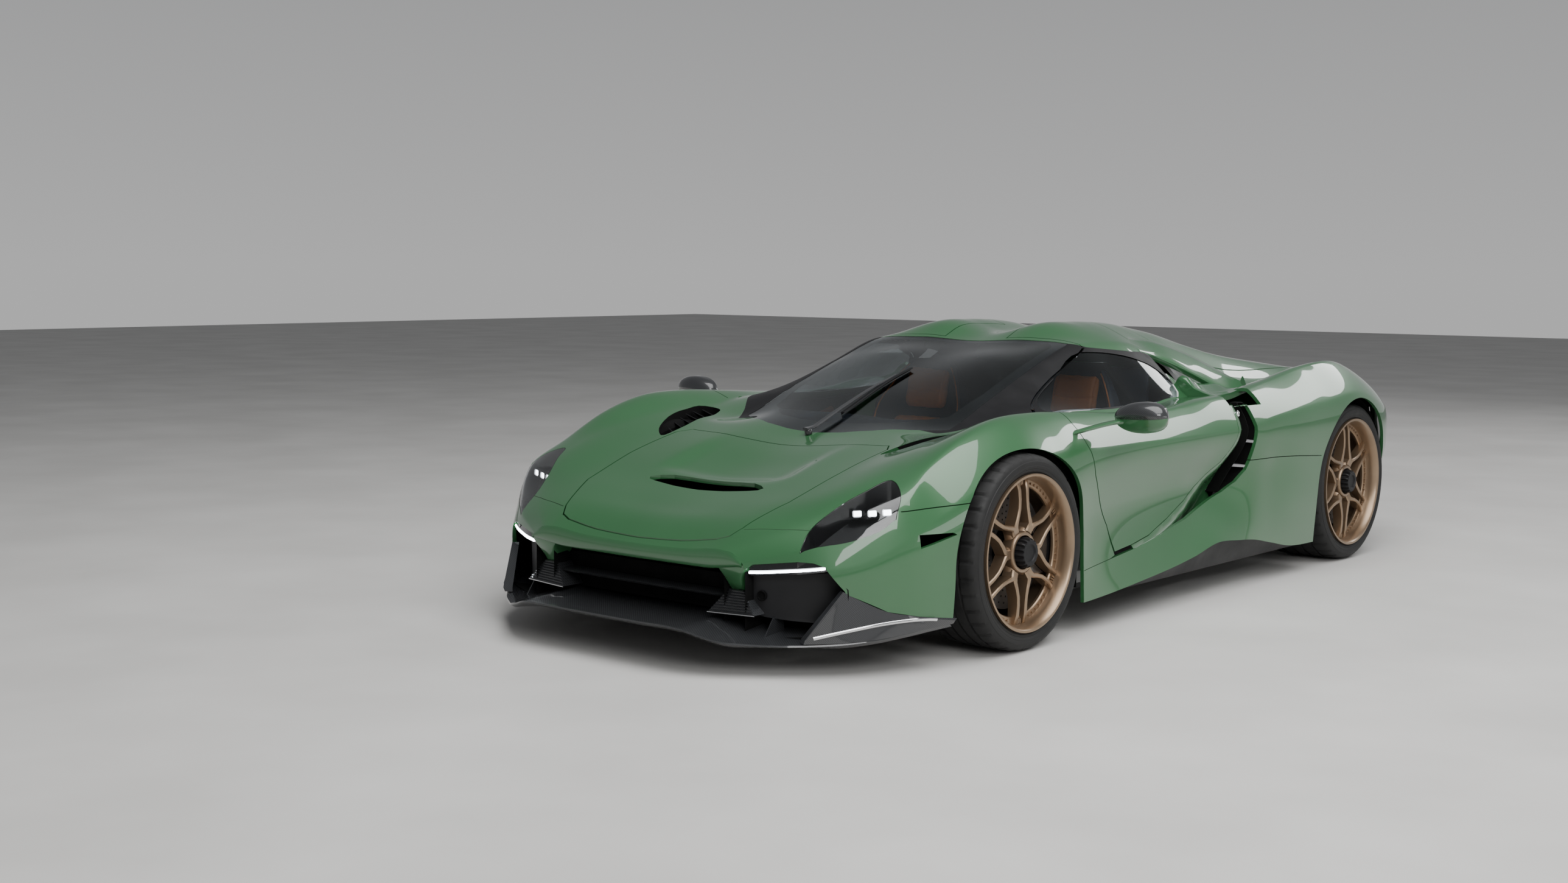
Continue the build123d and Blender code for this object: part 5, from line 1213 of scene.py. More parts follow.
def mirrors(looks):
    """Door mirrors: carbon shell over a painted bowl, on a thin painted blade."""
    rings = {"carbon": [], "paint": [], "black": []}
    count = 26
    for k in range(count + 1):
        t = k / count
        x = MIRROR_ROOT + MIRROR_SPAN * t
        full = math.sqrt(max(1 - (2 * t - 1) ** 2 * 0.995, 0.0)) ** 0.8 * (0.92 + 0.22 * t - 0.1 * t * t)
        middle = 757 + 8 * t
        tall, deep = 56 * full, 50 * full
        back = MIRROR_AT + deep * 0.45
        for part, start, stop in (("carbon", SHELL_FOOT, 1.0), ("paint", -1.0, SHELL_FOOT)):
            ring = [(x, MIRROR_AT - deep * math.cos(a) * (1.05 if a > 0 else 0.9), middle + tall
                     * math.sin(a)) for a in np.linspace(start * math.pi / 2, stop * math.pi / 2, 9)]
            rings[part].append(ring + [(x, back, point[2]) for point in reversed(ring)])
        turns = (-1.3, -0.6, 0, 0.6, 1.3)
        rings["black"].append([(x, back, middle + tall * 0.86 * math.sin(a)) for a in turns]
                              + [(x, back + 5, middle + tall * 0.86 * math.sin(a)) for a in turns[::-1]])
    for shape, part, finish, label, slot_name, nodes in (
            ("shell", "carbon", "carbon", "mirror_shell", "carbon", ("mirror_SIDE",)),
            ("bowl", "paint", "paint", "mirror_bowl", "paint", ()),
            ("glass", "black", "chrome", "mirror_glass", "steel", ())):
        both_sides(loft(shape, rings[part], looks[finish], angle=60.0), label, slot_name,
                   MIRROR_BODY, nodes)
    path = smooth_line(MIRROR_STALK, 5, False)
    rings = []
    for k, (x, y, z) in enumerate(path):
        t = k / (len(path) - 1)
        chord, thick = 34 - 10 * t, 6.5 + 2.5 * t
        rings.append([(x + chord * along, y - chord * ahead, z + thick * rise)
                      for along, ahead, rise in ((-0.5, -0.2, 0), (-0.2, 0, 0.8), (0.3, 0.2, 0.5),
                                                 (0.5, 0.3, 0), (0.3, 0.2, -1), (-0.3, 0, -1))])
    both_sides(loft("stalk", rings, looks["paint"], angle=50.0), "mirror_stalk", "paint", MIRROR_BODY)


# ---------------------------------------------------------------- flanks

SHOULDER_RIDGE = ((1549, 846), (1560, 856), (1600, 842), (1669, 818), (1759, 812), (1836, 812),
                  (1892, 800))
SCOOP_LIP = [(1640, 742), (1638, 690), (1624, 600), (1598, 520), (1564, 452), (1518, 402)]
RAIL_LINES = (
    # outer edge, inner edge
    ((552, 1480, 950), (420, 1480, 1012)),
    ((560, 1600, 925), (425, 1610, 1000)),
    ((618, 1700, 880), (460, 1740, 984)),
    ((682, 1812, 820), (530, 1895, 932)),
    ((778, 1885, 752), (672, 2015, 836)),
    ((850, 1868, 722), (800, 1955, 800)),
    ((930, 1800, 690), (900, 1900, 740)),
)


def scoops(looks):
    """The scoops behind the doors and the tall side intakes."""
    paint, matt = looks["paint"], looks["matt_black"]
    rim_line = np.array(DOOR_LOW_EDGE[1:], float)
    under = [(y + 14, z - 34) for y, z in BLADE_EDGE[2:7]]
    region = DOOR_LOW_EDGE[1:] + SCOOP_LIP + under[::-1]
    scoop = skin("scoop", 740, 1700, CROWN, SILL, 0, 6, paint, 1)
    for corner in scoop.data.vertices:
        here = np.array((corner.co.y / MM - FRONT_AXLE, corner.co.z / MM))
        a, b = rim_line[:-1], rim_line[1:]
        t = np.clip(((here - a) * (b - a)).sum(1) / ((b - a) ** 2).sum(1), 0, 1)
        gap = np.linalg.norm(a + (b - a) * t[:, None] - here, axis=1).min()
        corner.co.x -= 72 * MM * float(ease(gap, 4, 135))
    carve(scoop, side_cutter(grown(region, 2.0), 500, OUTSIDE), "INTERSECT")
    fix_normals(scoop)
    both_sides(crease(scoop, 40.0), "door_scoop", "paint")

    lip = [side_spot(y, z, 72) for y, z in smooth_line(SCOOP_LIP, 5, False)]
    rings = [[(x + 3, y - 9, z), (x + 3, y + 7, z), (x - 4, y + 7, z), (x - 4, y - 9, z)]
             for x, y, z in lip]
    both_sides(loft("strip", rings, looks["frame_alloy"]), "intake_strip", "steel")
    for k, (z, y_in, y_out) in enumerate(((600, 1628, 1668), (500, 1592, 1652))):
        a, b = side_spot(y_in, z, 74), side_spot(y_out, z - 6, 10)
        bar = [[(x, y, h - 5), (x, y, h + 5), (x + 2, y + 34, h + 5), (x + 2, y + 34, h - 5)]
               for x, y, h in (a, b)]
        both_sides(loft("vane", bar, looks["frame_alloy"]), f"intake_vane_{k + 1}", "steel",
                   nodes=("intake_vanes",) if not k else ())
    back = skin("back", 1440, 1740, CROWN, SILL, 150, 154, matt, 1)
    carve(back, side_cutter(grown(INTAKE, 90), 500, OUTSIDE), "INTERSECT")
    wall = skin("wall", 1440, 1740, CROWN, SILL, 15, 152, matt, 1)
    carve(wall, side_cutter(grown(INTAKE, 9), 500, OUTSIDE), "INTERSECT")
    carve(wall, side_cutter(grown(INTAKE, 5), 400, OUTSIDE + 10))
    both_sides(join("duct", [back, wall]), "intake_duct", "black_trim")
    x, y, z = side_spot(1566, 712, 1)
    button = turned("button", (x, y, z), (1, 0, 0.25),
                    [(-3, 12.5), (2.5, 12.5), (4, 10.5), (3, 8), (5.5, 6), (6.5, 0.4)], looks["chrome"])
    both_sides(button, "filler_button", "steel")


def buttresses(looks):
    """The shoulders over the rear wheels and the flying buttresses."""
    paint = looks["paint"]
    rings = []
    for y in np.linspace(1549, 1892, 28):
        peak = float(np.interp(y, *zip(*SHOULDER_RIDGE)))
        foot = [top_spot(x, y)[2] for x in (846, 800, 760, 648)]
        rings.append([(846, y, foot[0] - 4),
                      (800, y, max(foot[1] + 1, foot[1] + 0.2 * (peak - foot[1]))),
                      (760, y, foot[2] + 0.45 * max(peak - foot[2], 0)), (722, y, peak - 7), (700, y, peak),
                      (684, y, peak - 9), (664, y, peak - 46), (648, y, min(peak - 90, foot[3] - 6)),
                      (648, y, foot[0] - 30), (846, y, foot[0] - 30)])
    both_sides(loft("shoulder", rings, paint, angle=60.0), "flank_shoulder", "paint")
    rings = []
    for outer, inner in zip(smooth_line([o for o, _ in RAIL_LINES], 6, False),
                            smooth_line([i for _, i in RAIL_LINES], 6, False)):
        rings.append((np.array(outer), np.array(inner)))
    made = []
    for k, (outer, inner) in enumerate(rings):
        ahead = heading([sum(pair) for pair in rings], k)
        up = np.cross(outer - inner, ahead)
        up /= np.linalg.norm(up)
        up = up if up[2] > 0 else -up
        span = inner - outer
        crown = ((0.0, -6), (0.006, -1.5), (0.03, 1.5), (0.25, 5.0), (0.5, 6.5), (0.75, 5.0),
                 (0.97, 1.5), (0.994, -1.5), (1.0, -6))
        made.append([tuple(outer + span * share + up * rise) for share, rise in crown]
                    + [tuple(inner - up * 24 - span * 0.03), tuple(outer - up * 24 + span * 0.03)])
    both_sides(loft("rail", made, paint, angle=45.0), "flying_buttress", "paint", nodes=("buttresses",))
    tab = [[(742, 1985, 806), (756, 1968, 806), (800, 1925, 770), (790, 1940, 770)],
           [(744, 2000, 834), (755, 1990, 836), (800, 1935, 800), (792, 1948, 800)]]
    both_sides(loft("tab", tab, paint), "buttress_tab", "paint")


def flanks(looks):
    """The scoops behind the doors, the tall side intakes and the flying buttresses."""
    scoops(looks)
    buttresses(looks)


def liners(looks):
    """Black tubs that close the wheel arches from inside."""
    for where, station, height, long, tall, inner in ARCHES:
        rings = []
        for a in np.linspace(-0.35, math.pi + 0.35, 49):
            ring = [(inner, station + 40 * math.cos(a), height + 40 * math.sin(a))]
            for x, grow in ((inner, -16), (inner + 14, 4), (800, 4), (930, 6), (948, 4)):
                ring.append((x, station + (long + grow) * math.cos(a),
                             height + (tall + grow) * math.sin(a)))
            rings.append(ring)
        both_sides(loft(where, rings, looks["matt_black"], False, False),
                   f"arch_liner_{where}", "black_trim")
    bulkhead = [(560, 160), (930, 160), (936, 420), (950, 600), (940, 690), (560, 690)]
    both_sides(loft("bulkhead", [[(x, y, z) for x, z in bulkhead] for y in (396, 400)],
                    looks["matt_black"]), "arch_bulkhead", "black_trim")
    # The hollow under the hood's outlet is matt black as painted shade: it stands for the duct's inner wall
    # in shadow.
    well = [[top_spot(x, y, depth) for y, depth in ((-590, 30), (-560, 74), (-430, 74), (-415, 20))]
            for x in np.linspace(-300, 300, 15)]
    finish_piece(loft("hood_outlet_shade_well", well, looks["matt_black"], False, False), "hood", "black_trim")
    vent = smooth_line(FENDER_VENT, 4)
    floor = skin("vent", -330, 330, CANT, CROWN, 52, 56, looks["matt_black"], 1)
    carve(floor, plan_cutter(grown(vent, 20), 400, HIGH), "INTERSECT")
    wall = skin("vent_wall", -330, 330, CANT, CROWN, 1.0, 54, looks["matt_black"], 1)
    carve(wall, plan_cutter(grown(vent, 3), 400, HIGH), "INTERSECT")
    carve(wall, plan_cutter(grown(vent, -0.5), 390, HIGH + 10))
    slats = []
    for k in range(6):
        y = -140 + 62 * k
        x0, x1 = np.interp(y, (-215, 240), (520, 600)), np.interp(y, (-190, 90, 240), (560, 690, 705))
        low, high = top_spot(x0, y, 14), top_spot(x1, y + 26, 14)
        slats.append(loft("slat", [[(x, y0, z), (x, y0 + 34, z - 26), (x, y0 + 36, z - 23),
                                    (x, y0 + 3, z + 2)] for x, y0, z in (low, high)],
                          looks["black_trim"]))
    both_sides(join("fender_vent", [floor, wall] + slats), "fender_vent", "black_trim")


# ---------------------------------------------------------------- cabin

SEAT_X = 370.0
BOLSTER_TOPS = (3, 12)   # the points of a seat ring that the piping follows
# The seat's path seen from the side: station, height, the surface's direction, half width and
# bolster height.
SEAT_PATH = ((788, 314, 0.20, 0.98, 190, 8), (830, 328, 0.085, 0.996, 230, 34),
             (940, 318, 0.085, 0.996, 233, 60), (1080, 306, 0.085, 0.996, 233, 80),
             (1150, 303, -0.15, 0.985, 233, 94), (1188, 322, -0.72, 0.69, 233, 98),
             (1202, 384, -0.95, 0.30, 233, 90), (1238, 532, -0.972, 0.235, 233, 80),
             (1274, 682, -0.972, 0.235, 226, 66), (1297, 778, -0.972, 0.235, 180, 42),
             (1313, 842, -0.972, 0.235, 138, 24), (1320, 872, -0.972, 0.235, 112, 10))
# Name, start and end of the pad's underside as (station, height), half width, thickness,
# how far it may swell, stitched channels.
PADS = (
    ("seat_cushion", (842, 331), (1150, 305), 176, 36, 8, (0.30, 0.52, 0.74)),
    ("back_cushion", (1190, 350), (1262, 648), 172, 34, 8, (0.2, 0.4, 0.6, 0.8)),
    ("head_cushion", (1268, 668), (1311, 856), 118, 30, 7, (0.5,)),
)


SWELL_FRAMES = 20
PAD_VOXEL = 0.006


def swell(thing, cap):
    """Blow up a pad like stuffed leather, each point by no more than cap metres."""
    cloth = thing.modifiers.new("Cloth", "CLOTH")
    cloth.settings.use_pressure = True
    cloth.settings.uniform_pressure_force = 4.0
    cloth.settings.effector_weights.gravity = 0.0
    cloth.settings.quality = 5
    cloth.point_cache.frame_start, cloth.point_cache.frame_end = 1, SWELL_FRAMES
    scene = bpy.context.scene
    for frame_number in range(1, SWELL_FRAMES + 1):
        scene.frame_set(frame_number)
    blown = thing.evaluated_get(bpy.context.evaluated_depsgraph_get()).to_mesh()
    rest, moved = (np.empty(len(thing.data.vertices) * 3) for _ in range(2))
    thing.data.vertices.foreach_get("co", rest)
    blown.vertices.foreach_get("co", moved)
    step = (moved - rest).reshape(-1, 3)
    size = np.linalg.norm(step, axis=1, keepdims=True)
    step *= np.minimum(1.0, cap / np.maximum(size, 1e-9))
    placed = rest.reshape(-1, 3) + step
    placed[:, 2] = np.maximum(placed[:, 2], 0.0)
    thing.modifiers.remove(cloth)
    thing.data.vertices.foreach_set("co", placed.ravel())
    scene.frame_set(1)


def pad(name, start, end, half, thick, cap, channels, material):
    """A stuffed leather pad on the left seat, crowned, with sewn channels across it."""
    (y0, z0), (y1, z1) = start, end
    length = math.hypot(y1 - y0, z1 - z0)
    rings = []
    for t in np.linspace(0.0, 1.0, 33):
        across = (1 - abs(2 * t - 1) ** 5) ** 0.2 if 0 < t < 1 else 0.0
        tall = (1 - abs(2 * t - 1) ** 2.6) ** 0.5 if 0 < t < 1 else 0.0
        pull = 1 - 0.05 * (1 - (2 * t - 1) ** 2)
        ring = []
        for a in turns(48):
            c, s = math.cos(a), math.sin(a)
            x = half * max(across, 0.02) * pull * math.copysign(abs(c) ** 0.42, c)
            bulge = (0.62 if s > 0 else 0.38) * math.copysign(abs(s) ** 0.7, s) * max(tall, 0.02)
            n = thick * (0.38 + bulge)
            ring.append((x * MM, (t * length) * MM, n * MM))
        rings.append(ring)
    n = len(rings[0])
    faces = grid_faces(len(rings), n, False, True) + [tuple(range(n)), tuple(range(n * 32, n * 33))]
    thing = piece(name, [v for ring in rings for v in ring], faces, material)
    fix_normals(thing)
    bake(thing, "Remesh", "REMESH", mode="VOXEL", voxel_size=PAD_VOXEL)
    swell(thing, cap * MM)
    bake(thing, "Subsurf", "SUBSURF", levels=1, render_levels=1)
    co = np.empty(len(thing.data.vertices) * 3)
    thing.data.vertices.foreach_get("co", co)
    co = co.reshape(-1, 3)
    upper = ease(co[:, 2] / MM, thick * 0.35, thick * 0.7)
    for share in channels:
        line = share * length - 14 * (1 - (co[:, 0] / MM / half) ** 2)
        inside = 1 - ease(abs(co[:, 0]) / MM, half * 0.72, half * 0.86)
        co[:, 2] -= 5.0 * MM * upper * np.exp(-((co[:, 1] / MM - line) / 5.0) ** 2) * inside
    for side in (-1, 1):
        co[:, 2] -= 4.5 * MM * upper * np.exp(-((co[:, 0] / MM - side * half * 0.76) / 4.5) ** 2)
    along = np.array((0.0, (y1 - y0) / length, (z1 - z0) / length))
    over = np.array((0.0, -along[2], along[1]))
    base = np.array((SEAT_X * MM, place(y0), z0 * MM))
    world = (base + co[:, :1] * np.array((1.0, 0.0, 0.0)) + co[:, 1:2] * along
             + (co[:, 2:3] + 0.001) * over)
    thing.data.vertices.foreach_set("co", world.ravel())
    thing.data.polygons.foreach_set("use_smooth", [True] * len(thing.data.polygons))
    thing.data.update()
    if not thing.data.materials:
        thing.data.materials.append(material)
    return thing


def seats(looks):
    """Two bucket seats: dark shells with stuffed orange pads and piping."""
    dark, tan = looks["leather_dark"], looks["leather_tan"]
    shells, trims = [], []
    path = smooth_line(SEAT_PATH, 4, False)
    rings = []
    for y, z, ny, nz, half, h in path:
        size = math.hypot(ny, nz)
        ny, nz = ny / size, nz / size
        across = [(-half, -8), (-half, h * 0.7), (-half + 5, h), (-half + 18, h + 3),
                  (-half + 32, h * 0.8), (-half + 50, h * 0.25), (-half + 62, 0), (-half * 0.4, -2),
                  (half * 0.4, -2), (half - 62, 0), (half - 50, h * 0.25), (half - 32, h * 0.8),
                  (half - 18, h + 3), (half - 5, h), (half, h * 0.7), (half, -8), (half * 0.85, -20),
                  (0, -22), (-half * 0.85, -20)]
        rings.append([(SEAT_X + x, y + ny * n, z + nz * n) for x, n in across])
    shells.append(loft("shell", rings, dark, angle=60.0))
    base = [[(SEAT_X - half, y0, z0),
             (SEAT_X + half, y0, z0), (SEAT_X + half, y1, z1), (SEAT_X - half, y1, z1)]
            for half, y0, z0, y1, z1 in ((180, 815, 160, 1300, 160), (215, 800, 290, 1200, 270))]
    shells.append(loft("base", base, dark))
    shell = join("seat_shell_left", shells)
    for k in BOLSTER_TOPS:
        line = [ring[k] for ring in rings[3:-2]]
        trims.append(tube("piping", line, 3.2, tan, 8))
    piping = join("seat_piping_left", trims)
    for thing, slot_name, nodes in ((shell, "leather_dark", ("seat_shells",)),
                                    (piping, "leather_tan", ())):
        other = mirrored(thing, thing.name.replace("left", "right"))
        crease(other, 50.0)
        finish_piece(thing, "body", slot_name, *nodes)
        finish_piece(other, "body", slot_name, *nodes)
    for name, start, end, half, thick, cap, channels in PADS:
        made = pad(f"{name}_left", start, end, half, thick, cap, channels, tan)
        other = mirrored(made, f"{name}_right")
        for thing in (made, other):
            finish_piece(thing, "body", "leather_tan", "seat_pads")


def steering_wheel(looks):
    """A flat-bottomed steering wheel with an orange rim and three dark spokes."""
    lean = math.radians(22.0)
    axis = np.array((0.0, math.cos(lean), math.sin(lean)))
    over = np.array((0.0, -math.sin(lean), math.cos(lean)))
    centre = np.array((SEAT_X, 690.0, 600.0))

    def at(across, up, out):
        spot_here = centre + over * up + axis * out
        return (centre[0] + across, spot_here[1], spot_here[2])

    rings = []
    for a in np.linspace(0, 2 * math.pi, 97):
        radius = 170.0 if math.sin(a) > -0.78 else 170.0 * 0.78 / -math.sin(a)
        across, up = radius * math.cos(a), radius * math.sin(a)
        thick = 15.0
        rings.append([at(across + math.cos(a) * thick * 0.92 * math.cos(b), up + math.sin(a) * thick
                         * 0.92 * math.cos(b), thick * math.sin(b)) for b in turns(16)])
    grip = loft("steering_rim", rings, looks["leather_tan"], angle=60.0)
    finish_piece(grip, "steering_wheel", "leather_tan", "steering_wheel")
    parts = []
    for turn in (0.08, math.pi - 0.08, -math.pi / 2):
        rows = []
        for r, wide, deep in ((30, 26, 6), (80, 18, 4), (130, 13, 4), (162 if turn > -1 else 128, 17, 5)):
            c, s = math.cos(turn), math.sin(turn)
            rows.append([at(r * c - hand * wide * s, r * s + hand * wide * c, -8 + level * deep)
                         for hand, level in ((1, -1), (-1, -1), (-1, 1), (1, 1))])
        parts.append(round_edges(loft("spoke", rows, looks["carbon"]), 0.003, 2))
    cx, cy, cz = at(0, 0, 0)
    parts.append(turned("hub", (cx, cy, cz), tuple(axis),
                        [(-58, 22), (-20, 34), (-18, 48), (-4, 50), (3, 44), (6, 30), (7, 0.5)],
                        looks["leather_dark"], 40))
    for side in (-1, 1):
        x, y, z = at(side * 78, 24, -24)
        parts.append(box("paddle", (x - 26, y - 3, z - 44), (x + 26, y + 3, z + 18), looks["steel"], 2.5))
    finish_piece(join("steering_spokes", parts), "steering_wheel", "leather_dark")


def dashboard(looks):
    """The dashboard with its piping, screens and vents."""
    dark, tan = looks["leather_dark"], looks["leather_tan"]
    rings = []
    for x in np.linspace(-708, 708, 49):
        dip = 12 * math.exp(-(x / 130) ** 2)
        low = 26 * math.exp(-((abs(x) - 370) / 170) ** 4)
        rings.append([(x, y, z)
                      for y, z in ((373, 430), (373, 640), (395, 676), (440, 696),
                                   (500, 703 - dip), (560, 700 - dip), (588, 688 - dip), (601, 664),
                                   (603, 640), (592, 632), (588, 618), (598, 606), (602, 580),
                                   (588, 540 - low * 0.2), (556, 486 + low), (520, 438 + low))])
    finish_piece(loft("dash_shell", rings, dark, angle=38.0), "body", "leather_dark", "dashboard")
    lines = []
    for z, y, r in ((626, 593, 3.6), (574, 603, 2.6)):
        for x0, x1 in ((-700, -150), (150, 250), (490, 700)):
            lines.append(tube("line", [(x, y + 1, z) for x in np.linspace(x0, x1, 9)], r, tan, 8))
    arch = [(250, 645), (262, 700), (300, 728), (370, 738), (440, 728), (478, 700), (490, 645)]
    hood = [[(x, y, z - drop) for x, z in arch]
            + [(370 + (x - 370) * 0.93, y, z - drop - 8) for x, z in reversed(arch)]
            for y, drop in ((480, 26), (540, 6), (600, 0), (626, 4))]
    finish_piece(round_edges(loft("gauge_hood", hood, dark), 0.003, 2), "body", "leather_dark")
    lines.append(tube("line", smooth_line([(x, 627, z - 6) for x, z in arch], 4, False), 3.0, tan, 8))
    finish_piece(join("dash_piping", lines), "body", "leather_tan")
    screens = [box("screen", (-120, 596, 560), (120, 608, 672), looks["gloss_black"], 4.0),
               box("gauges", (276, 560, 640), (464, 566, 716), looks["gloss_black"], 3.0)]
    for x in (-560, -260, 190, 560):
        screens.append(turned("vent", (x, 600, 655 if abs(x) > 200 else 650), (0, 1, 0),
                              [(-6, 27), (4, 27), (7, 24), (4, 21), (-2, 20), (-2, 6), (3, 5),
                               (4, 0.5)], looks["steel"], 28))
    finish_piece(join("dash_screens", screens), "body", "black_trim")


def console(looks):
    """The tunnel between the seats with its selector and tray."""
    dark, tan = looks["leather_dark"], looks["leather_tan"]
    tunnel = []
    for y, half, top in ((430, 86, 325), (600, 88, 392), (760, 82, 400), (1000, 80, 372),
                         (1240, 84, 352), (1385, 86, 345)):
        tunnel.append([(-half - 4, y, 152), (-half, y, top - 22), (-half + 12, y, top - 4), (0, y, top),
                       (half - 12, y, top - 4), (half, y, top - 22), (half + 4, y, 152)])
    finish_piece(loft("tunnel_cover", tunnel, dark, angle=60.0), "body", "leather_dark")
    strips = [tube("line",
                   [(side * 70, y, z) for y, z in ((606, 396), (760, 403), (1000, 376), (1240, 355))],
                   3.4, tan, 8) for side in (-1, 1)]
    strips.append(turned("selector", (0, 720, 398), (0, 0.1, 1),
                         [(0, 24), (10, 22), (14, 12), (60, 9), (66, 20), (86, 22), (98, 14),
                          (101, 0.5)], looks["steel"], 28))
    strips.append(box("tray", (-46, 820, 384), (46, 960, 392), looks["carbon"], 3.0))
    finish_piece(join("tunnel_trim", strips), "body", "leather_tan")


def linings(looks):
    """Door cards with their pulls, the doors' and the roof's lining and the rear shelf."""
    dark, tan = looks["leather_dark"], looks["leather_tan"]
    card = skin("door_card_left", 440, 1540, BELT, WAIST, PANEL + 9, PANEL + 14, dark, 1)
    carve(card, side_cutter(smooth_line([(520, 735), (560, 480), (700, 360), (1100, 400), (1380, 540),
                                         (1470, 735)], 4), 500, OUTSIDE), "INTERSECT")
    panel_pair(polish(card), "door_SIDE", "leather_dark")
    pull = smooth_line([side_spot(y, z, 44)
                        for y, z in ((640, 640), (860, 620), (1080, 600), (1300, 640))], 4, False)
    both_sides(tube("pull", pull, 9.0, tan, 10, 1.6), "door_pull", "leather_tan", "door_SIDE")
    liner = skin("door_liner_left", 400, 1560, SPINE, CANT, PANEL + 9, PANEL + 11, dark, 1)
    keep_door(liner)
    carve(liner, side_cutter(BLACK_ZONE, 400, OUTSIDE))
    panel_pair(polish(liner), "door_SIDE", "leather_dark")
    spine = skin("roof_liner", 1085, 1700, SPINE, CREST, PANEL + 1, PANEL + 3, dark)
    carve(spine, plan_cutter([(-144, 1085), (144, 1085), (144, 1700), (-144, 1700)], UNDER_LID,
                             HIGH), "INTERSECT")
    finish_piece(polish(spine), "body", "leather_dark")
    finish_piece(box("rear_shelf", (-600, 1444, 640), (600, 1470, 880), dark, 6.0), "body",
                 "leather_dark")


def cabin(looks):
    """Seats, steering wheel, dashboard, tunnel, door cards and liners."""
    seats(looks)
    steering_wheel(looks)
    dashboard(looks)
    console(looks)
    linings(looks)


def wiper(looks):
    """One carbon wiper parked upright in the middle of the windscreen."""
    arm, blade_rings = [], []
    for y in np.linspace(8, 560, 30):
        z = top_spot(0.0, max(y, 52.0))[2]
        t = (y - 8) / 552
        lift = 13 + 12 * math.sin(math.pi * min(t * 1.1, 1)) - 2 * t
        half, tall = 13 - 7 * t, 6 - 2.5 * t
        arm.append([(-half, y, z + lift), (-half * 0.6, y, z + lift + tall),
                    (half * 0.6, y, z + lift + tall), (half, y, z + lift),
                    (half * 0.7, y, z + lift - 3), (-half * 0.7, y, z + lift - 3)])
    parts = [loft("arm", arm, looks["carbon"], angle=30.0)]
    for y in np.linspace(210, 640, 30):
        z = top_spot(12.0, y)[2]
        end = 1 - 0.6 * abs(2 * (y - 210) / 430 - 1) ** 3
        blade_rings.append([(6, y, z + 1.5), (8, y, z + 8), (4, y, z + 8 + 5 * end),
                            (8, y, z + 10 + 5 * end), (20, y, z + 10 + 5 * end),
                            (24, y, z + 8 + 5 * end), (14, y, z + 8), (10, y, z + 1.5)])
    parts.append(loft("blade", blade_rings, looks["black_trim"], angle=30.0))
    z = top_spot(0.0, 55.0)[2]
    parts.append(turned("cap", (0, 26, z + 2), (0, -0.2, 1),
                        [(-8, 14), (8, 14), (12, 11), (13.5, 6), (14, 0.5)], looks["caliper"], 28))
    finish_piece(join("wiper_arm", parts), "body", "carbon", "wiper")


def underblades(looks):
    """Black boards under the sills."""
    stations = np.arange(560.0, 2241.0, 42.0)
    rings = []
    for y, (x, z) in zip(stations, half_sections(stations)[:, -1]):
        t = float(ease(y, 560, 700) * (1 - ease(y, 2060, 2240)))
        low = min(z - 3, 112) * t + (z - 3) * (1 - t)
        out = 932 * t + (x - 8) * (1 - t)
        rings.append([(x - 70, y, z + 16), (x - 8, y, z + 10), (x - 5, y, z),
                      ((x + out) / 2 - 6, y, (z + low) / 2), (out, y, low + 4), (out - 5, y, low),
                      (out - 40, y, low), (x - 90, y, z)])
    both_sides(loft("board", rings, looks["black_trim"], angle=30.0), "sill_underblade", "black_trim")


# ---------------------------------------------------------------- tail

def tail_spot(x, z, depth=0.0):
    """The place on the tail at a distance out and a height, depth ahead of its face."""
    return (x, TAIL - depth, z)


def tail_band(looks):
    """The tail's painted face and the wire grille in its opening."""
    matt, trim, paint = looks["matt_black"], looks["black_trim"], looks["paint"]
    edge = [tuple(point) for point in half_sections(np.array([TAIL]))[0]]
    face = [(x, z) for x, z in edge] + [(-x, z) for x, z in reversed(edge) if x > 1]
    end = loft("tail_face", [[(x * scale, y, z) for x, z in face] for y, scale in (
                    (TAIL - 16, 1.0), (TAIL - 1.5, 1.0), (TAIL, 0.998))], paint, angle=50.0)
    carve(end, front_cutter([(-690, 432), (-600, 392), (600, 392), (690, 432), (712, 560), (700, 670),
                             (-700, 670), (-712, 560)], TAIL - 60, TAIL + 60))
    finish_piece(end, "body", "paint")
    mesh = []
    outline = [(-690, 432), (-600, 396), (600, 396), (690, 432), (716, 560), (700, 668), (-700, 668),
               (-716, 560)]
    back = [tail_spot(x, z, 34) for x, z in outline]
    mesh.append(loft("back", [back, [tail_spot(x, z, 28) for x, z in outline]], matt))
    for row in range(11):
        z = 408 + row * 23.5
        half = float(np.interp(z, (396, 432, 560, 668), (600, 690, 712, 700))) - 8
        path = [(x, TAIL - 17 + (4 if k % 2 else -4), z + (6 if k % 2 else -6))
                for k, x in enumerate(np.linspace(-half, half, 61))]
        mesh.append(tube("wire", path, 2.6, trim, 6))
    finish_piece(join("tail_grille", mesh), "body", "black_trim")
    frame_line = smooth_line([(x, TAIL - 10, z) for x, z in outline], 5, True, (0, 1, 2, 3, 5, 6))
    finish_piece(tube("tail_grille_frame", frame_line + frame_line[:1], 7.0, looks["gloss_black"], 8),
                 "body", "black_trim")


def tail_lamps(looks):
    """The long lamp bars on both sides, in their housings."""
    housing, bars = [], []
    for side in (-1, 1):
        ring = [(side * 322, 622), (side * 700, 622), (side * 712, 640), (side * 700, 664),
                (side * 322, 664)]
        housing.append(loft("housing", [[tail_spot(x, z, 26) for x, z in ring],
                                        [tail_spot(x, z, 8) for x, z in ring]], looks["gloss_black"]))
        for z in (634, 650):
            path = [(side * x, TAIL - 7 + 2 * math.cos(x / 30), z) for x in np.linspace(334, 690, 25)]
            bars.append(tube("bar", path, 3.6, looks["tail_light"], 8))
    finish_piece(join("tail_lamp_housings", housing), "body", "black_trim")
    finish_piece(join("tail_lamp_bars", bars), "body", "tail_light", "tail_lamps")


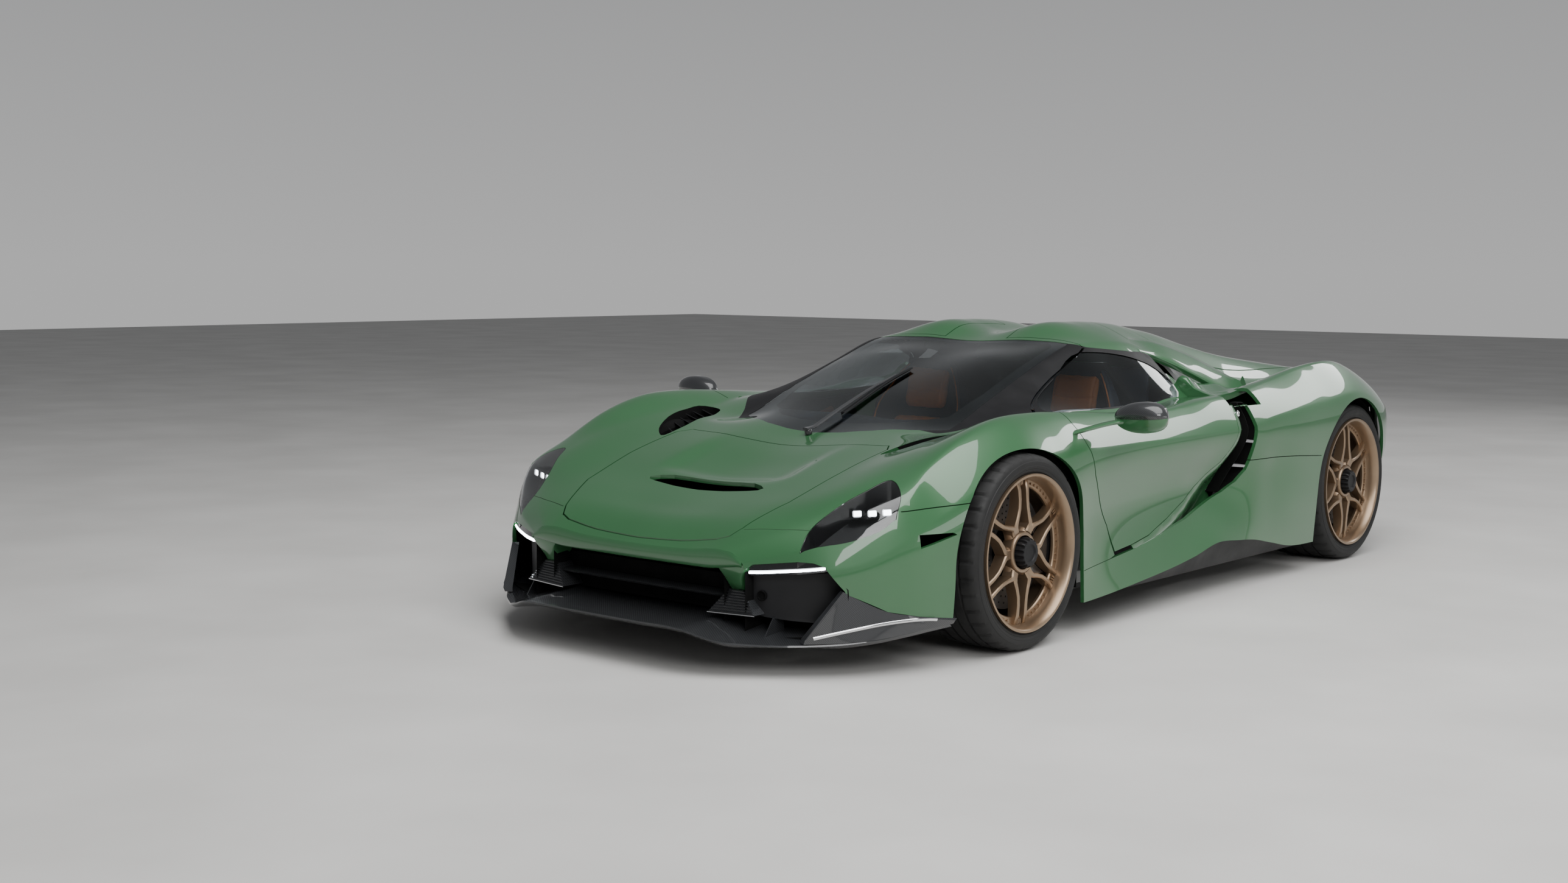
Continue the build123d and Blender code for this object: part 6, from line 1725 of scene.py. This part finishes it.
def exhaust(looks):
    """Two round pipes in a carbon surround."""
    pipes = []
    for x in (-75, 75):
        pipes.append(turned("pipe", (x, 3330, 470), (0, 1, 0),
                            [(0, 44), (0, 47.6), (96, 47.6), (112, 50), (119, 50), (119.5, 47),
                             (112, 44), (20, 43), (18, 0.5), (0, 0.5)], looks["steel"], 48))
    finish_piece(join("exhaust_pipes", pipes), "body", "steel", "exhaust_tips")
    ring = smooth_line([(-150, 470), (-110, 532), (0, 540), (110, 532), (150, 470), (110, 408),
                        (0, 400), (-110, 408)], 6)
    levels = ((1.0, TAIL - 26), (1.0, TAIL - 2), (0.94, TAIL - 2), (0.94, TAIL - 26))
    surround = loft("surround", [[(x * share, y, z if share == 1.0 else 470 + (z - 470) * share)
                                  for x, z in ring] for share, y in levels], looks["carbon"], True, False)
    finish_piece(join("exhaust_surround", [surround]), "body", "carbon")


def diffuser(looks):
    """The blade under the bumper, the ramp, its fins and the low lamp."""
    carbon = looks["carbon"]
    lip = []
    for x in np.linspace(-716, 716, 49):
        bend = abs(x) / 716
        y = TAIL - 2 - 46 * bend ** 4
        low = 300 + 40 * bend ** 4
        lip.append([(x, y - 40, low), (x, y - 4, low - 4), (x, y, low + 8),
                    (x, y - 6, 392 + 24 * bend ** 2), (x, y - 40, 398 + 24 * bend ** 2)])
    finish_piece(loft("rear_bumper_blade", lip, carbon), "body", "carbon")
    floor = []
    for x in np.linspace(-695, 695, 31):
        floor.append([(x, 2992, 96), (x, 3120, 142), (x, 3270, 208), (x, 3398, 304), (x, 3398, 312),
                      (x, 3270, 216), (x, 3120, 150), (x, 2992, 104)])
    finish_piece(loft("diffuser_ramp", floor, carbon, True), "body", "carbon", "diffuser")
    fins = []
    for x in (-560, -280, 0, 280, 560):
        profile = smooth_line([(3004, 108), (3200, 112), (3372, 138), (3394, 170), (3398, 300),
                               (3300, 238), (3140, 162)], 5, True, (0, 2, 4))
        fins.append(loft("fin",
                         [[(x + d, y, z) for y, z in profile] for d in (-3.6, -2.6, 2.6, 3.6)], carbon))
    finish_piece(join("diffuser_fins", fins), "body", "carbon")
    lamp = [[(x, y, z) for x, z in ((-34, 326), (34, 326), (26, 350), (-26, 350))]
            for y in (TAIL - 6, TAIL - 1)]
    finish_piece(loft("rear_fog_lamp", lamp, looks["tail_light"]), "body", "tail_light")


def lid_slats(looks):
    """The slats over the engine."""
    slats = []
    for k in range(9):
        y = 2330 + 92 * k
        half = 250 - 9 * k
        ring = []
        for x in np.linspace(-half, half, 17):
            z = top_spot(x, y)[2]
            ring.append([(x, y - 24, z - 9), (x, y - 20, z + 1.5), (x, y + 20, z + 4.5),
                         (x, y + 24, z - 6)])
        slats.append(loft("slat", ring, looks["black_trim"]))
    finish_piece(join("engine_lid_slats", slats), "engine_lid", "black_trim")


def tail(looks):
    """The tail: grille band, lamps, exhaust, bumper blade, diffuser and the engine lid's slats."""
    tail_band(looks)
    tail_lamps(looks)
    exhaust(looks)
    diffuser(looks)
    lid_slats(looks)


# ---------------------------------------------------------------- wheels

WHEELS = (
    # place, side, model Y, tyre radius, tyre width, rim radius, outer face
    ("front", "left", 1, FRONT_AXLE, 335.0, 265.0, 269.0, 1000.0),
    ("front", "right", -1, FRONT_AXLE, 335.0, 265.0, 269.0, 1000.0),
    ("rear", "left", 1, FRONT_AXLE + WHEELBASE, 348.0, 325.0, 281.5, 970.0),
    ("rear", "right", -1, FRONT_AXLE + WHEELBASE, 348.0, 325.0, 281.5, 970.0),
)


WHEEL_PIECES = (
    # label, slot and, where the piece stands for a node, the node's name
    ("tyre_tread", "tyre", "tyre"),
    ("rim_forging", "bronze", "rim"),
    ("wheel_nut", "caliper"),
    ("brake_rotor", "disc", "disc"),
)


def tyre(name, y, radius, width, rim, face, material):
    """A road tyre with a grooved tread."""
    side = [(13, rim - 6), (11, rim + 3), (6, rim + 5), (3.5, rim + 12), (4.5, rim + 14),
            (2.2, rim + 17), (0.5, rim + 24), (1.2, rim + 26), (0.2, rim + 32), (2.0, radius - 26),
            (4.0, radius - 24.5), (6.5, radius - 18), (12, radius - 10.5), (20, radius - 5.5),
            (32, radius - 2.4)]
    grooves = []
    for centre in (0.25, 0.42, 0.58, 0.75):
        c = width * centre
        grooves += [(c - 5.5, 0.0), (c - 4.0, 6.0), (c + 4.0, 6.0), (c + 5.5, 0.0)]
    tread = [(inboard, radius - 0.9 * ((inboard / width - 0.5) * 2) ** 2 - drop)
             for inboard, drop in grooves]
    profile = side + tread + [(width - i, r) for i, r in reversed(side)]
    count = 216
    verts = []
    for k in range(count):
        angle = 2 * math.pi * k / count
        for inboard, r in profile:
            lateral = 0.0
            from_edge = min(inboard, width - inboard)
            if k % 6 == 0 and 18 < from_edge < width * 0.24:
                lateral = 5.0
            if k % 12 == 3 and 6 < from_edge < 21:
                lateral = 2.0
            slant = 0.35 * (inboard / width - 0.5) * (1 if inboard < width / 2 else -1)
            a = angle + slant * 0.12
            verts.append(((face - inboard) * MM, (y + (r - lateral) * math.cos(a)) * MM,
                          (radius + (r - lateral) * math.sin(a)) * MM))
    return solid(name, verts, grid_faces(count, len(profile), True, True), material, 28.0)


def polar(face, y, z, inboard, radius, degrees):
    """A point on a wheel in metres: degrees go round from straight up towards the tail."""
    a = math.radians(degrees)
    return Vector(((face - inboard) * MM, (y + radius * math.sin(a)) * MM,
                   (z + radius * math.cos(a)) * MM))


def blade(face, y, z, path, material):
    """One spoke blade: rounded bar through (radius, degrees, half width, face depth, back depth) points."""
    verts = []
    spots = [np.array((r * math.sin(math.radians(d)), r * math.cos(math.radians(d))))
             for r, d, *_ in path]
    for k, (r, d, half, front, back) in enumerate(path):
        ahead = heading(spots, k)
        ahead /= np.linalg.norm(ahead)
        across = np.array((-ahead[1], ahead[0]))
        soft = min(half * 0.45, 5.0)
        for side, depth in ((-half * 1.25, back), (-half, front + soft), (-half + soft, front),
                            (half - soft, front), (half, front + soft), (half * 1.25, back)):
            at = spots[k] + across * side
            verts.append(((face - depth) * MM, (y + at[0]) * MM, (z + at[1]) * MM))
    n = 6
    faces = grid_faces(len(path), n, False, True)
    faces += [tuple(range(n)), tuple(reversed(range(len(verts) - n, len(verts))))]
    return solid("blade", verts, faces, material, 40.0)


def knob(centre, axis_x, radius, height, sides, material, top=0.85):
    """A small bevelled bolt head that stands out along X."""
    verts = []
    for level, share in ((0.0, 1.0), (0.7, 1.0), (1.0, top)):
        for k in range(sides):
            a = 2 * math.pi * k / sides
            verts.append((centre[0] + axis_x * height * level, centre[1] + radius * share * math.cos(a),
                          centre[2] + radius * share * math.sin(a)))
    faces = grid_faces(3, sides, False, True) + [tuple(range(2 * sides, 3 * sides))]
    return solid("knob", verts, faces, material, 40.0)


SPOKE_ROOT, SPOKE_END = 98.0, 245.0      # radii between which the spokes stretch with the rim
SPOKE_PATH = (
    # radius, offset from the middle line, half width, depths of the face and of the back
    (66, 34, 15, 36, 74), (84, 42, 13, 33, 74), (98, 42, 9.0, 31, 74), (122, 33, 7.4, 31, 73),
    (150, 25, 7.0, 31, 72), (180, 22.5, 7.2, 32, 71), (212, 23.5, 7.8, 34, 70), (240, 27, 8.8, 40, 68),
    (246, 27.5, 9.4, 44, 68),
)


def rim(name, y, radius, width, lip, face, bronze, nut_finish):
    """A forged wheel: deep lip, bolted flange, six forked spokes, hub ring and a castellated nut."""
    z = radius
    barrel = lip - 23.0
    parts = [lathe("lip", [(-1.5, lip - 1.0), (-2.0, lip - 3.5), (-1.0, lip - 9.0), (2.0, lip - 12.0),
                           (6, lip - 14.0), (14, barrel + 5), (30, barrel + 1), (48, barrel),
                           (52, barrel - 2), (53, barrel - 22), (57, barrel - 25), (66, barrel - 25),
                           (68, barrel - 6), (width - 60, barrel - 14), (width - 14, barrel - 4),
                           (width, lip - 14), (width + 1.5, lip - 3), (width + 1, lip - 1),
                           (width - 10, lip - 1), (width - 11, lip - 8), (width * 0.6, barrel + 2),
                           (80, barrel + 8), (24, lip - 8.5), (12, lip - 8.5), (11, lip - 1.0)],
                   (face, y, z), bronze, 120)]
    hub = 62.0
    parts.append(lathe("hub", [(78, 30.5), (78, hub + 6), (44, hub + 10), (36, hub + 9), (31, hub + 6),
                               (30, hub + 1), (31, hub - 4), (37, hub - 6), (52, hub - 7),
                               (56, hub - 12), (58, 30.5)], (face, y, z), bronze, 72))
    reach = (lip - 24.0) / SPOKE_END
    span = SPOKE_END * reach - SPOKE_ROOT
    for spoke in range(6):
        centre = 30.0 + 60.0 * spoke
        for hand in (-1, 1):
            path = []
            for radial, offset, half, front, back in SPOKE_PATH:
                stretch = radial
                if radial > SPOKE_ROOT:
                    stretch = SPOKE_ROOT + (radial - SPOKE_ROOT) * span / (SPOKE_END - SPOKE_ROOT)
                pair = centre + hand * 30.0
                a = math.degrees(math.atan2(-hand * offset, stretch))
                path.append((math.hypot(stretch, offset), pair + a, half, front, back))
            parts.append(blade(face, y, z, path, bronze))
        web = [(60, centre, 22, 40, 72), (80, centre, 20, 42, 72), (96, centre, 11, 44, 72),
               (104, centre, 3, 48, 72)]
        parts.append(blade(face, y, z, web, bronze))
        pair = centre + 30.0
        end = 236.0 * reach
        for step in (-9, 0, 9):
            at = pair + math.degrees(step / end)
            rib = [(end - 8, at, 2.6, 46, 66), (end + 9, at, 2.6, 46, 66)]
            parts.append(blade(face, y, z, rib, bronze))
        for degrees in (-14, -8.5, -3, 3, 8.5, 14):
            spot = polar(face, y, z, 53.0, barrel - 12.5, centre + degrees)
            parts.append(knob(spot, 1, 0.0042, 0.006, 12, bronze))
    wheel = join(name, parts)
    nut = []
    teeth = 16
    for k in range(teeth * 4):
        a = 2 * math.pi * k / (teeth * 4)
        proud = 0.0 if k % 4 in (0, 1) else 7.0
        ring = [(56, 46), (54, 53 - proud * 0.4), (20, 52 - proud), (12, 50 - proud),
                (5, 46 - proud * 0.5), (3, 42), (3, 30), (7, 27), (7, 8)]
        for inboard, r in ring:
            nut.append(((face - inboard) * MM, (y + r * math.cos(a)) * MM, (z + r * math.sin(a)) * MM))
    faces = grid_faces(teeth * 4, 9, True, False)
    faces.append(tuple(k * 9 + 8 for k in range(teeth * 4)))
    return wheel, solid(f"{name}_nut", nut, faces, nut_finish, 25.0)


def brake(name, y, radius, face, disc_finish, hat_finish):
    """A vented, drilled disc with its hat."""
    z = radius
    parts = [lathe("hat", [(94, 31), (84.5, 31), (84.5, 82), (93, 88), (96, 96), (101, 96), (101, 86),
                           (95, 80)], (face, y, z), hat_finish, 72)]
    for low, high in ((94, 103), (115, 124)):
        parts.append(lathe("rotor", [(low + 0.6, 96), (high, 96), (high, 199), (low + 0.6, 199),
                                     (low, 198), (low, 97)], (face, y, z), disc_finish, 96))
    for k in range(48):
        degrees = 7.5 * k
        verts = []
        for r, lean in ((100, -1.5), (130, 1.0), (165, 2.0), (196, 1.0)):
            for depth in (102.5, 115.5):
                for side in (-0.7, 0.7):
                    verts.append(polar(face, y, z, depth, r, degrees + lean * 2 + side))
        faces = []
        for s in range(3):
            b = s * 4
            faces += [(b, b + 1, b + 5, b + 4), (b + 2, b + 6, b + 7, b + 3), (b, b + 4, b + 6, b + 2),
                      (b + 1, b + 3, b + 7, b + 5)]
        parts.append(piece("vane", verts, faces, disc_finish, False))
    dots = []
    for k in range(36):
        for step, r in enumerate((116, 136, 156, 178)):
            spot = polar(face, y, z, 93.7, r, 10 * k + 2.5 * step)
            dots.append(knob(spot, 1, 0.0032, 0.0003, 10, hat_finish, 0.9))
    return join(name, parts + dots)


def wheels(looks):
    """Tyres, rims, nuts and discs at the four corners."""
    for where, side, sign, y, radius, width, lip, face in WHEELS:
        made = [tyre(f"tyre_{where}", y, radius, width, lip, face, looks["tyre"]),
                *rim(f"wheel_{where}", y, radius, width, lip, face, looks["bronze"], looks["black_trim"]),
                brake(f"rotor_{where}", y, radius, face, looks["disc"], looks["matt_black"])]
        for thing, (label, slot_name, *nodes) in zip(made, WHEEL_PIECES):
            if sign < 0:
                other = crease(mirrored(thing, "other"), 30.0)
                discard(thing)
                thing = other
            thing.name = f"{label}_{where}_{side}"
            finish_piece(thing, f"wheel_{where}_{side}", slot_name,
                         *[f"{node}_{where}_{side}" for node in nodes])


# ---------------------------------------------------------------- stage

FLOOR_HALF, FLOOR_STEPS = 30.0, 12
# name, place, aim, size and power of each softbox
SOFTBOXES = (
    ("softbox_top", (2.6, -1.6, 7.0), (0, -0.2, 0), (6.5, 7.5), 720.0),
    ("softbox_key", (7.5, -6.5, 5.0), (0, -0.5, 0.6), (4.5, 3.0), 300.0),
    ("softbox_side", (9.5, 2.0, 1.6), (0, 0.4, 0.6), (7.0, 1.6), 90.0),
    ("softbox_rear", (2.5, 9.0, 5.0), (0, 1.0, 0.8), (6.0, 1.6), 170.0),
)
AIR_SHADES = ((0.0, (0.66, 0.66, 0.66, 1)), (0.95, (0.16, 0.165, 0.17, 1)))
AIR_MIDDLE = (0.3, (0.34, 0.345, 0.355, 1))
CAMERA_SPOT = (4.331, -6.370, 1.286)
CAMERA_YAW, CAMERA_PITCH = math.radians(40.57), math.radians(5.333)
CAMERA_ROLL = 0.00537
CAMERA_LENS, CAMERA_SENSOR, CAMERA_SHIFT = 42.19, 36.0, -0.002


def stage(look):
    """Floor, lights and camera."""
    r = Recipe("floor_pale")
    patch = r.noise(1.2, 4.0)
    r.set(Base_Color=r.blend(r.ramp(patch, 0, 1, 0.35, 0.7), (0.60, 0.59, 0.57),
                             (0.68, 0.67, 0.65)), Roughness=0.75)
    r.bump(r.noise(160.0, 3.0), 0.1, 0.001)
    line = [-FLOOR_HALF + 2 * FLOOR_HALF * i / FLOOR_STEPS for i in range(FLOOR_STEPS + 1)]
    floor = piece("floor", [(x, y, 0.0) for y in line for x in line], grid_faces(len(line), len(line)),
                  r.material)
    world = bpy.data.worlds.new("studio_air")
    bpy.context.scene.world = world
    world.use_nodes = True
    tree = world.node_tree
    back = tree.nodes["Background"]
    coords = tree.nodes.new("ShaderNodeTexCoord")
    split = tree.nodes.new("ShaderNodeSeparateXYZ")
    ramp = tree.nodes.new("ShaderNodeValToRGB")
    tree.links.new(coords.outputs["Generated"], split.inputs[0])
    tree.links.new(split.outputs[2], ramp.inputs[0])
    tree.links.new(ramp.outputs[0], back.inputs[0])
    for element, (height, shade_of_air) in zip(ramp.color_ramp.elements, AIR_SHADES):
        element.position, element.color = height, shade_of_air
    ramp.color_ramp.elements.new(AIR_MIDDLE[0]).color = AIR_MIDDLE[1]
    back.inputs[1].default_value = look.air
    for name, spot, aim, size, power in SOFTBOXES:
        lamp = bpy.data.lights.new(name, "AREA")
        lamp.shape, lamp.energy = "RECTANGLE", power * look.lights
        lamp.size, lamp.size_y = size
        thing = bpy.data.objects.new(name, lamp)
        bpy.context.scene.collection.objects.link(thing)
        thing.location = spot
        thing.rotation_euler = (Vector(aim) - Vector(spot)).to_track_quat("-Z", "Y").to_euler()
    data = bpy.data.cameras.new("camera")
    data.lens, data.sensor_width, data.shift_y = CAMERA_LENS, CAMERA_SENSOR, CAMERA_SHIFT
    data.clip_start, data.clip_end = 0.1, 200.0
    camera = bpy.data.objects.new("camera", data)
    bpy.context.scene.collection.objects.link(camera)
    ahead = Vector((-math.sin(CAMERA_YAW) * math.cos(CAMERA_PITCH),
                    math.cos(CAMERA_YAW) * math.cos(CAMERA_PITCH), -math.sin(CAMERA_PITCH)))
    right = Vector((math.cos(CAMERA_YAW), math.sin(CAMERA_YAW), 0.0))
    up = right.cross(ahead)
    across = right * math.cos(CAMERA_ROLL) + up * math.sin(CAMERA_ROLL)
    over = up * math.cos(CAMERA_ROLL) - right * math.sin(CAMERA_ROLL)
    turn = Matrix((across, over, -ahead)).transposed()
    camera.matrix_world = Matrix.Translation(CAMERA_SPOT) @ turn.to_4x4()
    bpy.context.scene.camera = camera


def dress_nodes(looks):
    """Give the frame's own pieces their finishes."""
    slots = {part["node"]: part["material_slot"] for part in frame["record"]["subparts"]}
    shaded = {"front_subframe": "matt_black", "floor_pan": "black_trim", "tub": "carbon"}
    for name, thing in frame["nodes"].items():
        if thing.hide_render:
            continue
        finish = looks[shaded.get(name, slots[name])]
        if not thing.material_slots:
            thing.data.materials.append(None)
        for holder in thing.material_slots:
            holder.link = "OBJECT"
            holder.material = finish


# ---------------------------------------------------------------- add-on

class CoupeLooks(bpy.types.PropertyGroup):
    """Colours and lighting of the coupe."""

    paint: bpy.props.FloatVectorProperty(name="Paint", description="Body colour", subtype="COLOR",
                                         size=3, min=0.0, max=1.0, default=(0.030, 0.126, 0.044))
    wheel: bpy.props.FloatVectorProperty(
        name="Wheels", description="Colour of the forged rims", subtype="COLOR", size=3, min=0.0, max=1.0,
        default=(0.33, 0.235, 0.155))
    leather: bpy.props.FloatVectorProperty(name="Leather",
                                           description="Main seat and cabin colour", subtype="COLOR",
                                           size=3, min=0.0, max=1.0, default=(0.62, 0.19, 0.04))
    lights: bpy.props.FloatProperty(name="Softboxes",
                                    description="Strength of the studio softboxes", subtype="FACTOR",
                                    min=0.0, soft_max=2.0, default=1.0)
    air: bpy.props.FloatProperty(name="Studio air",
                                 description="Strength of the light from all round", subtype="FACTOR",
                                 min=0.0, soft_max=2.0, default=0.75)


class COUPE_OT_body(bpy.types.Operator):
    """Dress the fixed body, lids and doors in painted panels"""

    bl_idname = "coupe.body"
    bl_label = "Body panels"

    def execute(self, context):
        body_panels(finishes())
        return {"FINISHED"}


class COUPE_OT_glass(bpy.types.Operator):
    """Glaze the windscreen, doors and rear window"""

    bl_idname = "coupe.glass"
    bl_label = "Glass"

    def execute(self, context):
        looks = finishes()
        glass_pieces(looks["glass"], looks["gloss_black"])
        return {"FINISHED"}


class COUPE_OT_nose(bpy.types.Operator):
    """Build the lip, intakes, grille and splitter"""

    bl_idname = "coupe.nose"
    bl_label = "Nose"

    def execute(self, context):
        nose(finishes())
        return {"FINISHED"}


class COUPE_OT_lamps(bpy.types.Operator):
    """Build the headlamps and mirrors"""

    bl_idname = "coupe.lamps"
    bl_label = "Lamps and mirrors"

    def execute(self, context):
        lamps(finishes())
        mirrors(finishes())
        return {"FINISHED"}


class COUPE_OT_flanks(bpy.types.Operator):
    """Build the side intakes, buttresses and wheel-arch liners"""

    bl_idname = "coupe.flanks"
    bl_label = "Flanks"

    def execute(self, context):
        flanks(finishes())
        liners(finishes())
        return {"FINISHED"}


class COUPE_OT_cabin(bpy.types.Operator):
    """Build the seats, dashboard, steering wheel, tunnel and liners"""

    bl_idname = "coupe.cabin"
    bl_label = "Cabin"

    def execute(self, context):
        cabin(finishes())
        wiper(finishes())
        underblades(finishes())
        return {"FINISHED"}


class COUPE_OT_tail(bpy.types.Operator):
    """Build the tail's grille, lamps, exhaust pipes, bumper blade and diffuser"""

    bl_idname = "coupe.tail"
    bl_label = "Tail and diffuser"

    def execute(self, context):
        tail(finishes())
        return {"FINISHED"}


class COUPE_OT_wheels(bpy.types.Operator):
    """Build the tyres, forged rims and brakes"""

    bl_idname = "coupe.wheels"
    bl_label = "Wheels"

    def execute(self, context):
        wheels(finishes())
        return {"FINISHED"}


class COUPE_OT_dress(bpy.types.Operator):
    """Give the remaining pieces of the frame their finishes"""

    bl_idname = "coupe.dress"
    bl_label = "Frame finishes"

    def execute(self, context):
        dress_nodes(finishes())
        return {"FINISHED"}


class COUPE_OT_stage(bpy.types.Operator):
    """Set up the floor, lights and camera"""

    bl_idname = "coupe.stage"
    bl_label = "Studio"

    def execute(self, context):
        stage(context.scene.coupe_looks)
        return {"FINISHED"}


STEPS = (COUPE_OT_body, COUPE_OT_glass, COUPE_OT_nose, COUPE_OT_lamps, COUPE_OT_flanks,
         COUPE_OT_cabin, COUPE_OT_tail, COUPE_OT_wheels, COUPE_OT_dress, COUPE_OT_stage)


class COUPE_PT_sidebar(bpy.types.Panel):
    """The coupe's steps and looks"""

    bl_idname = "COUPE_PT_sidebar"
    bl_label = "Coupe"
    bl_space_type = "VIEW_3D"
    bl_region_type = "UI"
    bl_category = "Coupe"

    def draw(self, context):
        looks = context.scene.coupe_looks
        for key in ("paint", "wheel", "leather", "lights", "air"):
            self.layout.prop(looks, key)
        for step in STEPS:
            self.layout.operator(step.bl_idname)


CLASSES = (CoupeLooks, *STEPS, COUPE_PT_sidebar)


def register():
    for cls in CLASSES:
        bpy.utils.register_class(cls)
    bpy.types.Scene.coupe_looks = bpy.props.PointerProperty(type=CoupeLooks)


def unregister():
    del bpy.types.Scene.coupe_looks
    for cls in reversed(CLASSES):
        bpy.utils.unregister_class(cls)


def main():
    register()
    for step in STEPS:
        group, action = step.bl_idname.split(".")
        if getattr(getattr(bpy.ops, group), action)() != {"FINISHED"}:
            raise RuntimeError(f"{step.bl_label} did not finish")


if __name__ == "__main__":
    main()
